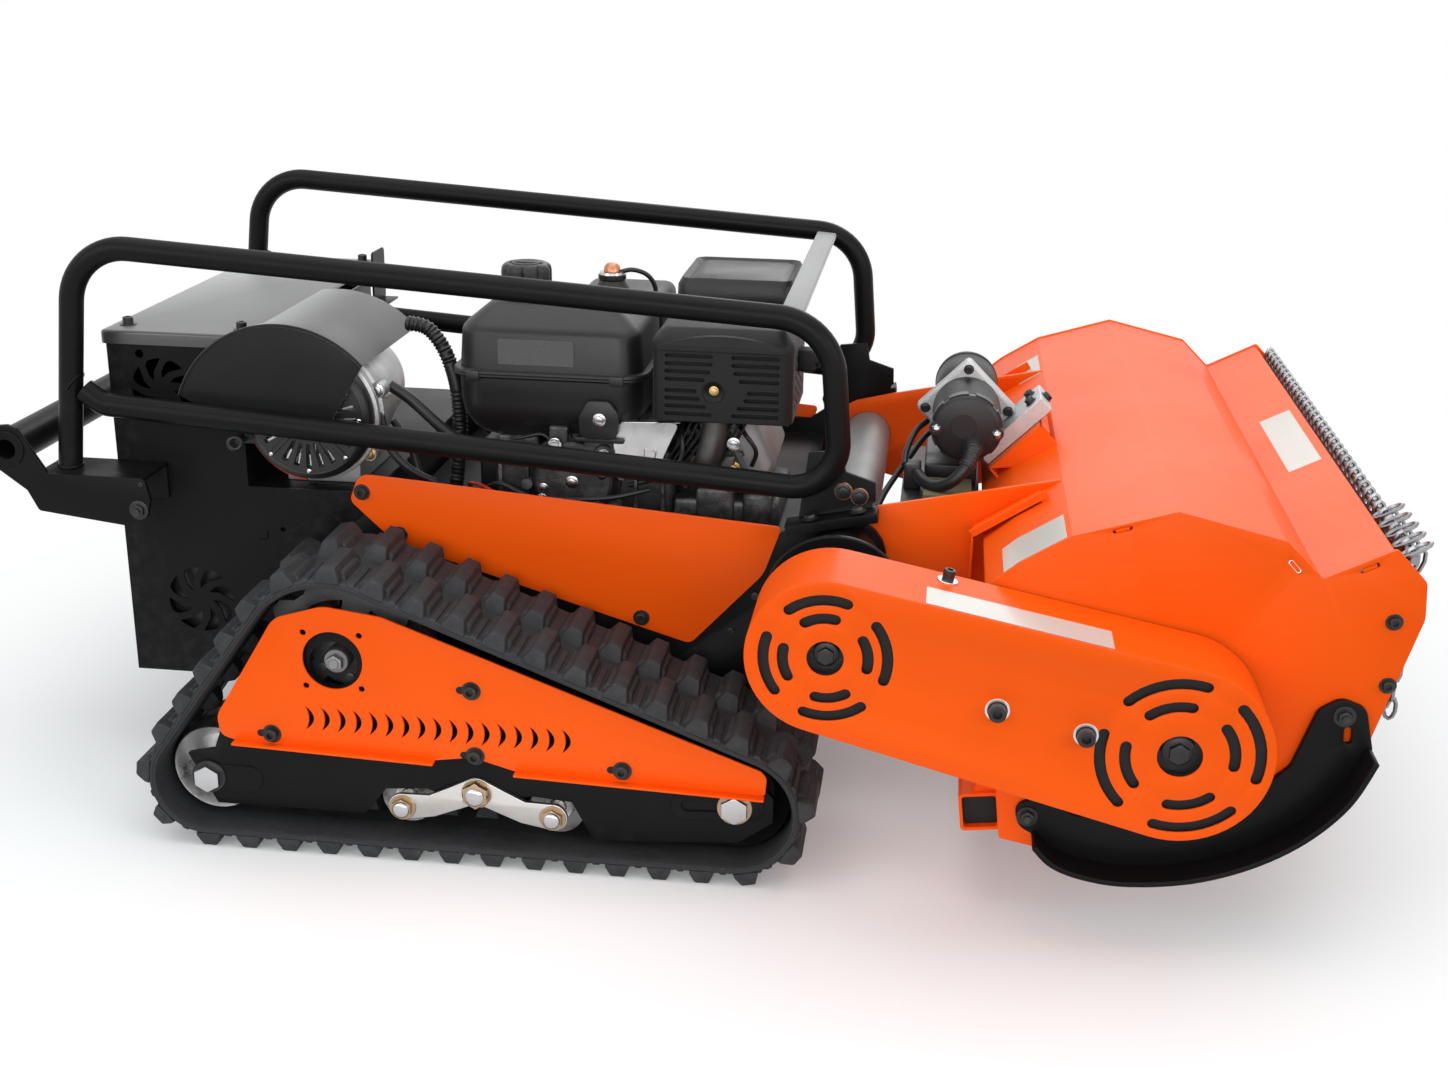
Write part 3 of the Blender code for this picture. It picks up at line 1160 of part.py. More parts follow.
def lift_motor():
    """The geared lift motor: two cans, a square flange and its clamping bar."""
    centre = (LIFT_MOTOR_X, LIFT_MOTOR_Z)
    radius = LIFT_MOTOR_RADIUS
    near_can = turned([(0, -0.164), (radius - 0.004, -0.164), (radius, -0.160), (radius, -0.046),
                       (0, -0.046)], centre)
    far_can = turned([(0, -0.050), (radius - 0.003, -0.050), (radius - 0.003, 0.070), (radius - 0.010, 0.080),
                      (0, 0.080)], centre)
    flange = prism(circle(centre, 0.068, 4), -0.058, -0.040)
    start, along = mount_edge()
    lift = Vector((-1, 1)).normalized()
    start = start + lift * TOUCH
    bar = [start, start + along * 0.110, start + along * 0.110 + lift * 0.022, start + lift * 0.022]
    clamp = prism([tuple(corner) for corner in bar], -0.104, -0.030)
    return union(flange, near_can, far_can, clamp)


def lift_motor_mount():
    """The orange bracket that carries the lift motor on the deck's rear slope."""
    start, along = mount_edge()
    outline = [tuple(start), tuple(start + along * 0.090), (0.436, 0.471), (0.374, 0.415)]
    bracket = prism(outline, -0.122, 0.060)
    inside = offset_path(deck_path(), -WELD) + [(0.779, 0.080)]
    return cut(bracket, prism(inside, -0.2, 0.2))


def motor_cable():
    """The lift motor's lead, from the cap's gland down to the deck's rear sheet."""
    points = [(0.322, -0.1645, 0.472), (0.322, -0.180, 0.470), (0.316, -0.196, 0.456), (0.300, -0.200, 0.436),
              (0.280, -0.190, 0.424), (0.262, -0.170, 0.424), (0.250, -0.140, 0.430)]
    return tube(smooth_route(points, 2), 0.008, 2)


def chain_curtain():
    """The row of hanging chains behind the front lip, as plain strands on their rod."""
    reach = HEAD_HALF - DECK_SIDE_PLATE - TOUCH
    x, z, bottom = 0.790, 0.463, 0.255
    half = 0.0065
    bar = rod((x, z), 0.005, -reach, reach, sides=8)
    pitch = 2 * (reach - 0.020) / (CHAIN_STRANDS - 1)
    strands = [block((x - 0.0035, x + 0.0035), (y - half, y + half), (bottom, z + 0.002))
               for y in (-reach + 0.020 + pitch * i for i in range(CHAIN_STRANDS))]
    return union(bar, *strands)


def build_head(colours):
    pivot = (PIVOT_X, 0, PIVOT_Z)
    axis = (ROTOR_X, 0, ROTOR_Z)
    name_node(mower_deck(), "mower_deck", colours["orange"], pivot)
    name_node(rotor(), "flail_rotor", colours["cast"], axis)
    name_node(rotor_pulley(), "rotor_pulley", colours["cast"], axis)
    name_node(jackshaft(), "jackshaft_pulley", colours["cast"], pivot)
    name_node(drive_belt(), "drive_belt", colours["rubber"], pivot)
    name_node(belt_guard(), "belt_guard", colours["orange"], pivot)
    both_sides(lift_arm(), "lift_arm", colours["orange"], pivot)
    both_sides(skid(), "skid", colours["black"], pivot)
    name_node(lift_motor(), "lift_motor", colours["aluminium"], pivot)
    name_node(motor_cable(), "motor_cable", colours["plastic"], pivot)
    name_node(chain_curtain(), "chain_curtain", colours["zinc"], pivot)


def place_origin():
    """Moves every node so that the machine stands on z = 0 with its box centred on the origin."""
    bpy.context.view_layer.update()
    corners = [node.matrix_world @ vertex.co for node in bpy.data.objects for vertex in node.data.vertices]
    low = [min(corner[i] for corner in corners) for i in range(3)]
    high = [max(corner[i] for corner in corners) for i in range(3)]
    shift = Vector(((low[0] + high[0]) / 2, (low[1] + high[1]) / 2, low[2]))
    for node in bpy.data.objects:
        node.location -= shift
    bpy.context.view_layer.update()
    print("moved by", [round(-value, 5) for value in shift], "size",
          [round(b - a, 4) for a, b in zip(low, high)])


def build():
    clear_scene()
    colours = {
        "orange": make_material("orange_paint", (0.95, 0.12, 0.010), 0.35, 0.0),
        "black": make_material("black_paint", (0.015, 0.015, 0.017), 0.40, 0.0),
        "plastic": make_material("black_plastic", (0.020, 0.020, 0.022), 0.50, 0.0),
        "rubber": make_material("rubber", (0.030, 0.031, 0.034), 0.75, 0.0),
        "zinc": make_material("zinc_plate", (0.60, 0.60, 0.60), 0.30, 1.0),
        "cast": make_material("cast_iron", (0.16, 0.16, 0.17), 0.55, 0.8),
        "aluminium": make_material("cast_aluminium", (0.55, 0.55, 0.57), 0.45, 0.9),
    }
    build_tracks(colours)
    build_chassis(colours)
    build_power_unit(colours)
    build_head(colours)
    place_origin()


build()
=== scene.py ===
# Tracked flail mower: the finished pieces, materials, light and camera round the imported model.
# Lengths are metres. +X is forward, +Y is the machine's left side, +Z is up.
import json
import math
from math import acos, atan2, cos, degrees, hypot, radians, sin, tau

import bmesh
import bpy
from mathutils import Matrix, Vector


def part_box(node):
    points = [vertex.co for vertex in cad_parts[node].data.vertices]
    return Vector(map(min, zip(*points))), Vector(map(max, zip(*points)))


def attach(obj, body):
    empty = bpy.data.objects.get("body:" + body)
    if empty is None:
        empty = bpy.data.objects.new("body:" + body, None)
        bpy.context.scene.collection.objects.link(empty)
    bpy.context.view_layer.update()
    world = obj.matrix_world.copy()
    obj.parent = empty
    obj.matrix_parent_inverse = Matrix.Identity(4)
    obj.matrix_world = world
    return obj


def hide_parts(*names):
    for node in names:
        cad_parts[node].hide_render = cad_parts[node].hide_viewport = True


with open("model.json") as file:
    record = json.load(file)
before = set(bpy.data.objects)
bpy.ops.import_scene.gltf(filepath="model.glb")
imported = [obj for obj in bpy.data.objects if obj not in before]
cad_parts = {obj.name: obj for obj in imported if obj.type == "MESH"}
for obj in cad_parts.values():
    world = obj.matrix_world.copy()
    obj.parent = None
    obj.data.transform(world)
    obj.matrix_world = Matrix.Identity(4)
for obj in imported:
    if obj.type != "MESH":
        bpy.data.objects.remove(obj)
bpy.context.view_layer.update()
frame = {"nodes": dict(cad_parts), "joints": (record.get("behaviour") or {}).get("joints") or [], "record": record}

# The machine's own zero: its middle plane, on the ground, with the head's pivot at pivotX.
pivotX, pivotZ = 0.17, 0.358
joints = {joint["name"]: joint for joint in frame["joints"]}
shift = Vector(joints["head_lift"]["pos_m"]) - Vector((pivotX, 0, pivotZ))


def jointPlace(name):
    # where a joint's axis is, measured from the machine's own zero
    return Vector(joints[name]["pos_m"]) - shift


def nodeBox(name):
    # lowest and highest corner of a node, measured from the machine's own zero
    low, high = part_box(name)
    return low - shift, high - shift


# outlines and routes, and the solids that are made from them
def across(axis, first, second, along):
    # (x, z) across Y, (y, z) across X, (x, y) across Z
    if axis == "X":
        return Vector((along, first, second))
    if axis == "Y":
        return Vector((first, along, second))
    return Vector((first, second, along))


def circle(centre, radius, sides=48, turn=0.0):
    angles = [tau * i / sides + turn for i in range(sides)]
    return [(centre[0] + radius * cos(a), centre[1] + radius * sin(a)) for a in angles]


def rectangle(x0, x1, z0, z1):
    return [(x0, z0), (x1, z0), (x1, z1), (x0, z1)]


def onRing(x, z, radius, a, y):
    # a place at an angle round (x, z), at a distance along Y
    return (x + radius * cos(a), y, z + radius * sin(a))


def arc(centre, radius, start, end, steps=12):
    angles = [radians(start + (end - start) * i / steps) for i in range(steps + 1)]
    return [(centre[0] + radius * cos(a), centre[1] + radius * sin(a)) for a in angles]


def arcSlot(centre, radius, start, end, width, steps=10):
    # a curved slot with round ends
    half = width / 2
    startMiddle = arc(centre, radius, start, start, 1)[0]
    endMiddle = arc(centre, radius, end, end, 1)[0]
    return (arc(centre, radius + half, start, end, steps) + arc(endMiddle, half, end, end + 180, 6)[1:-1]
        + arc(centre, radius - half, end, start, steps) + arc(startMiddle, half, start + 180, start + 360,
        6)[1:-1])


def straightSlot(start, end, width):
    heading = degrees(atan2(end[1] - start[1], end[0] - start[0]))
    return arc(start, width / 2, heading + 90, heading + 270, 8) + arc(end, width / 2, heading - 90, heading
        + 90, 8)


def roundCorners(points, radius, steps=6, closed=True):
    # eases the corners of an outline or of a route in space; radius is one value or one for each corner
    points = [Vector(point) for point in points]
    count = len(points)
    radii = radius if isinstance(radius, (list, tuple)) else [radius] * count
    eased = []
    for i, corner in enumerate(points):
        if radii[i] == 0 or (not closed and i in (0, count - 1)):
            eased.append(corner)
            continue
        back = (points[i - 1] - corner).normalized()
        ahead = (points[(i + 1) % count] - corner).normalized()
        half = back.angle(ahead) / 2
        sweep = math.pi - 2 * half
        if sweep < 0.02:
            eased.append(corner)
            continue
        centre = corner + (back + ahead).normalized() * (radii[i] / sin(half))
        first = corner + back * (radii[i] / math.tan(half)) - centre
        last = corner + ahead * (radii[i] / math.tan(half)) - centre
        for k in range(steps + 1):
            share = k / steps
            eased.append(centre + first * (sin((1 - share) * sweep) / sin(sweep))
                + last * (sin(share * sweep) / sin(sweep)))
    return [tuple(point) for point in eased]


def offsetPath(points, distance):
    # moves an open outline to the left of its direction, with mitred corners
    moved = []
    for i, point in enumerate(points):
        sides = []
        if i > 0:
            sides.append((points[i - 1], point))
        if i < len(points) - 1:
            sides.append((point, points[i + 1]))
        normals = [Vector((a[1] - b[1], b[0] - a[0])).normalized() for a, b in sides]
        mean = sum(normals, Vector((0, 0))).normalized()
        reach = distance / mean.dot(normals[0])
        moved.append((point[0] + mean.x * reach, point[1] + mean.y * reach))
    return moved


def ribbon(path, thickness):
    # the outline of a bent sheet that lies to the right of a path
    return list(path) + offsetPath(path, -thickness)[::-1]


def smoothRoute(points, steps=6):
    ends = [points[0]] + list(points) + [points[-1]]
    route = []
    for i in range(len(points) - 1):
        a, b, c, d = (Vector(ends[i + k]) for k in range(4))
        for k in range(steps):
            t = k / steps
            route.append(0.5 * (2 * b + (c - a) * t + (2 * a - 5 * b + 4 * c - d) * t * t + (3 * b - a - 3 * c
                + d) * t ** 3))
    return [tuple(point) for point in route] + [tuple(points[-1])]


def easeEdges(part, width, segments=1, over=38):
    # bevels the edges where faces meet at more than a given angle
    if width <= 0:
        return
    sharp = [edge for edge in part.edges
        if len(edge.link_faces) == 2 and edge.calc_face_angle(0) > radians(over)]
    if sharp:
        bmesh.ops.bevel(part, geom=sharp, offset=width, segments=segments, profile=0.5, affect="EDGES",
            clamp_overlap=True, material=-1)


def addTo(bm, part):
    # puts a finished part into a piece
    mesh = bpy.data.meshes.new("part")
    part.to_mesh(mesh)
    part.free()
    bm.from_mesh(mesh)
    bpy.data.meshes.remove(mesh)


def plate(bm, outline, low, high, axis="Y", holes=(), ease=0.0006, segments=1):
    # a flat plate between two planes, with holes through it
    part = bmesh.new()
    for loop in [outline, *holes]:
        corners = [part.verts.new(across(axis, a, b, low)) for a, b in loop]
        for i, corner in enumerate(corners):
            part.edges.new((corners[i - 1], corner))
    if holes:
        bmesh.ops.triangle_fill(part, use_beauty=True, edges=part.edges[:])
    else:
        part.faces.new(corners)
    grown = bmesh.ops.extrude_face_region(part, geom=part.faces[:])
    moved = [item for item in grown["geom"] if isinstance(item, bmesh.types.BMVert)]
    bmesh.ops.translate(part, verts=moved, vec=across(axis, 0, 0, high - low))
    bmesh.ops.recalc_face_normals(part, faces=part.faces[:])
    easeEdges(part, ease, segments)
    addTo(bm, part)


def brick(bm, x, y, z, ease=0.001, segments=2, turn=None):
    # a box from three (low, high) pairs; turn is (degrees, axis) about its middle
    part = bmesh.new()
    bmesh.ops.create_cube(part, size=1)
    size = Vector((x[1] - x[0], y[1] - y[0], z[1] - z[0]))
    middle = Vector((x[1] + x[0], y[1] + y[0], z[1] + z[0])) / 2
    bmesh.ops.scale(part, verts=part.verts, vec=size)
    easeEdges(part, ease, segments)
    if turn:
        bmesh.ops.rotate(part, verts=part.verts, cent=(0, 0, 0), matrix=Matrix.Rotation(radians(turn[0]),
            3, turn[1]))
    bmesh.ops.translate(part, verts=part.verts, vec=middle)
    addTo(bm, part)


def aim(part, direction, place):
    # turns a part made along +Z to a direction and moves it to its place
    turn = Vector((0, 0, 1)).rotation_difference(Vector(direction)).to_matrix()
    bmesh.ops.rotate(part, verts=part.verts, cent=(0, 0, 0), matrix=turn)
    bmesh.ops.translate(part, verts=part.verts, vec=Vector(place))


def lathe(bm, profile, place, direction=(0, 1, 0), steps=48):
    # spins (radius, along) points about a line through place; a profile off the line closes into a ring
    part = bmesh.new()
    points = [part.verts.new((radius, 0, along)) for radius, along in profile]
    edges = [part.edges.new(pair) for pair in zip(points, points[1:])]
    if min(radius for radius, along in profile) > 0:
        edges.append(part.edges.new((points[-1], points[0])))
    bmesh.ops.spin(part, geom=points + edges, cent=(0, 0, 0), axis=(0, 0, 1), angle=tau, steps=steps,
        use_merge=True, use_duplicate=False)
    bmesh.ops.remove_doubles(part, verts=part.verts, dist=1e-6)
    bmesh.ops.recalc_face_normals(part, faces=part.faces[:])
    aim(part, direction, place)
    addTo(bm, part)


def rod(bm, radius, low, high, place, direction=(0, 1, 0), steps=48):
    # a plain cylinder between two distances along its line
    lathe(bm, [(0, low), (radius, low), (radius, high), (0, high)], place, direction, steps)


def bar(bm, route, radius, sides=16):
    # a swept round bar with closed ends, through the points of a route
    curve = bpy.data.curves.new("route", "CURVE")
    curve.dimensions = "3D"
    curve.bevel_depth = radius
    curve.bevel_resolution = max(1, sides // 2 - 2)
    curve.use_fill_caps = True
    spline = curve.splines.new("POLY")
    spline.points.add(len(route) - 1)
    for point, place in zip(spline.points, route):
        point.co = (*place, 1.0)
    guide = bpy.data.objects.new("route", curve)
    bpy.context.scene.collection.objects.link(guide)
    bpy.context.view_layer.update()
    swept = bpy.data.meshes.new_from_object(guide.evaluated_get(bpy.context.evaluated_depsgraph_get()))
    bpy.data.objects.remove(guide, do_unlink=True)
    part = bmesh.new()
    part.from_mesh(swept)
    bpy.data.meshes.remove(swept)
    bmesh.ops.remove_doubles(part, verts=part.verts, dist=1e-6)
    bmesh.ops.recalc_face_normals(part, faces=part.faces[:])
    addTo(bm, part)


def ribbedHose(bm, route, radius, rib, pitch, sides=14):
    # a corrugated sleeve: rings of two radii lofted along a route
    points = [Vector(point) for point in route]
    rings = []
    part = bmesh.new()
    distance = 0.0
    for i, point in enumerate(points):
        ahead = (points[min(i + 1, len(points) - 1)] - points[max(i - 1, 0)]).normalized()
        side = ahead.cross(Vector((0.13, 1, 0.07))).normalized()
        up = side.cross(ahead)
        if i:
            distance += (point - points[i - 1]).length
        size = radius - rib * (0.5 + 0.5 * cos(tau * distance / pitch))
        rings.append([part.verts.new(point + (side * cos(a) + up * sin(a)) * size)
            for a in (tau * k / sides for k in range(sides))])
    loops = [[part.edges.new((ring[k - 1], ring[k])) for k in range(sides)] for ring in rings]
    for first, second in zip(loops, loops[1:]):
        bmesh.ops.bridge_loops(part, edges=first + second)
    bmesh.ops.holes_fill(part, edges=loops[0] + loops[-1], sides=0)
    bmesh.ops.recalc_face_normals(part, faces=part.faces[:])
    addTo(bm, part)


def evenRoute(points, spacing):
    # points a fixed distance apart on a smooth curve through the given ones
    fine = [Vector(point) for point in smoothRoute(points, 40)]
    even = [fine[0]]
    for point in fine[1:]:
        if (point - even[-1]).length >= spacing:
            even.append(point)
    return even


# bolts, nuts and washers
def washer(bm, place, direction, radius, bore=0.0, thick=0.0016):
    profile = [(bore, 0), (radius, 0), (radius, thick * 0.7), (radius - thick * 0.3, thick), (bore, thick)]
    lathe(bm, profile, place, direction, 28)


def hexHead(bm, place, direction, radius, height, flange=0.0):
    # a hexagonal head or nut with a rounded top, and a flange if it has one
    part = bmesh.new()
    bmesh.ops.create_cone(part, cap_ends=True, segments=6, radius1=radius, radius2=radius, depth=height)
    bmesh.ops.translate(part, verts=part.verts, vec=(0, 0, height / 2))
    top = [edge for edge in part.edges if all(v.co.z > height * 0.9 for v in edge.verts)]
    bmesh.ops.bevel(part, geom=top, offset=radius * 0.12, segments=2, profile=0.5, affect="EDGES", material=-1)
    aim(part, direction, place)
    addTo(bm, part)
    if flange:
        profile = [(0, 0), (flange, 0), (flange, height * 0.12), (radius * 0.98, height * 0.3),
            (0, height * 0.3)]
        lathe(bm, profile, place, direction, 28)


def socketHead(bm, place, direction, radius, height, washerRadius=0.0):
    # a cylinder head with a socket in it
    base = 0.0014 if washerRadius else 0.0
    bore = radius * 0.52
    ease = radius * 0.14
    profile = [(0, base + height * 0.45), (bore, base + height * 0.45), (bore, base + height),
        (radius - ease, base + height), (radius, base + height - ease), (radius, 0), (0, 0)]
    lathe(bm, profile, place, direction, 24)
    if washerRadius:
        washer(bm, place, direction, washerRadius, 0.0, 0.0014)


def domeNut(bm, place, direction, radius, height):
    # a hexagonal foot under a rounded end
    hexHead(bm, place, direction, radius, height * 0.45)
    rounded = [(radius * 0.86 * cos(a), height * 0.44 + height * 0.56 * sin(a))
        for a in (radians(15 * i) for i in range(7))]
    lathe(bm, [(0, height * 0.3), (radius * 0.86, height * 0.3)] + rounded[:-1] + [(0, height)], place,
        direction, 28)


hardware = {}


def tray(body, finish):
    # the bolts of one finish on one body gather in one piece
    return hardware.setdefault((body, finish), bmesh.new())


# a finished mesh becomes a piece that rides on its body
def makePiece(name, bm, finish, body, node=None, sharp=34):
    bmesh.ops.translate(bm, verts=bm.verts, vec=shift)
    mesh = bpy.data.meshes.new(name)
    bm.to_mesh(mesh)
    bm.free()
    mesh.materials.append(materials[finish])
    mesh.shade_smooth()
    mesh.set_sharp_from_angle(angle=radians(sharp))
    piece = bpy.data.objects.new(name, mesh)
    bpy.context.scene.collection.objects.link(piece)
    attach(piece, body)
    if node:
        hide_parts(node)


def mirrorCopy(bm):
    twin = bm.copy()
    bmesh.ops.scale(twin, verts=twin.verts, vec=(1, -1, 1))
    bmesh.ops.reverse_faces(twin, faces=twin.faces[:])
    return twin


def makePair(name, bm, finish, body, node=None, sharp=34):
    # a piece on the right side and its twin on the left; {} in the body's name stands for the side
    twin = mirrorCopy(bm)
    for half, side in ((bm, "right"), (twin, "left")):
        makePiece(f"{name}_{side}", half, finish, body.format(side), node and f"{node}_{side}", sharp)


def refined(node, ease=0.0008, segments=2, flat=1.0, over=38):
    # a merged copy of a node's mesh with its flat faces joined and its edges eased
    part = bmesh.new()
    part.from_mesh(frame["nodes"][node].data)
    bmesh.ops.remove_doubles(part, verts=part.verts, dist=1e-5)
    bmesh.ops.dissolve_limit(part, angle_limit=radians(flat), verts=part.verts[:], edges=part.edges[:],
        use_dissolve_boundaries=False)
    bmesh.ops.translate(part, verts=part.verts, vec=-shift)
    easeEdges(part, ease, segments, over)
    return part


# the materials share three node groups: grain, brush marks and worn edges
def makeGroup(name, inputs, outputs):
    tree = bpy.data.node_groups.new(name, "ShaderNodeTree")
    for label, kind, value in inputs:
        socket = tree.interface.new_socket(label, in_out="INPUT", socket_type=kind)
        if value is not None:
            socket.default_value = value
    for label, kind in outputs:
        tree.interface.new_socket(label, in_out="OUTPUT", socket_type=kind)
    return tree, tree.nodes.new("NodeGroupInput"), tree.nodes.new("NodeGroupOutput")


def addNode(tree, kind, settings=None, links=None):
    node = tree.nodes.new(kind)
    for key, value in (settings or {}).items():
        if hasattr(node, key):
            setattr(node, key, value)
        else:
            node.inputs[key].default_value = value
    for key, source in (links or {}).items():
        tree.links.new(source, node.inputs[key])
    return node


def mapRange(tree, source, low, high, toLow=0.0, toHigh=1.0):
    settings = {"From Min": low, "From Max": high, "To Min": toLow, "To Max": toHigh}
    return addNode(tree, "ShaderNodeMapRange", settings, {"Value": source}).outputs["Result"]


def buildGrainGroup():
    # fine grain, broad blotches and a few speckles, each from 0 to 1
    tree, source, sink = makeGroup("surfaceGrain", [("Vector", "NodeSocketVector", None),
        ("Fine", "NodeSocketFloat", 700.0), ("Broad", "NodeSocketFloat", 6.0)], [("Grain", "NodeSocketFloat"),
        ("Blotch", "NodeSocketFloat"), ("Speckle", "NodeSocketFloat")])
    vector = source.outputs["Vector"]
    fine = addNode(tree, "ShaderNodeTexNoise", {"Detail": 2.0, "Roughness": 0.55}, {"Vector": vector,
        "Scale": source.outputs["Fine"]})
    broad = addNode(tree, "ShaderNodeTexNoise", {"Detail": 4.0, "Roughness": 0.6}, {"Vector": vector,
        "Scale": source.outputs["Broad"]})
    speckle = addNode(tree, "ShaderNodeTexNoise", {"Detail": 1.0, "Roughness": 0.4, "Scale": 260.0},
        {"Vector": vector})
    tree.links.new(mapRange(tree, fine.outputs["Fac"], 0.3, 0.7), sink.inputs["Grain"])
    tree.links.new(mapRange(tree, broad.outputs["Fac"], 0.35, 0.65), sink.inputs["Blotch"])
    tree.links.new(mapRange(tree, speckle.outputs["Fac"], 0.68, 0.76), sink.inputs["Speckle"])
    return tree


def buildBrushGroup():
    # fine parallel marks along one direction, from 0 to 1
    tree, source, sink = makeGroup("brushMarks", [("Vector", "NodeSocketVector", None),
        ("Stretch", "NodeSocketVector", (60.0, 900.0, 900.0))], [("Marks", "NodeSocketFloat")])
    scaled = addNode(tree, "ShaderNodeVectorMath", {"operation": "MULTIPLY"})
    tree.links.new(source.outputs["Vector"], scaled.inputs[0])
    tree.links.new(source.outputs["Stretch"], scaled.inputs[1])
    noise = addNode(tree, "ShaderNodeTexNoise", {"Scale": 1.0, "Detail": 3.0, "Roughness": 0.6},
        {"Vector": scaled.outputs["Vector"]})
    tree.links.new(mapRange(tree, noise.outputs["Fac"], 0.3, 0.7), sink.inputs["Marks"])
    return tree


def buildEdgeGroup():
    # worn edges: raised corners, broken up by a coarse noise
    tree, source, sink = makeGroup("edgeRub", [("Vector", "NodeSocketVector", None),
        ("Start", "NodeSocketFloat", 0.53), ("End", "NodeSocketFloat", 0.6)], [("Mask", "NodeSocketFloat")])
    geometry = addNode(tree, "ShaderNodeNewGeometry")
    raised = addNode(tree, "ShaderNodeMapRange", {}, {"Value": geometry.outputs["Pointiness"],
        "From Min": source.outputs["Start"], "From Max": source.outputs["End"]})
    noise = addNode(tree, "ShaderNodeTexNoise", {"Scale": 60.0, "Detail": 3.0},
        {"Vector": source.outputs["Vector"]})
    broken = addNode(tree, "ShaderNodeMath", {"operation": "MULTIPLY"})
    tree.links.new(raised.outputs["Result"], broken.inputs[0])
    tree.links.new(mapRange(tree, noise.outputs["Fac"], 0.4, 0.62), broken.inputs[1])
    tree.links.new(broken.outputs["Value"], sink.inputs["Mask"])
    return tree


grainGroup = buildGrainGroup()
brushGroup = buildBrushGroup()
edgeGroup = buildEdgeGroup()


def place(tree, group, inputs=None, vector=None):
    node = tree.nodes.new("ShaderNodeGroup")
    node.node_tree = group
    for key, value in (inputs or {}).items():
        node.inputs[key].default_value = value
    if vector is not None:
        tree.links.new(vector, node.inputs["Vector"])
    return node


def mixColour(tree, mask, first, second):
    # first and second are colours or sockets
    mix = tree.nodes.new("ShaderNodeMix")
    mix.data_type = "RGBA"
    tree.links.new(mask, mix.inputs["Factor"])
    for socket, value in ((mix.inputs[6], first), (mix.inputs[7], second)):
        if isinstance(value, tuple):
            socket.default_value = (*value, 1.0)
        else:
            tree.links.new(value, socket)
    return mix.outputs[2]


def scaleMask(tree, mask, factor):
    node = addNode(tree, "ShaderNodeMath", {"operation": "MULTIPLY"})
    tree.links.new(mask, node.inputs[0])
    node.inputs[1].default_value = factor
    return node.outputs["Value"]


def makeSurface(name, look):
    # colour with blotches, speckles and rubbed edges; roughness and bump from the same grain
    material = bpy.data.materials.new(name)
    material.use_nodes = True
    tree = material.node_tree
    shader = tree.nodes["Principled BSDF"]
    spot = addNode(tree, "ShaderNodeTexCoord").outputs["Object"]
    grain = place(tree, grainGroup, {"Fine": look["fine"], "Broad": look.get("broad", 6.0)}, spot)
    colour = mixColour(tree, scaleMask(tree, grain.outputs["Blotch"], look.get("blotch", 0.5)), look["colour"],
        look["shade"])
    if "speckle" in look:
        colour = mixColour(tree, scaleMask(tree, grain.outputs["Speckle"], look["speckle"][0]), colour,
            look["speckle"][1])
    height = grain.outputs["Grain"]
    if "brush" in look:
        marks = place(tree, brushGroup, {"Stretch": look["brush"]}, spot)
        height = marks.outputs["Marks"]
        colour = mixColour(tree, scaleMask(tree, height, look.get("brushTint", 0.4)), colour, look["shade"])
    if "rub" in look:
        rub = place(tree, edgeGroup, {"Start": look["rub"][1], "End": look["rub"][2]}, spot)
        colour = mixColour(tree, scaleMask(tree, rub.outputs["Mask"], look["rub"][0]), colour, look["rub"][3])
    tree.links.new(colour, shader.inputs["Base Color"])
    rough = look["rough"]
    spread = look.get("spread", 0.06)
    mixed = addNode(tree, "ShaderNodeMath", {"operation": "MULTIPLY_ADD"})
    tree.links.new(height, mixed.inputs[0])
    mixed.inputs[1].default_value = spread
    tree.links.new(mapRange(tree, grain.outputs["Blotch"], 0, 1, rough - spread, rough + spread * 0.5),
        mixed.inputs[2])
    tree.links.new(mixed.outputs["Value"], shader.inputs["Roughness"])
    bump = addNode(tree, "ShaderNodeBump", {"Strength": look.get("bump", 0.1), "Distance": look.get("depth",
        0.0004)}, {"Height": height})
    tree.links.new(bump.outputs["Normal"], shader.inputs["Normal"])
    shader.inputs["Metallic"].default_value = look.get("metallic", 0.0)
    shader.inputs["Specular IOR Level"].default_value = look.get("specular", 0.5)
    shader.inputs["Coat Weight"].default_value = look.get("coat", 0.0)
    shader.inputs["Coat Roughness"].default_value = look.get("coatRough", 0.1)
    shader.inputs["Sheen Weight"].default_value = look.get("sheen", 0.0)
    shader.inputs["Sheen Roughness"].default_value = look.get("sheenRough", 0.35)
    return material


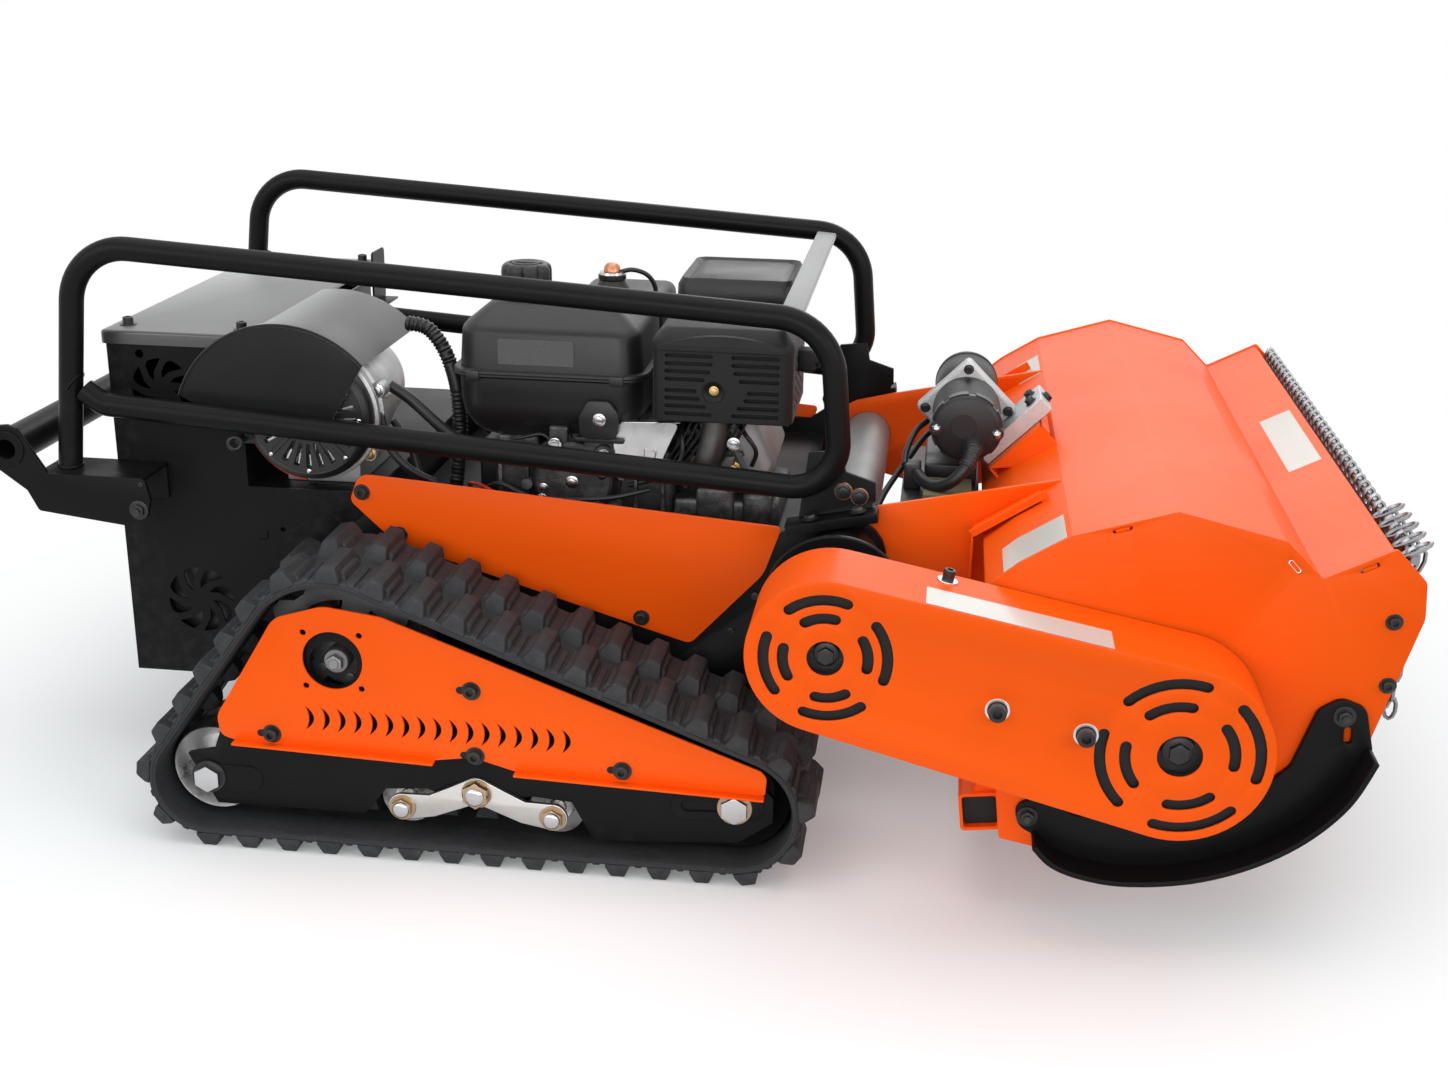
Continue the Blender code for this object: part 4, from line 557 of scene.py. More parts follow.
looks = {
    "orangePaint": dict(slot="orange_paint", colour=(0.96, 0.108, 0.0035), shade=(0.93, 0.098, 0.003),
        fine=420.0, broad=4.0, rough=0.38, spread=0.04, bump=0.05, depth=0.0003, specular=0.16),
    "blackPaint": dict(slot="black_paint", colour=(0.006, 0.0062, 0.0068), shade=(0.0095, 0.0097, 0.0104),
        fine=520.0, broad=7.0, rough=0.36, spread=0.06, bump=0.08, depth=0.0003, specular=0.11,
        rub=(0.3, 0.56, 0.66, (0.04, 0.04, 0.043))),
    "satinGrey": dict(slot="black_paint", colour=(0.01, 0.0103, 0.0112), shade=(0.014, 0.0143, 0.0152),
        fine=420.0, broad=5.0, rough=0.36, spread=0.06, bump=0.07, depth=0.0003, specular=0.14, sheen=1.0),
    # the lid's black paint, made lighter than the box's: painted highlight for the bright reflection on the lid's
    # top; its specular and sheen add real reflection as well
    "lidBlackHighlight": dict(slot="black_paint", colour=(0.016, 0.0166, 0.018), shade=(0.02, 0.0206, 0.022), fine=420.0,
        broad=5.0, rough=0.32, spread=0.05, bump=0.05, depth=0.0003, specular=1.0, sheen=1.0),
    # soot black for the exhaust parts; the same black also serves as painted shade in the sheets and slot shapes
    # that stand for unlit hollows
    "sootAndShadeBlack": dict(slot="black_paint", colour=(0.0085, 0.0085, 0.0088), shade=(0.014, 0.0138, 0.0135),
        fine=620.0, broad=14.0, rough=0.5, spread=0.08, bump=0.16, depth=0.0004, specular=0.25, sheen=0.1),
    "mouldedBlack": dict(slot="black_plastic", colour=(0.0085, 0.0087, 0.0094), shade=(0.0125, 0.0126, 0.0134),
        fine=900.0, broad=9.0, rough=0.38, spread=0.06, bump=0.14, depth=0.0003, specular=0.44, sheen=0.1),
    "rubber": dict(slot="rubber", colour=(0.015, 0.016, 0.0178), shade=(0.025, 0.0262, 0.0285), fine=330.0,
        broad=11.0, rough=0.66, spread=0.09, bump=0.22, depth=0.0007, specular=0.42,
        speckle=(0.35, (0.075, 0.074, 0.072)), rub=(0.55, 0.53, 0.64, (0.06, 0.061, 0.064))),
    "zinc": dict(slot="zinc_plate", colour=(0.7, 0.7, 0.7), shade=(0.5, 0.5, 0.5), fine=240.0, broad=16.0,
        rough=0.3, spread=0.09, bump=0.07, depth=0.0003, metallic=1.0, rub=(0.5, 0.56, 0.66, (0.9, 0.9, 0.9))),
    "brushedSteel": dict(slot="zinc_plate", colour=(0.66, 0.65, 0.62), shade=(0.45, 0.44, 0.42), fine=300.0,
        broad=12.0, rough=0.34, spread=0.1, bump=0.12, depth=0.0002, metallic=1.0, brush=(70.0, 1300.0,
        1300.0)),
    "brightSteel": dict(slot="zinc_plate", colour=(0.56, 0.56, 0.57), shade=(0.42, 0.42, 0.43), fine=300.0,
        broad=14.0, rough=0.24, spread=0.06, bump=0.04, depth=0.0002, metallic=1.0),
    "bronzeZinc": dict(slot="zinc_plate", colour=(0.46, 0.34, 0.22), shade=(0.34, 0.24, 0.15), fine=300.0,
        broad=20.0, rough=0.34, spread=0.08, bump=0.06, depth=0.0003, metallic=1.0),
    "brass": dict(slot="zinc_plate", colour=(0.62, 0.42, 0.17), shade=(0.44, 0.29, 0.11), fine=300.0,
        broad=22.0, rough=0.33, spread=0.08, bump=0.06, depth=0.0003, metallic=1.0),
    "castAluminium": dict(slot="cast_aluminium", colour=(0.58, 0.58, 0.58), shade=(0.42, 0.42, 0.425),
        fine=520.0, broad=16.0, rough=0.46, spread=0.09, bump=0.35, depth=0.0006, metallic=0.9,
        rub=(0.5, 0.55, 0.66, (0.78, 0.78, 0.78))),
    "darkCast": dict(slot="cast_aluminium", colour=(0.06, 0.06, 0.062), shade=(0.026, 0.026, 0.027), fine=520.0,
        broad=22.0, rough=0.44, spread=0.1, bump=0.35, depth=0.0006, metallic=0.8, rub=(0.8, 0.53, 0.62,
        (0.4, 0.4, 0.4))),
    "chainSteel": dict(slot="zinc_plate", colour=(0.3, 0.3, 0.31), shade=(0.2, 0.2, 0.21), fine=300.0,
        broad=14.0, rough=0.34, spread=0.06, bump=0.05, depth=0.0002, metallic=1.0),
    "dullSteel": dict(slot="zinc_plate", colour=(0.3, 0.3, 0.3), shade=(0.22, 0.22, 0.22), fine=300.0,
        broad=8.0, rough=0.52, spread=0.06, bump=0.05, depth=0.0002, metallic=0.8),
    "castIron": dict(slot="cast_metal", colour=(0.14, 0.14, 0.143), shade=(0.09, 0.09, 0.092), fine=420.0,
        broad=12.0, rough=0.52, spread=0.1, bump=0.35, depth=0.0008, metallic=0.7),
    "exhaustSteel": dict(slot="cast_metal", colour=(0.15, 0.145, 0.14), shade=(0.085, 0.082, 0.079), fine=380.0,
        broad=24.0, rough=0.44, spread=0.1, bump=0.16, depth=0.0004, metallic=0.85),
    "blackBolt": dict(slot="black_paint", colour=(0.018, 0.018, 0.019), shade=(0.03, 0.03, 0.031), fine=420.0,
        broad=30.0, rough=0.32, spread=0.07, bump=0.06, depth=0.0002, metallic=0.35, rub=(0.5, 0.56, 0.66,
        (0.1, 0.1, 0.1))),
    "redPlastic": dict(slot="black_plastic", colour=(0.55, 0.018, 0.012), shade=(0.4, 0.012, 0.01), fine=500.0,
        broad=12.0, rough=0.42, bump=0.06),
    "copper": dict(slot="zinc_plate", colour=(0.62, 0.27, 0.14), shade=(0.42, 0.17, 0.09), fine=300.0,
        broad=26.0, rough=0.34, bump=0.06, depth=0.0003, metallic=1.0),
    "oliveBlock": dict(slot="black_plastic", colour=(0.16, 0.155, 0.085), shade=(0.1, 0.098, 0.055), fine=260.0,
        broad=40.0, rough=0.62, spread=0.08, bump=0.5, depth=0.0012),
    "blankSticker": dict(slot="black_paint", colour=(0.6, 0.59, 0.54), shade=(0.56, 0.55, 0.5), fine=400.0,
        broad=5.0, rough=0.34, bump=0.02, coat=0.3, coatRough=0.15),
    "darkSticker": dict(slot="black_plastic", colour=(0.06, 0.06, 0.062), shade=(0.07, 0.07, 0.072), fine=400.0,
        broad=5.0, rough=0.22, bump=0.02, coat=0.4, coatRough=0.1),
}
materials = {name: makeSurface(name, look) for name, look in looks.items()}
print("materials:", len(materials))


# floor, light and camera
stageLook = dict(floorSize=40.0, floorColour=(0.862, 0.882, 0.884), lift=0.12, near=0.8, far=1.55,
    skyLight=0.54, skyColour=(0.97, 0.985, 1.0))


def makeStage():
    bm = bmesh.new()
    bmesh.ops.create_grid(bm, x_segments=1, y_segments=1, size=stageLook["floorSize"] / 2)
    mesh = bpy.data.meshes.new("floor")
    bm.to_mesh(mesh)
    bm.free()
    floor = bpy.data.objects.new("floor", mesh)
    bpy.context.scene.collection.objects.link(floor)
    material = bpy.data.materials.new("paleFloor")
    material.use_nodes = True
    tree = material.node_tree
    shader = tree.nodes["Principled BSDF"]
    shader.inputs["Roughness"].default_value = 0.85
    shader.inputs["Specular IOR Level"].default_value = 0.0
    shader.inputs["Emission Color"].default_value = (1.0, 1.0, 1.0, 1.0)
    # past the machine's shadow the floor turns into plain white
    spot = addNode(tree, "ShaderNodeTexCoord").outputs["Object"]
    reach = addNode(tree, "ShaderNodeVectorMath", {"operation": "LENGTH"})
    tree.links.new(spot, reach.inputs[0])
    away = addNode(tree, "ShaderNodeMapRange", {"interpolation_type": "SMOOTHSTEP",
        "From Min": stageLook["near"], "From Max": stageLook["far"]}, {"Value": reach.outputs["Value"]})
    colour = mixColour(tree, away.outputs["Result"], stageLook["floorColour"], (0.0, 0.0, 0.0))
    tree.links.new(colour, shader.inputs["Base Color"])
    lift = mapRange(tree, away.outputs["Result"], 0.0, 1.0, stageLook["lift"], 1.0)
    shown = addNode(tree, "ShaderNodeMath", {"operation": "MULTIPLY"})
    tree.links.new(lift, shown.inputs[0])
    tree.links.new(seenDirectly(tree), shown.inputs[1])
    tree.links.new(shown.outputs["Value"], shader.inputs["Emission Strength"])
    mesh.materials.append(material)

    world = bpy.data.worlds.new("studio")
    bpy.context.scene.world = world
    world.use_nodes = True
    tree = world.node_tree
    tree.nodes.clear()
    light = addNode(tree, "ShaderNodeBackground", {"Color": (*stageLook["skyColour"], 1.0),
        "Strength": stageLook["skyLight"]})
    seen = addNode(tree, "ShaderNodeBackground", {"Color": (1.0, 1.0, 1.0, 1.0), "Strength": 1.0})
    mix = addNode(tree, "ShaderNodeMixShader")
    tree.links.new(seenDirectly(tree), mix.inputs[0])
    tree.links.new(light.outputs[0], mix.inputs[1])
    tree.links.new(seen.outputs[0], mix.inputs[2])
    out = addNode(tree, "ShaderNodeOutputWorld")
    tree.links.new(mix.outputs[0], out.inputs["Surface"])


def seenDirectly(tree):
    # 1 for what the camera, a reflection or a refraction sees
    path = addNode(tree, "ShaderNodeLightPath")
    first = addNode(tree, "ShaderNodeMath", {"operation": "MAXIMUM"})
    tree.links.new(path.outputs["Is Camera Ray"], first.inputs[0])
    tree.links.new(path.outputs["Is Glossy Ray"], first.inputs[1])
    both = addNode(tree, "ShaderNodeMath", {"operation": "MAXIMUM"})
    tree.links.new(first.outputs[0], both.inputs[0])
    tree.links.new(path.outputs["Is Transmission Ray"], both.inputs[1])
    return both.outputs[0]


lamps = {
    "overhead": dict(at=(0.0, -0.3, 3.4), to=(0.0, 0.0, 0.2), size=(4.2, 3.0), watts=54.0),
    "frontFill": dict(at=(0.3, -4.4, 1.5), to=(0.0, 0.0, 0.3), size=(3.6, 1.6), watts=58.0),
    "frontLeft": dict(at=(-3.2, -3.6, 2.3), to=(0.0, 0.0, 0.3), size=(2.4, 2.0), watts=43.0),
    "frontRight": dict(at=(3.6, -2.6, 1.9), to=(0.3, 0.0, 0.3), size=(2.0, 1.8), watts=32.0),
    "rearRim": dict(at=(0.6, 3.8, 2.6), to=(0.0, 0.2, 0.4), size=(3.0, 1.6), watts=30.0),
}


def makeLamps():
    for name, lamp in lamps.items():
        data = bpy.data.lights.new(name, "AREA")
        data.shape = "RECTANGLE"
        data.size, data.size_y = lamp["size"]
        data.energy = lamp["watts"]
        piece = bpy.data.objects.new(name, data)
        bpy.context.scene.collection.objects.link(piece)
        piece.location = lamp["at"]
        aimAt = Vector(lamp["to"]) - Vector(lamp["at"])
        piece.rotation_euler = aimAt.to_track_quat("-Z", "Y").to_euler()


cameraSettings = dict(place=(0.2741, -2.3846, 1.1059), yaw=6.949, pitch=19.306, roll=0.914, lens=44.38)


def makeCamera():
    yaw, pitch, roll = (radians(cameraSettings[key]) for key in ("yaw", "pitch", "roll"))
    ahead = Vector((-sin(yaw) * cos(pitch), cos(yaw) * cos(pitch), -sin(pitch)))
    right = Vector((cos(yaw), sin(yaw), 0))
    up = right.cross(ahead)
    rolledRight = right * cos(roll) + up * sin(roll)
    rolledUp = up * cos(roll) - right * sin(roll)
    data = bpy.data.cameras.new("camera")
    data.lens = cameraSettings["lens"]
    data.sensor_width = 36.0
    data.clip_end = 100.0
    camera = bpy.data.objects.new("camera", data)
    bpy.context.scene.collection.objects.link(camera)
    turn = Matrix((rolledRight, rolledUp, -ahead)).transposed().to_4x4()
    camera.matrix_world = Matrix.Translation(Vector(cameraSettings["place"]) + shift) @ turn
    bpy.context.scene.camera = camera


bpy.context.scene.view_settings.view_transform = "Standard"
makeStage()
makeLamps()
makeCamera()
print("stage, lamps and camera")


# crawler tracks
trackSettings = dict(outside=0.5, beltWidth=0.18, carcass=0.011, lug=0.017, pairs=36, clear=0.0038,
    sprocket=(-0.43, 0.25, 0.1), rearIdler=(-0.598, 0.057), frontIdler=(0.06, 0.066), guideHeight=0.014,
    guideWidth=0.022, wheelWidth=0.09, beamOutside=0.478, beamPlate=0.008, rockerX=-0.256, pinZ=0.095,
    rollerSpread=0.094, rollerRadius=0.036)
trackMiddle = trackSettings["outside"] - trackSettings["beltWidth"] / 2
rearIdlerZ = jointPlace("rear_idler_right_spin").z
frontIdlerZ = jointPlace("front_idler_right_spin").z
rollerZ = jointPlace("roller_rear_right_spin").z
outward = (0, -1, 0)      # from the middle plane to the right side


def beltRun():
    # the straight runs and arcs of the belt's inner face, clockwise, as (length, start angle, piece) rows
    s = trackSettings
    circles = [(s["rearIdler"][0], rearIdlerZ, s["rearIdler"][1] + s["clear"]), (s["sprocket"][0],
        s["sprocket"][1], s["sprocket"][2] + s["clear"]), (s["frontIdler"][0], frontIdlerZ, s["frontIdler"][1]
        + s["clear"])]
    tangents = []
    for i in range(3):
        (x0, z0, r0), (x1, z1, r1) = circles[i], circles[(i + 1) % 3]
        tangents.append(atan2(z1 - z0, x1 - x0) + acos((r0 - r1) / hypot(x1 - x0, z1 - z0)))
    runs = []
    for i in range(3):
        x0, z0, r0 = circles[i]
        x1, z1, r1 = circles[(i + 1) % 3]
        before, after = tangents[i - 1], tangents[i]
        runs.append((r0 * ((before - after) % tau), ("arc", Vector((x0, z0)), r0, before)))
        outDirection = Vector((cos(after), sin(after)))
        start, end = Vector((x0, z0)) + outDirection * r0, Vector((x1, z1)) + outDirection * r1
        runs.append(((end - start).length, ("line", start, end, outDirection)))
    return runs


def onBelt(runs, distance):
    # point and outward direction at a distance along the belt
    distance %= sum(length for length, run in runs)
    for length, run in runs:
        if distance <= length:
            break
        distance -= length
    if run[0] == "arc":
        angle = run[3] - distance / run[2]
        outDirection = Vector((cos(angle), sin(angle)))
        return run[1] + outDirection * run[2], outDirection
    return run[1].lerp(run[2], distance / length), run[3]


def stackBlock(tiers, ease=0.0009):
    # a lug: a base and narrower tiers over it, each (height, length along X, low y, high y)
    part = bmesh.new()
    height, length, low, high = tiers[0]
    face = part.faces.new([part.verts.new((x, y, height)) for x, y in ((-length / 2, low), (length / 2, low),
        (length / 2, high), (-length / 2, high))])
    for height, length, low, high in tiers[1:]:
        grown = bmesh.ops.extrude_discrete_faces(part, faces=[face])
        face = grown["faces"][0]
        for corner in face.verts:
            corner.co = Vector((math.copysign(length / 2, corner.co.x), low if corner.co.y < (tiers[0][2]
                + tiers[0][3]) / 2 else high, height))
    bmesh.ops.recalc_face_normals(part, faces=part.faces[:])
    rims = [edge for edge in part.edges
        if len(edge.link_faces) == 2 and edge.calc_face_angle(0) > radians(25)]
    bmesh.ops.bevel(part, geom=rims, offset=ease, segments=1, profile=0.5, affect="EDGES", clamp_overlap=True,
        material=-1)
    mesh = bpy.data.meshes.new("lug")
    part.to_mesh(mesh)
    part.free()
    return mesh


def setOnBelt(bm, mesh, point, outDirection, y):
    # copies a lug so that its +Z stands outward and its X runs along the belt
    along = Vector((outDirection.y, 0, -outDirection.x))
    up = Vector((outDirection.x, 0, outDirection.y))
    turn = Matrix((along, Vector((0, 1, 0)), up)).transposed().to_4x4()
    before = len(bm.verts)
    bm.from_mesh(mesh)
    bm.verts.ensure_lookup_table()
    matrix = Matrix.Translation((point.x, y, point.y)) @ turn
    bmesh.ops.transform(bm, matrix=matrix, verts=bm.verts[before:])


def trackBelt():
    s = trackSettings
    runs = beltRun()
    total = sum(length for length, run in runs)
    bm = bmesh.new()
    edge, inner, half = s["outside"], s["outside"] - s["beltWidth"], 0.0012
    thick = s["carcass"]
    # across the belt: y from the middle plane and height over the inner face
    section = [(inner + 0.004, 0.0), (trackMiddle - 0.04, 0.0), (trackMiddle - 0.038, 0.0018),
        (trackMiddle + 0.038, 0.0018), (trackMiddle + 0.04, 0.0), (edge - 0.006, 0.0), (edge - half, 0.0022),
        (edge - half, thick * 0.42), (edge, thick * 0.5), (edge, thick * 0.66), (edge - half, thick * 0.74),
        (edge - half, thick - 0.002), (edge - 0.004, thick), (inner + 0.004, thick),
        (inner + half, thick - 0.003), (inner + half, 0.003)]
    steps = s["pairs"] * 5
    loops = []
    for i in range(steps):
        point, out = onBelt(runs, total * i / steps)
        ring = [bm.verts.new((point.x + out.x * h, -y, point.y + out.y * h)) for y, h in section]
        loops.append([bm.edges.new((ring[k - 1], ring[k])) for k in range(len(ring))])
    for i in range(steps):
        bmesh.ops.bridge_loops(bm, edges=loops[i - 1] + loops[i])
    pitch = total / s["pairs"]
    top = s["lug"]
    middle = -trackMiddle
    nearLug = stackBlock([(-0.002, 0.03, -edge + 0.0005, middle - 0.003), (0.003, 0.0285, -edge + 0.0005,
        middle - 0.005), (top - 0.0025, 0.0185, -edge + 0.004, middle - 0.012), (top, 0.016, -edge + 0.0062,
        middle - 0.015)])
    farLug = stackBlock([(-0.002, 0.03, middle + 0.003, -inner - 0.0005), (0.003, 0.0285, middle + 0.005,
        -inner - 0.0005), (top - 0.0025, 0.0185, middle + 0.012, -inner - 0.004), (top, 0.016, middle + 0.015,
        -inner - 0.0062)])
    nearStep = stackBlock([(-0.002, 0.039, -edge + 0.012, middle - 0.016), (0.006, 0.035, -edge + 0.015,
        middle - 0.02), (0.0085, 0.03, -edge + 0.017, middle - 0.024)])
    farStep = stackBlock([(-0.002, 0.039, middle + 0.016, -inner - 0.012), (0.006, 0.035, middle + 0.02,
        -inner - 0.015), (0.0085, 0.03, middle + 0.024, -inner - 0.017)])
    rib = stackBlock([(-0.001, 0.01, -edge + 0.002, middle - 0.02), (0.0022, 0.007, -edge + 0.004,
        middle - 0.024)], 0.0005)
    guide = stackBlock([(-0.001, 0.03, middle - 0.011, middle + 0.011), (0.008, 0.024, middle - 0.0095, middle
        + 0.0095), (s["guideHeight"], 0.013, middle - 0.006, middle + 0.006)])
    for i in range(s["pairs"]):
        for share, mesh in ((0.0, nearLug), (0.0, nearStep), (0.5, farLug), (0.5, farStep), (0.5, rib)):
            point, out = onBelt(runs, pitch * (i + share))
            setOnBelt(bm, mesh, point + out * thick, out, 0)
        point, out = onBelt(runs, pitch * (i + 0.5))
        setOnBelt(bm, guide, point, -out, 0)
    bmesh.ops.recalc_face_normals(bm, faces=bm.faces[:])
    makePair("crawler_belt", bm, "rubber", "chassis", "track_belt", sharp=28)
    for mesh in (nearLug, farLug, nearStep, farStep, rib, guide):
        bpy.data.meshes.remove(mesh)


def trackWheels():
    s = trackSettings
    half = s["wheelWidth"] / 2
    bore = 0.0107
    near = -trackMiddle - half      # outer face
    wheels = (("rear_idler", s["rearIdler"][0], rearIdlerZ, s["rearIdler"][1], "zinc"),
        ("front_idler", s["frontIdler"][0], frontIdlerZ, s["frontIdler"][1], "blackPaint"),
        ("roller_rear", s["rockerX"] - s["rollerSpread"], rollerZ, s["rollerRadius"], "zinc"),
        ("roller_front", s["rockerX"] + s["rollerSpread"], rollerZ, s["rollerRadius"], "zinc"))
    for name, x, z, radius, finish in wheels:
        groove = radius - 0.018
        gap = s["guideWidth"] / 2 + 0.005
        dish = radius * 0.72
        side = [(bore, near + 0.001), (bore + 0.007, near), (bore + 0.009, near + 0.004),
            (bore + 0.01, near + 0.016), (dish * 0.92, near + 0.02), (dish, near + 0.016),
            (radius - 0.005, near + 0.003), (radius - 0.002, near), (radius, near + 0.003)]
        back = [(r, -trackMiddle * 2 - y) for r, y in reversed(side)]
        profile = side + [(radius, -trackMiddle - gap), (radius - 0.004, -trackMiddle - gap + 0.001),
            (groove, -trackMiddle - gap + 0.003), (groove, -trackMiddle + gap - 0.003),
            (radius - 0.004, -trackMiddle + gap - 0.001), (radius, -trackMiddle + gap)] + back
        bm = bmesh.new()
        lathe(bm, profile, (x, 0, z), steps=56)
        makePair(name + "_wheel", bm, finish, name + "_{}_wheel", name)


def driveSprocket():
    s = trackSettings
    x, z, radius = s["sprocket"]
    root, teeth = radius - 0.013, 10
    pitch = 360 / teeth
    outline = []
    for tooth in range(teeth):
        middle = tooth * pitch
        outline += arc((x, z), radius, middle - pitch * 0.13, middle + pitch * 0.13, 2)
        outline += arc((x, z), root, middle + pitch * 0.36, middle + pitch * 0.64, 4)
    windows = [arc((x, z), 0.07, turn - 21, turn + 21, 6) + arc((x, z), 0.036, turn + 15, turn - 15, 4)
        for turn in range(36, 396, 72)]
    bm = bmesh.new()
    for low in (-trackMiddle - 0.033, -trackMiddle + 0.017):
        plate(bm, outline, low, low + 0.016, holes=windows, ease=0.0015, segments=2)
    end = -s["beamOutside"] + 0.012
    lathe(bm, [(0, end + 0.001), (0.015, end + 0.001), (0.016, end + 0.003), (0.016, -trackMiddle - 0.036),
        (0.03, -trackMiddle - 0.034), (0.04, -trackMiddle - 0.03), (0.042, -trackMiddle + 0.038),
        (0.02, -trackMiddle + 0.04), (0.02, -0.305), (0, -0.305)], (x, 0, z))
    for i in range(5):
        a = radians(72 * i)
        hexHead(bm, onRing(x, z, 0.03, a, -trackMiddle - 0.033), outward, 0.006, 0.005)
    makePair("sprocket", bm, "castIron", "sprocket_{}", "drive_sprocket")
    nut = bmesh.new()
    washer(nut, (x, end, z), outward, 0.015, 0, 0.0022)
    hexHead(nut, (x, end - 0.0022, z), outward, 0.0108, 0.0088)
    lathe(nut, [(0, 0), (0.0065, 0), (0.0065, 0.012), (0.0055, 0.013), (0, 0.013)], (x, end, z), outward, 24)
    makePair("sprocket_nut", nut, "dullSteel", "sprocket_{}")


def rockers():
    s = trackSettings
    outside = s["beamOutside"] + 0.007
    left, right = s["rockerX"] - s["rollerSpread"], s["rockerX"] + s["rollerSpread"]
    pin = s["rockerX"]
    rise = [(left + 0.034, rollerZ + 0.0185), (left + 0.058, rollerZ + 0.03)]
    outline = (arc((left, rollerZ), 0.018, 262, 100, 14) + rise + arc((pin, s["pinZ"]), 0.0195, 112, 68, 6)
        + [(2 * pin - a, b) for a, b in reversed(rise)] + arc((right, rollerZ), 0.018, 80, -82, 14)
        + [(right - 0.04, rollerZ - 0.01)] + arc((pin, s["pinZ"] - 0.002), 0.0185, -62, -118, 6)
        + [(left + 0.04, rollerZ - 0.01)])
    bm = bmesh.new()
    plate(bm, outline, -outside, -outside + 0.006, ease=0.0011, segments=2)
    inner = -trackMiddle + s["wheelWidth"] / 2 + 0.002
    plate(bm, arc((left, rollerZ), 0.015, 270, 90, 10) + arc((right, rollerZ), 0.015, 90, -90, 10), inner,
        inner + 0.005)
    for x in (left, right):
        rod(bm, 0.0098, -outside + 0.001, inner + 0.002, (x, 0, rollerZ), steps=24)
    makePair("rocker_plate", bm, "brushedSteel", "rocker_{}_arm", "rocker")
    ends = bmesh.new()
    nuts = bmesh.new()
    for x in (left, right):
        washer(nuts, (x, -outside, rollerZ), outward, 0.0165, 0, 0.002)
        hexHead(nuts, (x, -outside - 0.002, rollerZ), outward, 0.0135, 0.005)
        domeEnd = [(0, 0.004), (0.0105, 0.004), (0.0105, 0.009), (0.0095, 0.0105), (0.007, 0.0116), (0, 0.012)]
        lathe(ends, domeEnd, (x, -outside, rollerZ), outward, 28)
    makePair("roller_nuts", nuts, "bronzeZinc", "rocker_{}_arm")
    makePair("roller_bolt_ends", ends, "brightSteel", "rocker_{}_arm")


def trackBeams():
    s = trackSettings
    bm = refined("track_frame_right", 0.0009, 2)
    front, rear = s["frontIdler"][0], s["rearIdler"][0]
    face = -s["beamOutside"]
    # raised adjuster plate with its slot at the front, and the pad round the rear axle
    slotHole = straightSlot((front - 0.058, frontIdlerZ - 0.002), (front - 0.022, frontIdlerZ), 0.014)
    pad = straightSlot((front - 0.06, frontIdlerZ - 0.002), (front + 0.018, frontIdlerZ), 0.036)
    plate(bm, pad, face - 0.0022, face + 0.001, holes=[slotHole], ease=0.0007)
    plate(bm, straightSlot((rear - 0.004, rearIdlerZ), (rear + 0.052, rearIdlerZ), 0.034), face - 0.0018, face
        + 0.001, ease=0.0007)
    makePair("track_beam", bm, "blackPaint", "chassis", "track_frame")
    axleBolts, washers, pin = bmesh.new(), bmesh.new(), bmesh.new()
    for x, z in ((rear, rearIdlerZ), (front, frontIdlerZ)):
        hexHead(axleBolts, (x, face - 0.0042, z), outward, 0.018, 0.0086)
    washer(washers, (rear, face - 0.0018, rearIdlerZ), outward, 0.0215, 0, 0.0024)
    makePair("axle_bolts", axleBolts, "brightSteel", "chassis")
    makePair("axle_washers", washers, "blackBolt", "chassis")
    pinFace = -s["beamOutside"] - 0.0073
    washer(pin, (front, face - 0.0022, frontIdlerZ), outward, 0.0215, 0, 0.0022)
    washer(pin, (s["rockerX"], pinFace, s["pinZ"]), outward, 0.0185, 0, 0.0022)
    hexHead(pin, (s["rockerX"], pinFace - 0.0022, s["pinZ"]), outward, 0.018, 0.008)
    makePair("rocker_pin_nut", pin, "bronzeZinc", "chassis")
    pinEnd = bmesh.new()
    lathe(pinEnd, [(0, 0), (0.0115, 0), (0.0115, 0.003), (0.01, 0.0046), (0.007, 0.0056), (0, 0.006)],
        (s["rockerX"], pinFace - 0.01, s["pinZ"]), outward, 28)
    makePair("rocker_pin_end", pinEnd, "brightSteel", "chassis")


guardPlate = dict(thickness=0.003, standsIn=0.01, window=(-0.4266, 0.26, 0.0372), crescents=17,
    crescentPitch=0.0198, corners=[(-0.574, 0.152), (-0.577, 0.178), (-0.497, 0.3105), (-0.4355, 0.329),
    (-0.3644, 0.32), (0.092, 0.153), (0.0985, 0.145), (0.097, 0.1215), (-0.2074, 0.131), (-0.258, 0.145),
    (-0.305, 0.138), (-0.557, 0.147)], radii=[0.012, 0.022, 0.03, 0.04, 0.03, 0.01, 0.008, 0.004, 0.01, 0.06,
    0.01, 0.008], bolts=[(-0.5084, 0.1584), (-0.2572, 0.2328), (-0.2548, 0.1475), (-0.075, 0.1417)])


def crescent(centre, height, width):
    x, z = centre
    half = height / 2
    outer = [(x - width + (width * 1.9) * (1 - (t / half) ** 2), z + t) for t in (half * k / 4 for k in range(4,
        -5, -1))]
    inner = [(x - width + (width * 0.75) * (1 - (t / half) ** 2), z + t) for t in (half * k / 4
        for k in range(-3, 4))]
    return outer + inner


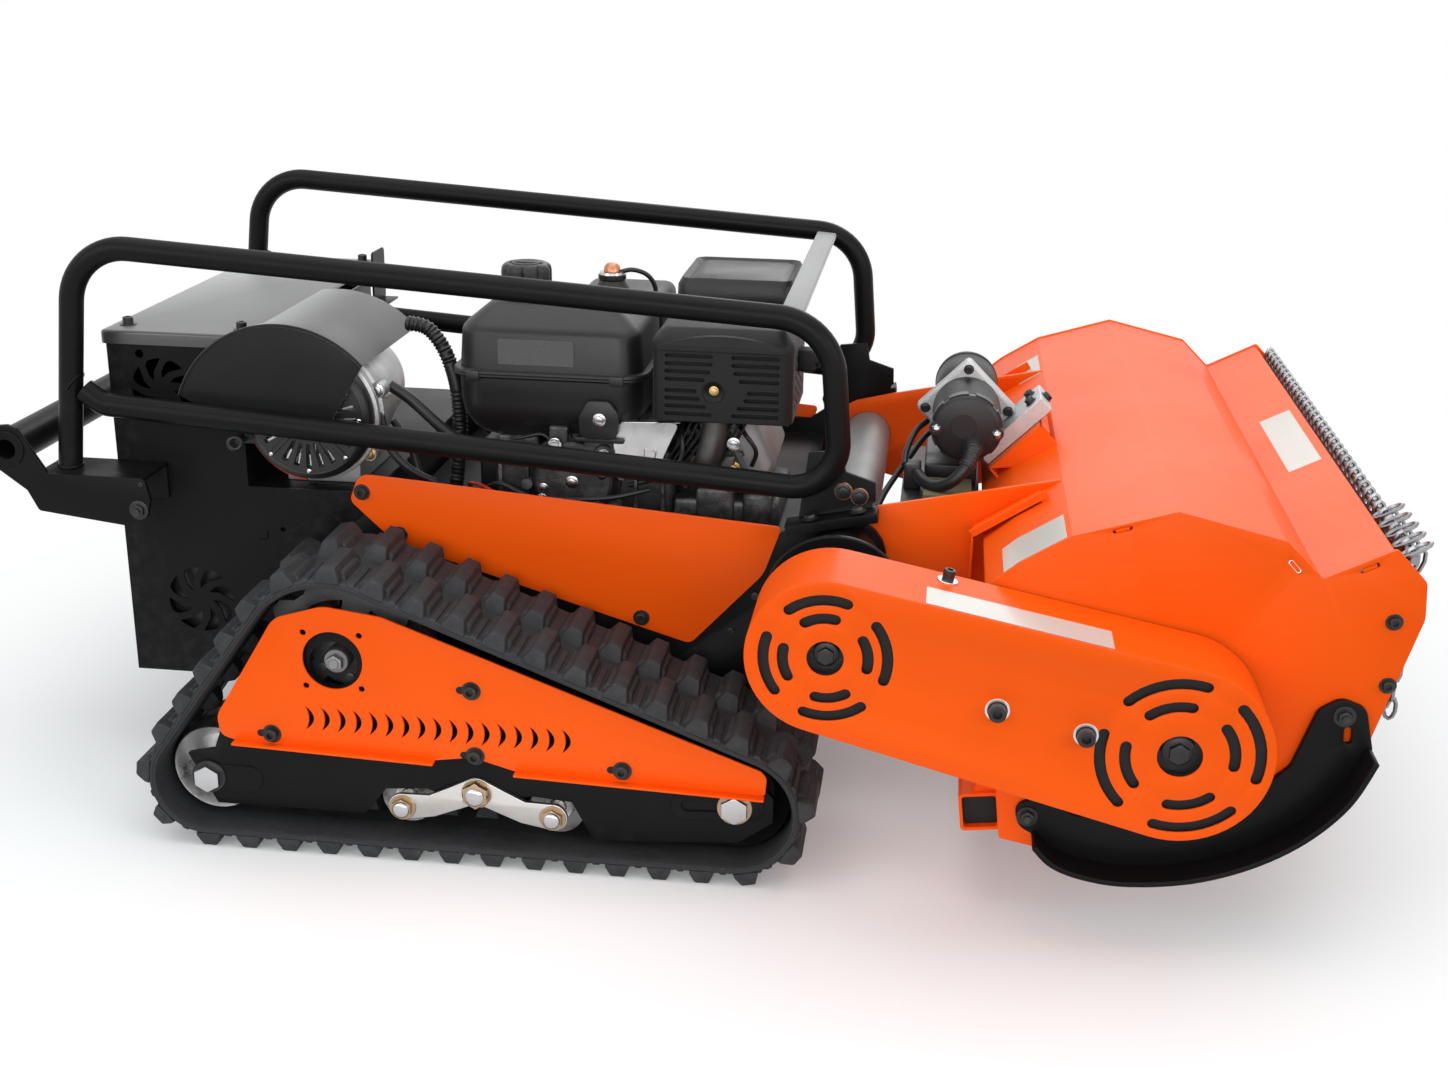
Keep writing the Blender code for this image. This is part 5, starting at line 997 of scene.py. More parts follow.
def trackGuards():
    g = guardPlate
    near = trackSettings["outside"] - g["standsIn"]
    outline = roundCorners(g["corners"], g["radii"], 5)
    wx, wz, wr = g["window"]
    crescents = [crescent((-0.459 + g["crescentPitch"] * i, 0.183 - 0.0005 * i), 0.032, 0.0058)
        for i in range(g["crescents"])]
    bm = bmesh.new()
    corner = 0.7071 * (wr + 0.0115)
    small = [circle((wx + corner * sx, wz + corner * sz), 0.004, 12) for sx in (-1, 1) for sz in (-1, 1)]
    plate(bm, outline, -near, -near + g["thickness"], holes=[circle((wx, wz), wr, 48), *small, *crescents],
        ease=0.0006, segments=2)
    lipOut = 0.0118
    for low, high in (((-0.305, 0.1382), (-0.557, 0.147)), ((0.0965, 0.1217), (-0.206, 0.1312))):
        plate(bm, ribbon([low, high], -g["thickness"]), -near - lipOut, -near + 0.001, ease=0.0008, segments=2)
    makePair("guard_plate", bm, "orangePaint", "chassis", "track_guard")
    bolts = bmesh.new()
    for x, z in g["bolts"]:
        washer(bolts, (x, -near, z), outward, 0.0118, 0, 0.0012)
        socketHead(bolts, (x, -near - 0.0012, z), outward, 0.0078, 0.0072)
        rod(bolts, 0.01, 0, 0.008, (x, -near + 0.011, z), outward, 20)
    makePair("guard_bolts", bolts, "blackBolt", "chassis")
    # dark slot shapes a hair proud of the guard's face round each bolt: painted shade of slotted holes that are
    # not cut
    slots = bmesh.new()
    for x, z in g["bolts"]:
        plate(slots, straightSlot((x - 0.014, z), (x + 0.007, z + 0.0005), 0.0092), -near - 0.0004, -near
            + 0.001, ease=0)
    makePair("guard_slot_shade", slots, "sootAndShadeBlack", "chassis")


def gearboxes():
    x, z = trackSettings["sprocket"][:2]
    bm = bmesh.new()
    near, far = -0.2933, -0.316
    lathe(bm, [(0.0207, near - 0.001), (0.062, near), (0.062, near - 0.009), (0.06, near - 0.011),
        (0.053, near - 0.012), (0.051, far + 0.002), (0.049, far), (0.0207, far)], (x, 0, z), steps=56)
    for i in range(8):
        a = radians(45 * i + 22)
        socketHead(bm, onRing(x, z, 0.056, a, near - 0.011), outward, 0.0042, 0.004)
    makePair("gearbox", bm, "castIron", "chassis", "drive_gearbox")


trackBelt()
trackWheels()
driveSprocket()
rockers()
trackBeams()
trackGuards()
gearboxes()
print("tracks")


# frame, control box, cage and bumper
chassisSettings = dict(frameHalf=0.293, sheet=0.003, boxRear=-0.782, boxFront=-0.44, stepX=-0.607,
    boxHalf=0.268, boxBottom=0.132, shelf=0.4, boxTop=0.597, cageHalf=0.3148, cageRadius=0.015,
    bumper=(-0.891, 0.458, 0.0235, 0.013), bracketTop=0.428)


def loft(bm, rings, ease=0.0, over=38):
    # skins a row of closed rings and closes both ends
    part = bmesh.new()
    loops = []
    for ring in rings:
        corners = [part.verts.new(point) for point in ring]
        loops.append([part.edges.new((corners[k - 1], corners[k])) for k in range(len(corners))])
    for first, second in zip(loops, loops[1:]):
        bmesh.ops.bridge_loops(part, edges=first + second)
    for end in (loops[0], loops[-1]):
        bmesh.ops.contextual_create(part, geom=end)
    bmesh.ops.recalc_face_normals(part, faces=part.faces[:])
    easeEdges(part, ease, 2, over)
    addTo(bm, part)


def roundedRing(x, y, z, radius, steps=6):
    # a level ring with rounded corners
    return [(a, b, z) for a, b in roundCorners(rectangle(x[0], x[1], y[0], y[1]), radius, steps)]


def chassisBody():
    makePiece("chassis_frame", refined("main_frame", 0.0009, 2), "blackPaint", "chassis", "main_frame")
    near = chassisSettings["frameHalf"] + 0.0003
    outline = roundCorners([(-0.462, 0.398), (-0.448, 0.434), (-0.4, 0.431), (0.092, 0.394), (0.07, 0.33),
        (-0.022, 0.23), (-0.405, 0.345)], [0.012, 0.018, 0.05, 0.006, 0.05, 0.014, 0.014], 6)
    bm = bmesh.new()
    plate(bm, outline, -near - 0.003, -near, ease=0.0008, segments=2)
    makePair("side_cover", bm, "orangePaint", "chassis", "side_panel")
    bolts = bmesh.new()
    for x, z in ((-0.445, 0.41), (-0.398, 0.356), (-0.085, 0.262)):
        socketHead(bolts, (x, -near - 0.003, z), outward, 0.007, 0.0062, 0.0105)
    for x, z in ((0.06, 0.3), (0.03, 0.25), (0.12, 0.3), (0.2, 0.318)):
        socketHead(bolts, (x, -chassisSettings["frameHalf"], z), outward, 0.005, 0.004)
    makePair("side_cover_bolts", bolts, "blackBolt", "chassis")


def swirlSlots(centre, radius):
    # eight curved blades' openings round a vent's centre
    holes = []
    for i in range(8):
        turn = 45 * i
        outerSide = arc(centre, radius, turn, turn + 26, 5)
        tip = arc(centre, radius * 0.36, turn + 44, turn + 44, 1)[0]
        start, end = Vector(outerSide[0]), Vector(outerSide[-1])
        tipPoint = Vector(tip)
        bulge = Vector(arc(centre, radius * 0.8, turn + 42, turn + 42, 1)[0])
        hollow = Vector(arc(centre, radius * 0.62, turn + 22, turn + 22, 1)[0])
        back = [tuple(end.lerp(bulge, 0.55)), tuple(bulge.lerp(tipPoint, 0.45))]
        front = [tuple(tipPoint), tuple(hollow), tuple(hollow.lerp(start, 0.55))]
        holes.append(outerSide + back + front)
    return holes


def controlBox():
    s = chassisSettings
    t = s["sheet"]
    half = s["boxHalf"]
    outline = [(s["boxRear"], s["boxBottom"]), (s["boxFront"], s["boxBottom"]), (s["boxFront"], s["shelf"]),
        (s["stepX"], s["shelf"]), (s["stepX"], s["boxTop"]), (s["boxRear"], s["boxTop"])]
    vents = swirlSlots((-0.684, 0.238), 0.045) + swirlSlots((-0.712, 0.524), 0.041)
    bm = bmesh.new()
    rightHoles = vents + [circle((-0.739, 0.57), 0.0055, 16), straightSlot((-0.585, 0.33), (-0.585, 0.34),
        0.0012), straightSlot((-0.5975, 0.3285), (-0.587, 0.3285), 0.0012), circle((-0.564, 0.343), 0.0035, 16)]
    plate(bm, outline, -half, -half + t, holes=rightHoles, ease=0.0007)
    plate(bm, outline, half - t, half, holes=vents, ease=0.0007)
    inside = half - t + 0.0004
    brick(bm, (s["boxRear"], s["boxRear"] + t), (-inside, inside), (s["boxBottom"], s["boxTop"]), 0.0007)
    brick(bm, (s["boxRear"], s["boxFront"]), (-inside, inside), (s["boxBottom"], s["boxBottom"] + t), 0.0007)
    brick(bm, (s["boxFront"] - t, s["boxFront"]), (-inside, inside), (s["boxBottom"], s["shelf"]), 0.0007)
    brick(bm, (s["stepX"] - t, s["boxFront"]), (-inside, inside), (s["shelf"] - t, s["shelf"]), 0.0007)
    brick(bm, (s["stepX"] - t, s["stepX"]), (-inside, inside), (s["shelf"], s["boxTop"]), 0.0007)
    makePiece("electronics_box", bm, "blackPaint", "chassis", "control_box")
    rear = bmesh.new()
    for z in (0.2, 0.33, 0.54):
        for y in (-0.225, 0.225):
            socketHead(rear, (s["boxRear"], y, z), (-1, 0, 0), 0.006, 0.005, 0.0095)
    plate(rear, roundCorners(rectangle(-0.17, 0.17, 0.23, 0.31), 0.012), s["boxRear"] - 0.0022, s["boxRear"]
        + 0.0005, axis="X", ease=0.0006)
    for y in (-0.1, 0.0, 0.1):
        lathe(rear, [(0, 0), (0.014, 0), (0.0135, 0.006), (0.01, 0.008), (0, 0.008)], (s["boxRear"] - 0.002, y,
            0.27), (-1, 0, 0), 32)
    makePiece("box_rear_fittings", rear, "blackBolt", "chassis")

    lid = bmesh.new()
    reach = 0.005
    top = s["boxTop"] + 0.0033
    x, y = (s["boxRear"] - reach, s["stepX"] + 0.02), (-half - reach, half + reach)
    rings = [roundedRing(x, y, s["boxTop"] - 0.014, 0.006), roundedRing(x, y, top - 0.004, 0.006)]
    for share in (30, 60, 90):
        a = radians(share)
        inset = 0.004 * (1 - cos(a))
        rings.append(roundedRing((x[0] + inset, x[1] - inset), (y[0] + inset, y[1] - inset), top - 0.004
            + 0.004 * sin(a), 0.006 - inset * 0.5))
    loft(lid, rings)
    plate(lid, rectangle(x[1] - 0.001, x[1], top - 0.003, s["boxTop"] - 0.016), y[0] + 0.004, y[1] - 0.004)
    makePiece("box_lid", lid, "lidBlackHighlight", "chassis", "control_box_lid")
    bolts = tray("chassis", "blackBolt")
    for bx in (-0.764, -0.612):
        for by in (-0.238, 0.25):
            socketHead(bolts, (bx, by, top), (0, 0, 1), 0.0068, 0.009, 0.0105)
    upright = bmesh.new()
    plate(upright, roundCorners(rectangle(0.205, 0.262, 0.545, 0.622), 0.006), -0.584, -0.581, axis="X",
        ease=0.0007)
    brick(upright, (-0.584, -0.562), (0.205, 0.262), (0.543, 0.546), 0.0007)
    makePiece("box_upright_plate", upright, "blackPaint", "chassis")
    label = bmesh.new()
    plate(label, roundCorners(rectangle(-0.716, -0.664, 0.195, 0.245), 0.003), top - 0.0002, top + 0.0004,
        axis="Z", ease=0)
    makePiece("lid_label", label, "blankSticker", "chassis")


def rollCage():
    s = chassisSettings
    y = -s["cageHalf"]
    route = [(-0.823, y, s["bracketTop"] + 0.0022), (-0.79, y, 0.717), (0.146, y, 0.658), (0.164, y, 0.449),
        (-0.77, y, 0.5145), (-0.7935, y, 0.532)]
    bm = bmesh.new()
    bar(bm, roundCorners(route, [0, 0.075, 0.075, 0.055, 0.03, 0], 14, closed=False), s["cageRadius"], 26)
    # weld beads where the lower rail meets the rear post and where the post meets its bracket
    for spot, direction in (((-0.8055, y, 0.5405), (-0.8, 0, 0.6)), ((-0.823, y, s["bracketTop"] + 0.004),
            (0, 0, 1))):
        ring = [(0.0152 + 0.0022 * cos(a), 0.0022 * sin(a)) for a in (tau * k / 10
            for k in range(10))]
        lathe(bm, ring, spot, direction, 40)
    makePair("cage_tube", bm, "blackPaint", "chassis", "cage_side", sharp=40)
    cross = bmesh.new()
    reach = s["cageHalf"] - s["cageRadius"] + 0.004
    plate(cross, roundCorners([(0.081, 0.655), (0.109, 0.653), (0.109, 0.661), (0.081, 0.663)], 0.0015, 3),
        -reach, reach, ease=0.0)
    makePiece("cage_cross_plate", cross, "satinGrey", "chassis", "cage_cross_bar")

    bumperX, bumperZ, radius, bore = s["bumper"]
    tube = bmesh.new()
    reach = 0.347
    lathe(tube, [(bore, -reach), (bore + 0.001, -reach), (radius - 0.0012, -reach), (radius, -reach + 0.0012),
        (radius, reach - 0.0012), (radius - 0.0012, reach), (bore, reach)], (bumperX, 0, bumperZ), steps=56)
    makePiece("rear_bumper_tube", tube, "blackPaint", "chassis", "bumper_tube")
    makePair("bumper_channel", refined("bumper_bracket_right", 0.0009, 2), "blackPaint", "chassis",
        "bumper_bracket")
    bolts = bmesh.new()
    hexHead(bolts, (-0.722, -0.345, 0.386), outward, 0.0088, 0.0065, 0.0125)
    rod(bolts, 0.0046, 0, 0.01, (-0.722, -0.345, 0.386), outward, 16)
    socketHead(bolts, (-0.7165, -0.345, 0.42), outward, 0.0032, 0.0016)
    makePair("bumper_bolts", bolts, "blackBolt", "chassis")


def pivotTowers():
    makePair("pivot_bracket", refined("pivot_tower_right", 0.0009, 2), "blackPaint", "chassis", "pivot_tower")
    bolts, washers = bmesh.new(), bmesh.new()
    face = -0.2993
    for x, z in ((0.147, 0.476), (0.166, 0.446), (0.186, 0.44)):
        hexHead(bolts, (x, face - 0.0015, z), outward, 0.0072, 0.0056, 0.01)
        washer(washers, (x, face, z), outward, 0.0112, 0, 0.0015)
    for x, y in ((0.128, -0.322), (0.186, -0.322)):
        z = 0.4325 if x > 0.15 else 0.4195
        hexHead(bolts, (x, y, z - 0.004), (-0.2, 0, 0.98), 0.0072, 0.006, 0.01)
    makePair("tower_bolts", bolts, "blackBolt", "chassis")
    makePair("tower_washers", washers, "copper", "chassis")
    tube = bmesh.new()
    reach, radius = 0.2847, 0.035
    lathe(tube, [(radius - 0.005, -reach), (radius - 0.001, -reach), (radius, -reach + 0.001),
        (radius, reach - 0.001), (radius - 0.001, reach), (radius - 0.005, reach)], (pivotX, 0, pivotZ),
        steps=64)
    makePiece("pivot_sleeve", tube, "dullSteel", "chassis", "pivot_tube")
    bearing = bmesh.new()
    near, disc, bore = 0.2996, 0.46, 0.0147
    lathe(bearing, [(bore, -near), (0.044, -near), (0.045, -near - 0.001), (0.045, -disc + 0.012),
        (0.048, -disc + 0.008), (0.0825, -disc + 0.008), (0.084, -disc + 0.0065), (0.084, -disc + 0.0015),
        (0.0825, -disc), (0.06, -disc), (0.058, -disc + 0.002), (0.032, -disc + 0.002), (0.03, -disc),
        (bore, -disc)], (pivotX, 0, pivotZ), steps=64)
    makePiece("jackshaft_housing", bearing, "blackPaint", "chassis", "jackshaft_bearing")


chassisBody()
controlBox()
rollCage()
pivotTowers()
print("chassis")


# generator, engine and what stands round them
generatorSettings = dict(x=-0.517, z=0.5, radius=0.083, front=-0.252, back=-0.06)
hoodSettings = dict(centre=(-0.5445, 0.478), radius=0.142, front=-0.293, back=-0.055, left=161.0, right=41.4)
engineSettings = dict(deck=0.3533, exhaust=(-0.01, -0.19), lean=25.0, start=(-0.08, 0.411))


def generator():
    g = generatorSettings
    x, z, radius = g["x"], g["z"], g["radius"]
    bm = bmesh.new()
    front, back = g["front"], g["back"]
    lathe(bm, [(0, front + 0.001), (radius - 0.003, front + 0.001), (radius, front + 0.003),
        (radius, front + 0.012), (radius + 0.004, front + 0.014), (radius + 0.004, front + 0.03),
        (radius + 0.001, front + 0.032), (radius - 0.002, front + 0.08), (radius - 0.006, front + 0.084),
        (radius - 0.018, back - 0.014), (radius - 0.03, back), (0, back)], (x, 0, z), steps=64)
    for i in range(9):       # low ribs on the housing's shoulder
        a = radians(40 * i + 8)
        middle = Vector(onRing(x, z, radius - 0.0035, a, 0))
        brick(bm, (middle.x - 0.004, middle.x + 0.004), (front + 0.031, front + 0.082), (middle.z - 0.003,
            middle.z + 0.003), 0.0012, 2, (-degrees(a), "Y"))
    for i in range(6):       # bolt lugs round the front flange
        a = radians(60 * i + 20)
        lathe(bm, [(0, front + 0.01), (0.0095, front + 0.01), (0.0105, front + 0.012), (0.0105, front + 0.03),
            (0, front + 0.03)], onRing(x, z, radius + 0.003, a, 0), steps=24)
    brick(bm, (x - 0.05, x + 0.05), (front + 0.02, back - 0.03), (0.4003, z - 0.048), 0.003)
    makePiece("generator_housing", bm, "castAluminium", "chassis", "generator_body")
    brassBolts, steelBolts = tray("chassis", "brass"), tray("chassis", "brightSteel")
    for i in range(6):
        a = radians(60 * i + 20)
        spot = onRing(x, z, radius + 0.003, a, front + 0.01)
        hexHead(brassBolts if i % 2 else steelBolts, spot, outward, 0.0062, 0.005, 0.0085)

    ring = bmesh.new()
    edge = front - 0.0006
    band = arc((x, z), radius + 0.0075, 176, 262, 24) + arc((x, z), radius - 0.003, 262, 176, 24)
    plate(ring, band, edge - 0.0105, edge, ease=0.0012, segments=2)
    makePiece("red_ring", ring, "redPlastic", "chassis")
    collar = bmesh.new()
    lathe(collar, [(radius - 0.006, edge), (radius + 0.0035, edge), (radius + 0.0045, edge - 0.001),
        (radius + 0.0045, edge - 0.009), (radius + 0.003, edge - 0.01), (radius - 0.006, edge - 0.01)],
        (x, 0, z), steps=72)
    makePiece("fan_collar", collar, "castAluminium", "chassis")

    cover = bmesh.new()
    depth = 0.0325
    face = front - depth
    slots = []
    for i in range(24):
        slots.append([(x + r * cos(a), z + r * sin(a)) for r,
            a in ((0.034, radians(15 * i - 3.4)), (0.0655, radians(15 * i - 3.1)),
            (0.0655, radians(15 * i + 3.1)), (0.034, radians(15 * i + 3.4)))])
    slots = [roundCorners(slot, 0.0014, 3) for slot in slots]
    plate(cover, circle((x, z), 0.0725, 72), face, face + 0.003, holes=slots, ease=0.0004)
    lathe(cover, [(0.0722, face + 0.0008), (0.0735, face + 0.0002), (0.078, face + 0.002),
        (0.0815, face + 0.0055), (0.083, face + 0.01), (0.083, front - 0.0004), (0.0795, front - 0.0004),
        (0.0795, face + 0.01), (0.0722, face + 0.003)], (x, 0, z), steps=72)
    lathe(cover, [(0, face - 0.0022), (0.0185, face - 0.0022), (0.0215, face - 0.001), (0.0235, face + 0.0012),
        (0, face + 0.0012)], (x, 0, z), steps=48)
    for i in range(4):
        a = radians(90 * i + 45)
        plate(cover, [(x + r * cos(b), z + r * sin(b)) for r, b in ((0.02, a - 0.16),
            (0.071, a - 0.045), (0.071, a + 0.045), (0.02, a + 0.16))], face - 0.0012, face + 0.001,
            ease=0.0005)
    makePiece("fan_cover", cover, "mouldedBlack", "chassis", "starter_cover")
    rivets = bmesh.new()
    for i in range(8):
        a = radians(45 * i)
        lathe(rivets, [(0, 0), (0.0032, 0), (0.0028, 0.001), (0.0015, 0.0016), (0, 0.0018)],
            onRing(x, z, 0.0694, a, face), outward, 16)
    makePiece("fan_cover_rivets", rivets, "brightSteel", "chassis")
    fan = bmesh.new()
    for i in range(16):
        a = radians(22.5 * i + 7)
        brick(fan, (x + 0.047 * cos(a) - 0.017, x + 0.047 * cos(a) + 0.017),
            (face + 0.01, face + 0.024), (z + 0.047 * sin(a) - 0.001, z + 0.047 * sin(a) + 0.001),
            0.0003, 1, (-degrees(a) + 12, "Y"))
    rod(fan, 0.026, face + 0.012, front - 0.002, (x, 0, z), steps=40)
    for i in range(24):      # the fan's rim blades stand close behind the slots
        a = radians(15 * i + 1.5)
        brick(fan, (x + 0.056 * cos(a) - 0.0075, x + 0.056 * cos(a) + 0.0075),
            (face + 0.0045, face + 0.01), (z + 0.056 * sin(a) - 0.0018, z + 0.056 * sin(a) + 0.0018),
            0.0004, 1, (-degrees(a), "Y"))
    makePiece("cooling_fan", fan, "castAluminium", "chassis")

    knobX, knobZ, knobY = x - 0.092, z - 0.034, hoodSettings["front"] + 0.004
    knob = bmesh.new()
    ringProfile = [(0.0078 + 0.0034 * cos(a), 0.0034 * sin(a)) for a in (tau * k / 12
        for k in range(12))]
    lathe(knob, ringProfile, (knobX, knobY - 0.006, knobZ), (0.35, -1, 0.0), 32)
    lathe(knob, [(0, -0.2683), (0.0065, -0.2683), (0.0065, knobY + 0.004), (0.0045, knobY - 0.002),
        (0, knobY - 0.002)], (knobX, 0, knobZ), steps=24)
    brick(knob, (knobX - 0.004, knobX + 0.03), (-0.274, -0.2684), (knobZ - 0.006, knobZ + 0.006), 0.0012)
    makePiece("pull_handle", knob, "mouldedBlack", "chassis", "starter_handle")


def generatorHood():
    h = hoodSettings
    centre, radius = h["centre"], h["radius"]
    full = arc(centre, radius, h["left"], h["right"], 48)
    bm = bmesh.new()
    plate(bm, full + roundCorners([full[-1], (-0.484, 0.495), (-0.654, 0.512), full[0]], [0, 0.01, 0.012, 0], 5,
        closed=False)[1:-1], h["front"], h["front"] + 0.002, ease=0.0007, segments=2)
    lidSide = -0.2735
    plate(bm, ribbon(full, 0.002), h["front"] + 0.0005, lidSide, ease=0.0005)
    short = arc(centre, radius, 100, h["right"], 28)
    plate(bm, ribbon(short, 0.002), lidSide - 0.001, h["back"], ease=0.0005)
    # a rolled bead round the hood's outer edge
    bar(bm, [(a, h["front"] + 0.001, b) for a, b in full], 0.0022, 10)
    makePiece("arched_hood", bm, "satinGrey", "chassis", "generator_hood")


def leaned(start, along, side):
    # a point beside the leaning cylinder, in its own lengthwise and crosswise distances
    a = radians(engineSettings["lean"])
    lean = Vector((cos(a), sin(a)))
    cross = Vector((-lean.y, lean.x))
    return tuple(Vector(start) + lean * along + cross * side)


def engineBlock():
    e = engineSettings
    start = e["start"]
    deck = e["deck"]
    bm = bmesh.new()
    brick(bm, (-0.3, -0.06), (-0.19, 0.16), (deck, 0.455), 0.012, 4)
    brick(bm, (-0.31, -0.05), (-0.194, 0.164), (deck, deck + 0.016), 0.004, 3)
    lathe(bm, [(0, -0.212), (0.048, -0.212), (0.052, -0.209), (0.055, -0.2), (0.06, -0.196), (0.062, -0.188),
        (0, -0.188)], (-0.19, 0, 0.412), steps=56)
    for i in range(8):       # bosses and ribs of the side cover
        a = radians(45 * i + 10)
        cx, cz = -0.19 + 0.064 * cos(a), 0.412 + 0.056 * sin(a)
        lathe(bm, [(0, -0.203), (0.0075, -0.203), (0.0085, -0.201), (0.009, -0.186), (0, -0.186)],
            (cx, 0, max(cz, deck + 0.01)), steps=20)
    for i in range(7):
        x = -0.29 + 0.036 * i
        brick(bm, (x - 0.0025, x + 0.0025), (-0.197, -0.186), (deck + 0.018, 0.446), 0.0015, 2)
    for x0, x1, y0, y1, z0, z1 in ((-0.292, -0.238, -0.196, -0.13, 0.452, 0.466), (-0.222, -0.196, -0.208,
            -0.17, 0.446, 0.484), (-0.176, -0.136, -0.212, -0.18, 0.43, 0.476), (-0.135, -0.062, -0.15, 0.09,
            0.44, 0.47)):
        brick(bm, (x0, x1), (y0, y1), (z0, z1), 0.004, 3)
    for x, z, r in ((-0.148, 0.452, 0.013), (-0.255, 0.448, 0.01), (-0.102, 0.436, 0.012),
            (-0.212, 0.462, 0.008)):
        lathe(bm, [(0, -0.216), (r - 0.002, -0.216), (r, -0.213), (r, -0.19), (0, -0.19)], (x, 0, z), steps=28)
    body = [leaned(start, -0.03, -0.044), leaned(start, 0.1, -0.044), leaned(start, 0.1, 0.044),
        leaned(start, -0.03, 0.044)]
    plate(bm, body, -0.148, 0.088, ease=0.003, segments=2)
    head = [leaned(start, 0.086, -0.047), leaned(start, 0.1, -0.047), leaned(start, 0.1, 0.047),
        leaned(start, 0.086, 0.047)]
    plate(bm, head, -0.156, 0.096, ease=0.002, segments=2)
    for x0, x1, y0, y1, z1 in ((-0.06, 0.078, -0.196, -0.03, 0.392), (-0.03, 0.02, -0.204, -0.15, 0.41),
            (0.03, 0.07, -0.2, -0.12, 0.404)):
        brick(bm, (x0, x1), (y0, y1), (deck, z1), 0.007, 3)
    port = (e["exhaust"][0], 0.452)
    lathe(bm, [(0, -0.1725), (0.02, -0.1725), (0.022, -0.17), (0.022, -0.16), (0.017, -0.158), (0.017, -0.14),
        (0, -0.14)], (port[0], 0, port[1] - 0.01), steps=36)
    makePiece("crankcase", bm, "darkCast", "chassis", "engine_block")

    fins = bmesh.new()
    for i in range(9):       # thin cooling fins round the cylinder
        a = 0.004 + 0.0092 * i
        outline = [leaned(start, a, -0.05), leaned(start, a + 0.0024, -0.05), leaned(start, a + 0.0024, 0.052),
            leaned(start, a, 0.052)]
        plate(fins, outline, -0.158, 0.098, ease=0.0005)
    for i in range(9):       # slanted fins beside the exhaust port
        x = -0.072 + 0.0088 * i
        stations = [(x + 0.034, 0.494), (x + 0.024, 0.472), (x + 0.006, 0.446), (x - 0.012, 0.424)]
        outline = [(a - 0.0013, b) for a, b in stations] + [(a + 0.0013, b) for a, b in stations[::-1]]
        plate(fins, outline, -0.196, -0.146, ease=0.0004)
    makePiece("cooling_fins", fins, "sootAndShadeBlack", "chassis")

    cover = bmesh.new()
    base = leaned(start, 0.1, -0.014)
    rings = []
    for along, halfZ, lowY, highY, radius in ((0.0005, 0.054, -0.157, 0.032, 0.01), (0.006, 0.054, -0.157,
            0.032, 0.01), (0.0065, 0.049, -0.152, 0.027, 0.01), (0.022, 0.047, -0.15, 0.025, 0.01),
            (0.034, 0.04, -0.142, 0.018, 0.01), (0.039, 0.033, -0.134, 0.01, 0.008)):
        flat = roundCorners(rectangle(-halfZ, halfZ, lowY, highY), radius, 5)
        ring = []
        for side, y in flat:
            px, pz = leaned(base, along, side)
            ring.append((px, y, pz))
        rings.append(ring)
    loft(cover, rings)
    for y in (-0.128, -0.085, -0.04, 0.0):
        low, high = leaned(base, 0.036, -0.026), leaned(base, 0.036, 0.026)
        bar(cover, [(low[0], y, low[1]), (high[0], y, high[1])], 0.0034, 10)
    makePiece("valve_lid", cover, "dullSteel", "chassis")
    steel = tray("chassis", "brightSteel")
    lean = radians(e["lean"])
    for side, y in ((-0.04, -0.147), (0.04, -0.147), (-0.04, 0.022), (0.04, 0.022), (0.0, -0.15)):
        px, pz = leaned(base, 0.0065, side)
        hexHead(steel, (px, y, pz), (cos(lean), 0, sin(lean)), 0.0045, 0.0045, 0.0065)


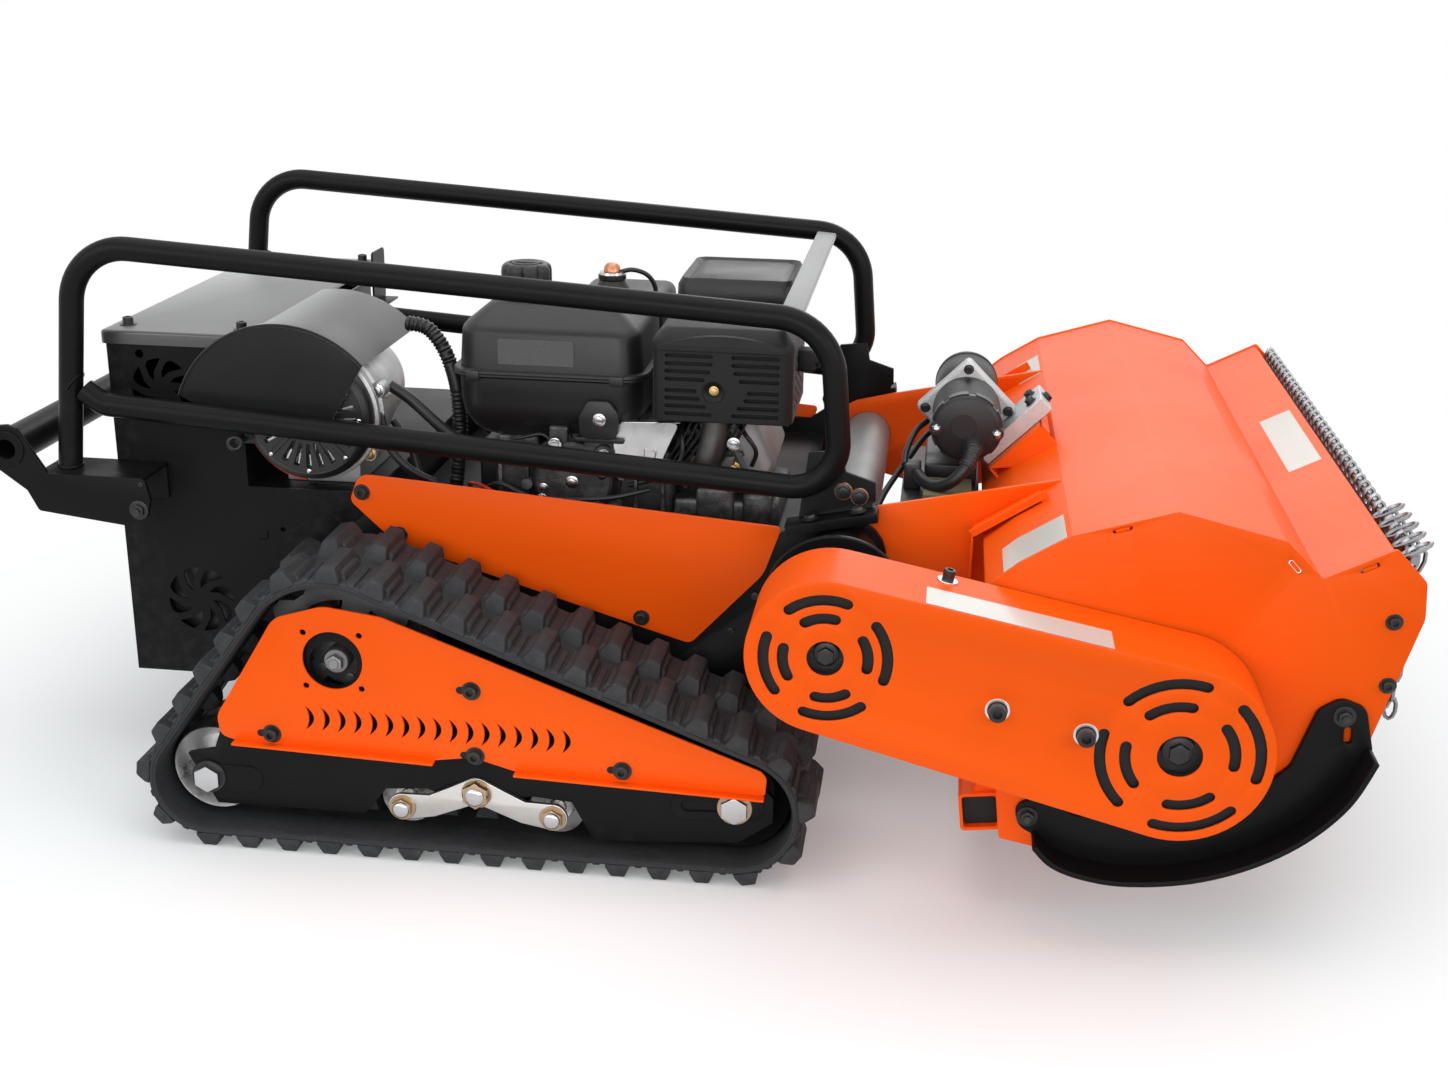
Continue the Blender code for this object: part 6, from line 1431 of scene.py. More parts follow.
def engineTrim():
    e = engineSettings
    pipe = bmesh.new()
    ex, ey = e["exhaust"]
    route = smoothRoute([(ex + 0.004, ey, 0.508), (ex + 0.003, ey, 0.484), (ex - 0.001, ey, 0.462),
        (ex - 0.006, ey + 0.003, 0.444), (ex - 0.006, ey + 0.016, 0.432), (ex - 0.004, ey + 0.034, 0.43)], 8)
    bar(pipe, route, 0.0175, 28)
    brick(pipe, (ex - 0.034, ex + 0.028), (ey + 0.01, ey + 0.018), (0.418, 0.448), 0.004, 3)
    makePiece("exhaust_elbow", pipe, "exhaustSteel", "chassis", sharp=50)

    shroud = bmesh.new()
    outline = roundCorners([(-0.126, 0.494), (-0.05, 0.497), (-0.066, 0.462), (-0.082, 0.424), (-0.142, 0.424),
        (-0.15, 0.462)], [0.01, 0.006, 0.02, 0.006, 0.012, 0.02], 5)
    plate(shroud, outline, -0.2085, -0.2065, ease=0.0006)
    plate(shroud, ribbon([(-0.15, 0.462), (-0.126, 0.494), (-0.05, 0.497)], 0.0016), -0.208, -0.16, ease=0.0004)
    plate(shroud, roundCorners([(-0.097, 0.424), (-0.086, 0.424), (-0.08, 0.458), (-0.096, 0.462)], 0.003),
        -0.2125, -0.208, ease=0.0012)
    makePiece("air_shroud", shroud, "zinc", "chassis")

    small = tray("chassis", "brass")
    for x, z in ((-0.036, 0.424), (0.016, 0.43), (-0.102, 0.434)):
        hexHead(small, (x, -0.176 if x > -0.1 else -0.216, z), outward, 0.0062, 0.006, 0.009)
    steel = tray("chassis", "brightSteel")
    for x, z in ((-0.153, 0.498), (-0.212, 0.462), (-0.255, 0.448), (-0.148, 0.452), (-0.19, 0.412),
            (-0.23, 0.386), (0.02, 0.474)):
        hexHead(steel, (x, -0.215 if z < 0.49 else -0.2185, z), outward, 0.0062, 0.0046, 0.0085)
    for i in range(6):
        a = radians(60 * i + 15)
        hexHead(steel, onRing(-0.19, 0.412, 0.04, a, -0.212), outward, 0.0042, 0.0036, 0.006)

    lug = bmesh.new()        # the black lug that carries the tank's outer corner
    plate(lug, roundCorners([(-0.178, 0.472), (-0.13, 0.472), (-0.128, 0.506), (-0.14, 0.522), (-0.168, 0.522),
        (-0.18, 0.5)], 0.01, 5), -0.2185, -0.2125, ease=0.0012, segments=2)
    brick(lug, (-0.186, -0.122), (-0.215, -0.18), (0.466, 0.473), 0.002)
    makePiece("tank_lug", lug, "mouldedBlack", "chassis")

    clutter = bmesh.new()    # linkages, carburettor and leads beside and behind the tank
    for route, r in (([(-0.3, -0.18, 0.47), (-0.27, -0.196, 0.462), (-0.232, -0.2, 0.47),
            (-0.214, -0.205, 0.456)], 0.0022), ([(-0.33, -0.175, 0.372), (-0.29, -0.205, 0.402),
            (-0.24, -0.214, 0.388), (-0.15, -0.216, 0.392), (-0.09, -0.205, 0.404)], 0.0032),
            ([(-0.06, -0.12, 0.5), (-0.052, -0.184, 0.482), (-0.05, -0.198, 0.446), (-0.078, -0.196, 0.42),
            (-0.12, -0.19, 0.404)], 0.0034), ([(0.012, -0.15, 0.49), (0.03, -0.168, 0.474),
            (0.044, -0.168, 0.452), (0.038, -0.16, 0.43)], 0.003), ([(-0.33, -0.02, 0.4), (-0.345, -0.06, 0.44),
            (-0.35, -0.09, 0.5), (-0.345, -0.06, 0.55)], 0.004)):
        bar(clutter, smoothRoute(route, 6), r, 10)
    brick(clutter, (-0.088, -0.03), (-0.03, 0.04), (0.472, 0.53), 0.006, 3)
    brick(clutter, (-0.33, -0.302), (-0.15, 0.12), (0.3535, 0.44), 0.006, 3)
    brick(clutter, (-0.1, -0.065), (0.06, 0.15), (0.47, 0.512), 0.005, 3)
    makePiece("engine_leads", clutter, "mouldedBlack", "chassis")
    red = bmesh.new()
    bar(red, smoothRoute([(-0.352, -0.11, 0.362), (-0.336, -0.18, 0.392), (-0.306, -0.212, 0.398),
        (-0.268, -0.222, 0.382), (-0.232, -0.222, 0.378)], 6), 0.0024, 8)
    bar(red, smoothRoute([(-0.395, -0.2, 0.404), (-0.372, -0.232, 0.398), (-0.34, -0.236, 0.404),
        (-0.31, -0.226, 0.396)], 6), 0.0022, 8)
    makePiece("red_lead", red, "redPlastic", "chassis")


tankSettings = dict(x=(-0.344, -0.101), y=(-0.21, -0.01), bottom=0.461, top=0.64, seam=0.549,
    cap=(-0.268, -0.116, 0.033))


def fuelTank():
    t = tankSettings
    bm = bmesh.new()

    def ring(z, inset, radius):
        return roundedRing((t["x"][0] + inset, t["x"][1] - inset), (t["y"][0] + inset, t["y"][1] - inset), z,
            radius, 7)
    lower = [(t["bottom"], 0.036, 0.022), (t["bottom"] + 0.003, 0.027, 0.026), (t["bottom"] + 0.012, 0.016,
        0.03), (t["bottom"] + 0.03, 0.005, 0.034), (t["bottom"] + 0.05, 0.001, 0.036), (t["seam"] - 0.004, 0.0,
        0.036), (t["seam"] - 0.0035, -0.0065, 0.04), (t["seam"] - 0.001, -0.0078, 0.041), (t["seam"] + 0.0005,
        -0.0066, 0.04), (t["seam"] + 0.001, -0.0066, 0.04), (t["seam"] + 0.0025, -0.0078, 0.041),
        (t["seam"] + 0.005, -0.006, 0.04), (t["seam"] + 0.0055, 0.001, 0.036), (t["top"] - 0.04, 0.004, 0.034),
        (t["top"] - 0.034, 0.006, 0.033), (t["top"] - 0.028, 0.011, 0.03), (t["top"] - 0.01, 0.033, 0.022),
        (t["top"] - 0.005, 0.04, 0.02), (t["top"] - 0.003, 0.05, 0.018)]
    loft(bm, [ring(*level) for level in lower])
    # raised panel on the top and a shallow panel on the outer side
    panel = [(t["top"] - 0.006, 0.052, 0.016), (t["top"] - 0.0015, 0.054, 0.015), (t["top"], 0.057, 0.014)]
    loft(bm, [ring(*level) for level in panel])
    capX, capY, capR = t["cap"]
    lathe(bm, [(0, t["top"] - 0.006), (capR + 0.004, t["top"] - 0.006), (capR + 0.003, t["top"] - 0.001),
        (capR - 0.004, t["top"] + 0.0015), (capR - 0.0045, t["top"] + 0.014), (0, t["top"] + 0.014)],
        (capX, capY, 0), (0, 0, 1), 40)
    for x0, x1 in ((-0.326, -0.309), (-0.14, -0.122)):      # clamps on the seam
        brick(bm, (x0, x1), (t["y"][0] - 0.0085, t["y"][0] + 0.004), (t["seam"] - 0.007, t["seam"] + 0.006),
            0.0014, 2)
    makePiece("tank_shell", bm, "mouldedBlack", "chassis", "fuel_tank")

    cap = bmesh.new()
    low = t["top"] + 0.002
    lobes, steps = 8, 96
    rings = []
    for height, scale, depth in ((0.0, 0.93, 0.4), (0.002, 0.97, 0.8), (0.006, 1.0, 1.0), (0.026, 1.0, 1.0),
            (0.031, 0.97, 0.9), (0.034, 0.9, 0.5), (0.0355, 0.8, 0.1)):
        ringPoints = []
        for k in range(steps):
            a = tau * k / steps
            dip = max(0.0, cos(lobes * a)) ** 3
            r = capR * scale - 0.0042 * depth * dip
            ringPoints.append((capX + r * cos(a), capY + r * sin(a), low + height))
        rings.append(ringPoints)
    loft(cap, rings)
    lathe(cap, [(0, low + 0.034), (0.02, low + 0.034), (0.0195, low + 0.0365), (0.017, low + 0.0372),
        (0.01, low + 0.035), (0, low + 0.0345)], (capX, capY, 0), (0, 0, 1), 40)
    brick(cap, (capX - 0.022, capX + 0.022), (capY - 0.0042, capY + 0.0042), (low + 0.034, low + 0.0372),
        0.0014, 2)
    makePiece("filler_cap", cap, "mouldedBlack", "cap", "fuel_cap")

    label = bmesh.new()
    side = t["y"][0] + 0.0022
    plate(label, roundCorners(rectangle(-0.286, -0.187, 0.563, 0.596), 0.002, 3), side - 0.0012, side + 0.002,
        ease=0.0002)
    makePiece("tank_side_label", label, "darkSticker", "chassis")
    topLabel = bmesh.new()
    plate(topLabel, roundCorners(rectangle(-0.25, -0.172, -0.1595, -0.1505), 0.001, 2), t["top"] - 0.001,
        t["top"] + 0.0006, axis="Z", ease=0)
    makePiece("tank_top_label", topLabel, "blankSticker", "chassis")


def fillerValve():
    # the second fitting beside the tank: a black cone, a copper plug and a bleed hose
    spot = Vector((-0.172, -0.022, 0.0))
    bm = bmesh.new()
    brick(bm, (-0.235, -0.108), (-0.006, 0.15), (0.47, 0.612), 0.016, 4)
    lathe(bm, [(0, 0.6), (0.031, 0.6), (0.028, 0.622), (0.02, 0.636), (0.0175, 0.641), (0.019, 0.643),
        (0.019, 0.648), (0, 0.648)], spot, (0, 0, 1), 40)
    hose = smoothRoute([(-0.16, -0.022, 0.652), (-0.144, -0.02, 0.655), (-0.126, -0.014, 0.648),
        (-0.116, -0.008, 0.632), (-0.114, -0.004, 0.606)], 8)
    bar(bm, hose, 0.0032, 12)
    makePiece("breather_body", bm, "mouldedBlack", "chassis")
    steel = tray("chassis", "brightSteel")
    lathe(steel, [(0, 0.647), (0.0165, 0.647), (0.0175, 0.649), (0.0165, 0.652), (0, 0.652)], spot, (0, 0, 1),
        40)
    copper = tray("chassis", "copper")
    lathe(copper, [(0, 0.651), (0.0105, 0.651), (0.0115, 0.653), (0.0105, 0.659), (0.007, 0.663), (0, 0.664)],
        spot, (0, 0, 1), 28)


shieldSettings = dict(x=(-0.083, 0.095), y=(-0.235, -0.065), z=(0.505, 0.624), corner=0.014,
    dimple=(-0.0045, 0.546, 0.0145))


def heatShield():
    s = shieldSettings
    (x0, x1), (y0, y1), (z0, z1) = s["x"], s["y"], s["z"]
    cx, cz, cr = s["dimple"]
    slots = []
    rows = [(0.5905, 0.056), (0.5805, 0.056), (0.5705, 0.053), (0.5605, 0.046), (0.546, 0.036), (0.536, 0.04),
        (0.526, 0.048), (0.516, 0.055)]
    edge = 0.019
    for z, length in rows:
        slots.append(straightSlot((x0 + edge, z), (x0 + edge + length, z), 0.0046))
        slots.append(straightSlot((x1 - edge - length, z), (x1 - edge, z), 0.0046))
    bm = bmesh.new()
    corner = s["corner"]
    front = roundCorners(rectangle(x0 + corner, x1 - corner, z0 + 0.002, 0.6), 0.002, 2)
    plate(bm, front, y0, y0 + 0.0016, holes=[*slots, circle((cx, cz), cr, 36)], ease=0.0003)
    lathe(bm, [(cr + 0.0012, y0 + 0.001), (cr - 0.001, y0 + 0.0001), (cr * 0.6, y0 + 0.003),
        (cr * 0.35, y0 + 0.0066), (0.0001, y0 + 0.0068), (0.0001, y0 + 0.008), (cr * 0.5, y0 + 0.008),
        (cr + 0.0012, y0 + 0.0022)], (cx, 0, cz), steps=40)
    for z, length in rows:               # the pressed lip over each slot
        for a, b in ((x0 + edge, x0 + edge + length), (x1 - edge - length, x1 - edge)):
            bar(bm, [(a, y0 + 0.0006, z + 0.0036), (b, y0 + 0.0006, z + 0.0036)], 0.0017, 8)
    # rounded corner columns, side walls, floor and roof
    for xc, start in ((x0 + corner, 180), (x1 - corner, 270)):
        quarter = arc((xc, y0 + corner), corner, start, start + 90, 8)
        inner = arc((xc, y0 + corner), corner - 0.0016, start + 90, start, 8)
        plate(bm, quarter + inner, z0 + 0.002, 0.6, axis="Z", ease=0)
    holes = [circle((y0 + 0.034 + 0.016 * i, 0.522 + 0.0135 * k + 0.0065 * (i % 2)), 0.0042, 12)
        for i in range(8) for k in range(5)]
    for x in (x0, x1 - 0.0016):
        plate(bm, rectangle(y0 + corner, y1, z0 + 0.002, 0.6), x, x + 0.0016, axis="X", holes=holes, ease=0)
    brick(bm, (x0 + 0.004, x1 - 0.004), (y0 + 0.004, y1), (z0, z0 + 0.0025), 0.0008)
    brick(bm, (x0 + 0.006, x1 - 0.006), (y0 + 0.01, y0 + 0.012), (z0 + 0.004, 0.598), 0)

    def ring(z, inset, radius):
        return roundedRing((x0 + inset, x1 - inset), (y0 + inset, y1 - inset * 0.5), z, radius, 7)
    loft(bm, [ring(0.5965, -0.0002, 0.015), ring(0.5975, -0.0012, 0.015), ring(0.606, -0.0012, 0.015),
        ring(0.6105, 0.0015, 0.015), ring(0.6175, 0.0075, 0.015), ring(0.6225, 0.0135, 0.014),
        ring(z1, 0.018, 0.013)])
    arch = [(x0 + 0.01, 0.604)] + arc(((x0 + x1) / 2, 0.604 - 0.22), 0.2335, 109, 71, 14) + [(x1 - 0.01, 0.604)]
    plate(bm, arch, y0 - 0.003, y0 + 0.006, ease=0.0012, segments=2)
    makePiece("louvred_shield", bm, "sootAndShadeBlack", "chassis", "muffler_shield", sharp=40)
    screw = tray("chassis", "brass")
    hexHead(screw, (cx, y0 + 0.0066, cz), outward, 0.005, 0.0042, 0.0075)

    muffler = bmesh.new()
    clear = 0.014
    brick(muffler, (x0 + clear, x1 - clear), (y0 + clear, y1 - 0.01), (z0 + 0.012, z1 - clear), 0.01, 4)
    makePiece("silencer", muffler, "exhaustSteel", "chassis", "muffler")
    stub = bmesh.new()
    brick(stub, (x1 - 0.002, x1 + 0.022), (-0.168, -0.138), (0.56, 0.588), 0.004, 3)
    lathe(stub, [(0.006, 0), (0.0105, 0), (0.0105, 0.006), (0.009, 0.007), (0.006, 0.007)], (x1 + 0.021, -0.153,
        0.574), (1, 0, 0), 28)
    makePiece("outlet_stub", stub, "sootAndShadeBlack", "chassis")


def airCleaner():
    low, high = nodeBox("air_cleaner")
    bm = bmesh.new()

    def ring(z, inset, radius):
        return roundedRing((low.x + inset, high.x - inset), (low.y + inset, high.y - inset), z, radius, 6)
    loft(bm, [ring(low.z, 0.006, 0.016), ring(low.z + 0.006, 0.001, 0.018), ring(0.606, 0.0, 0.018),
        ring(0.6066, 0.003, 0.018), ring(0.609, 0.003, 0.018), ring(0.6096, -0.0002, 0.018), ring(0.628, 0.0005,
        0.018), ring(0.638, 0.006, 0.016), ring(high.z - 0.003, 0.014, 0.014), ring(high.z, 0.02, 0.012)])
    makePiece("air_filter_case", bm, "mouldedBlack", "chassis", "air_cleaner")
    grille = bmesh.new()
    for i in range(7):
        x = low.x + 0.024 + 0.0042 * i
        brick(grille, (x, x + 0.0022), (low.y + 0.018, low.y + 0.052), (high.z - 0.0016, high.z + 0.0004),
            0.0004, 1)
    makePiece("air_filter_grille", grille, "sootAndShadeBlack", "chassis")


def hoses():
    points = [(-0.425, -0.14, 0.596), (-0.396, -0.142, 0.59), (-0.372, -0.146, 0.56), (-0.357, -0.15, 0.51),
        (-0.355, -0.15, 0.45), (-0.36, -0.15, 0.4), (-0.366, -0.15, 0.3573)]
    bm = bmesh.new()
    ribbedHose(bm, evenRoute(points, 0.0014), 0.0105, 0.0022, 0.0056, 16)
    makePiece("corrugated_sleeve", bm, "mouldedBlack", "chassis", "cable_conduit", sharp=60)
    rods = bmesh.new()
    bar(rods, smoothRoute([(-0.432, -0.205, 0.528), (-0.405, -0.2, 0.508), (-0.365, -0.2, 0.472),
        (-0.335, -0.196, 0.45)], 6), 0.0075, 16)
    bar(rods, smoothRoute([(-0.436, -0.235, 0.5), (-0.425, -0.238, 0.455), (-0.4, -0.236, 0.425),
        (-0.37, -0.225, 0.405)], 6), 0.0055, 14)
    bar(rods, smoothRoute([(-0.44, -0.17, 0.47), (-0.415, -0.18, 0.44), (-0.395, -0.2, 0.402),
        (-0.36, -0.205, 0.372)], 6), 0.005, 14)
    makePiece("wiring_tubes", rods, "mouldedBlack", "chassis")


generator()
generatorHood()
engineBlock()
engineTrim()
fuelTank()
fillerValve()
heatShield()
airCleaner()
hoses()
print("generator and engine")


# cutter head
headSettings = dict(half=0.5, side=0.004, sheet=0.003, rotorX=0.551, rotorZ=0.271, guardFront=0.62,
    guardBack=0.509, guardRadii=(0.088, 0.1), pulleyRadii=(0.06, 0.052), pulleyMiddle=0.572, bend=0.005)
deckPath = [(0.375, 0.095), (0.338, 0.403), (0.375, 0.435), (0.43, 0.47), (0.541, 0.504), (0.658, 0.477),
    (0.7, 0.436), (0.775, 0.475), (0.779, 0.44)]


def deck():
    s = headSettings
    inner = s["half"] - s["side"]
    bm = bmesh.new()
    outer = roundCorners(deckPath, s["bend"], 4, closed=False)
    plate(bm, ribbon(outer, s["sheet"]), -inner - 0.001, inner + 0.001, ease=0)
    makePiece("deck_sheet", bm, "orangePaint", "head", "mower_deck", sharp=50)

    top = offsetPath(deckPath[:-1], 0.0016)
    outline = top + [(0.8095, 0.44), (0.813, 0.398), (0.774, 0.251), (0.722, 0.17), (0.64, 0.112),
        (0.55, 0.085), (0.44, 0.082)]
    outline = roundCorners(outline, [0.004] * len(top) + [0.01, 0.03, 0.02, 0.03, 0.03, 0.03, 0.03], 4)
    tabs = [straightSlot(a, b, 0.0055) for a, b in (((0.4745, 0.4795), (0.4905, 0.4845)), ((0.6645, 0.455),
        (0.6745, 0.4445)), ((0.74, 0.4495), (0.7555, 0.4575)), ((0.35, 0.3), (0.3475, 0.32)))]
    side = bmesh.new()
    plate(side, outline, -s["half"], -inner, holes=[*tabs, circle((s["rotorX"], s["rotorZ"]), 0.0185, 40)],
        ease=0.0008, segments=2)
    for tab in tabs:
        middle = sum((Vector(point) for point in tab), Vector((0, 0))) / len(tab)
        small = [tuple(middle + (Vector(point) - middle) * 0.72) for point in tab]
        plate(side, small, -s["half"] + 0.0004, -inner, ease=0)
    makePair("deck_cheek", side, "orangePaint", "head")
    trim = bmesh.new()
    for a, b in zip(top, top[1:]):      # the weld along the sheet's edge on the outer face
        heading = (Vector(b) - Vector(a)).normalized()
        down = Vector((heading.y, -heading.x)) * 0.0045
        start, end = Vector(a) + heading * 0.006 + down, Vector(b) - heading * 0.006 + down
        bar(trim, [(start.x, -inner + 0.0012, start.y), (end.x, -inner + 0.0012, end.y)], 0.0022, 8)
    makePair("deck_weld", trim, "orangePaint", "head")
    bolts = bmesh.new()
    for x, z in ((0.781, 0.393), (0.784, 0.318)):
        socketHead(bolts, (x, -s["half"], z), outward, 0.0062, 0.005, 0.0095)
    makePair("deck_bolts", bolts, "blackBolt", "head")


def motorSeat():
    # the lift motor's sloping seat: where it starts, along it, and away from it
    return Vector((0.345, 0.431)), Vector((1, 1)).normalized(), Vector((-1, 1)).normalized()


def deckRear():
    low, high = Vector(deckPath[0]), Vector(deckPath[1])
    up = (high - low).normalized()
    back = Vector((-up.y, up.x))
    half = 0.021
    middle = low + up * 0.022 + back * (half - 0.001)

    def square(size, radius):
        centre = middle + (up + back) * 0.002
        return roundCorners([tuple(centre + up * a * size + back * b * size) for a, b in ((-1, -1), (1, -1),
            (1, 1), (-1, 1))], radius, 5)
    bm = bmesh.new()
    plate(bm, square(half + 0.003, 0.006), -0.48, 0.48, holes=[square(half - 0.001, 0.0035)], ease=0.0005)
    for y in (-0.47, 0.47, -0.16, 0.16):       # lugs that hold the tube to the sheet
        plate(bm, roundCorners([tuple(middle + up * 0.02 - back * 0.02), tuple(middle + up * 0.02
            + back * 0.012), tuple(middle + up * 0.052 - back * 0.004),
            tuple(middle + up * 0.052 - back * 0.02)], 0.004, 4), y - 0.003, y + 0.003, ease=0.0006)
    makePiece("rear_square_tube", bm, "orangePaint", "head")

    dark = bmesh.new()       # the tube is unlit inside
    plate(dark, square(half - 0.0014, 0.003), -0.47, 0.47, ease=0)
    makePiece("square_tube_inside", dark, "sootAndShadeBlack", "head")

    start, along, lift = motorSeat()
    mount = bmesh.new()
    foot, heel = Vector((0.432, 0.47)), Vector((0.376, 0.4345))
    wall = [tuple(start), tuple(start + along * 0.086), tuple(foot), tuple(heel)]
    opening = [tuple(start + along * 0.02 - lift * 0.006), tuple(start + along * 0.066 - lift * 0.006),
        tuple(foot.lerp(heel, 0.35) + lift * 0.006), tuple(foot.lerp(heel, 0.8) + lift * 0.004)]
    for y in (-0.1225, 0.0575):
        plate(mount, wall, y, y + 0.003, holes=[roundCorners(opening, 0.003, 3)] if y > 0 else [], ease=0.0006)
    plate(mount, [tuple(start), tuple(start + along * 0.09), tuple(start + along * 0.09 - lift * 0.003),
        tuple(start - lift * 0.003)], -0.1222, 0.0602, ease=0.0006)
    end = start + along * 0.09
    plate(mount, [tuple(end), tuple(end - along * 0.003), tuple(end - along * 0.003 - lift * 0.018),
        tuple(end - lift * 0.018)], -0.1222, 0.0602, ease=0.0006)
    plate(mount, [tuple(start), tuple(start + along * 0.003), tuple(start + along * 0.003 - lift * 0.022),
        tuple(start - lift * 0.022)], -0.1222, 0.0602, ease=0.0006)
    makePiece("motor_bracket", mount, "orangePaint", "head")

    gusset = bmesh.new()     # the fold that ties each arm to the deck
    first, second = Vector((0.3262, 0.4035)), Vector((0.4135, 0.4605))
    run = (second - first).normalized()
    rise = Vector((-run.y, run.x))
    plate(gusset, [tuple(first), tuple(second), tuple(second + rise * 0.012), tuple(first + rise * 0.012)],
        -0.33, -0.327, ease=0.0008)
    plate(gusset, [tuple(first), tuple(second - run * 0.01), tuple(second - run * 0.01 + rise * 0.003),
        tuple(first + rise * 0.003)], -0.33, -0.2845, ease=0.0008)
    plate(gusset, [(-0.33, 0.33), (-0.2845, 0.33), (-0.2845, 0.3965), (-0.3, 0.4035), (-0.33, 0.4035)], 0.3235,
        0.3265, axis="X", ease=0.0008)
    makePair("arm_gusset", gusset, "orangePaint", "head")
    arm = refined("lift_arm_right", 0.0009, 2)
    for vertex in arm.verts:      # the top edge falls a little below the simple shape's
        if vertex.co.z > 0.43 and vertex.co.x < 0.25:
            vertex.co.z -= 0.012
        elif vertex.co.x > 0.4:
            vertex.co -= Vector((0.0127, 0, 0.0085))
    makePair("head_arm", arm, "orangePaint", "head", "lift_arm")


def headLabels():
    # the plain stickers' places, as thin pale sheets
    bm = bmesh.new()

    def onFacet(a, b, y0, y1):
        plate(bm, ribbon([a, b], -0.0005), y0, y1, ease=0)
    first, second = Vector(deckPath[2]), Vector(deckPath[3])
    lower = Vector(deckPath[1]).lerp(first, 0.55)
    plate(bm, ribbon([tuple(lower), tuple(first), tuple(first.lerp(second, 0.9))], -0.0005), -0.49, -0.41,
        ease=0)
    onFacet(tuple(first.lerp(second, 0.36)), tuple(first.lerp(second, 0.92)), 0.272, 0.388)
    first, second = Vector(deckPath[6]), Vector(deckPath[7])
    onFacet(tuple(first.lerp(second, 0.32)), tuple(first.lerp(second, 0.83)), -0.13, 0.112)
    rear, front = stadium(*[radius + 0.0002 for radius in headSettings["guardRadii"]])[10 * 3:10 * 3 + 2]
    heading = (Vector(front) - Vector(rear)).normalized()
    start = Vector(rear) + heading * ((0.274 - rear[0]) / heading.x)
    onFacet(tuple(start), tuple(start + heading * 0.203), -0.6165, -0.567)
    makePiece("plain_stickers", bm, "blankSticker", "head")


def stadium(rearRadius, frontRadius, steps=30):
    # two arcs about the drive's shafts joined by straight flanks; the top flank runs between points
    # steps and steps + 1
    rear, front = (pivotX, pivotZ), (headSettings["rotorX"], headSettings["rotorZ"])
    heading = degrees(atan2(front[1] - rear[1], front[0] - rear[0]))
    span = hypot(front[0] - rear[0], front[1] - rear[1])
    normal = degrees(acos((rearRadius - frontRadius) / span))
    return (arc(rear, rearRadius, heading + 360 - normal, heading + normal, steps) + arc(front, frontRadius,
        heading + normal, heading - normal, steps))


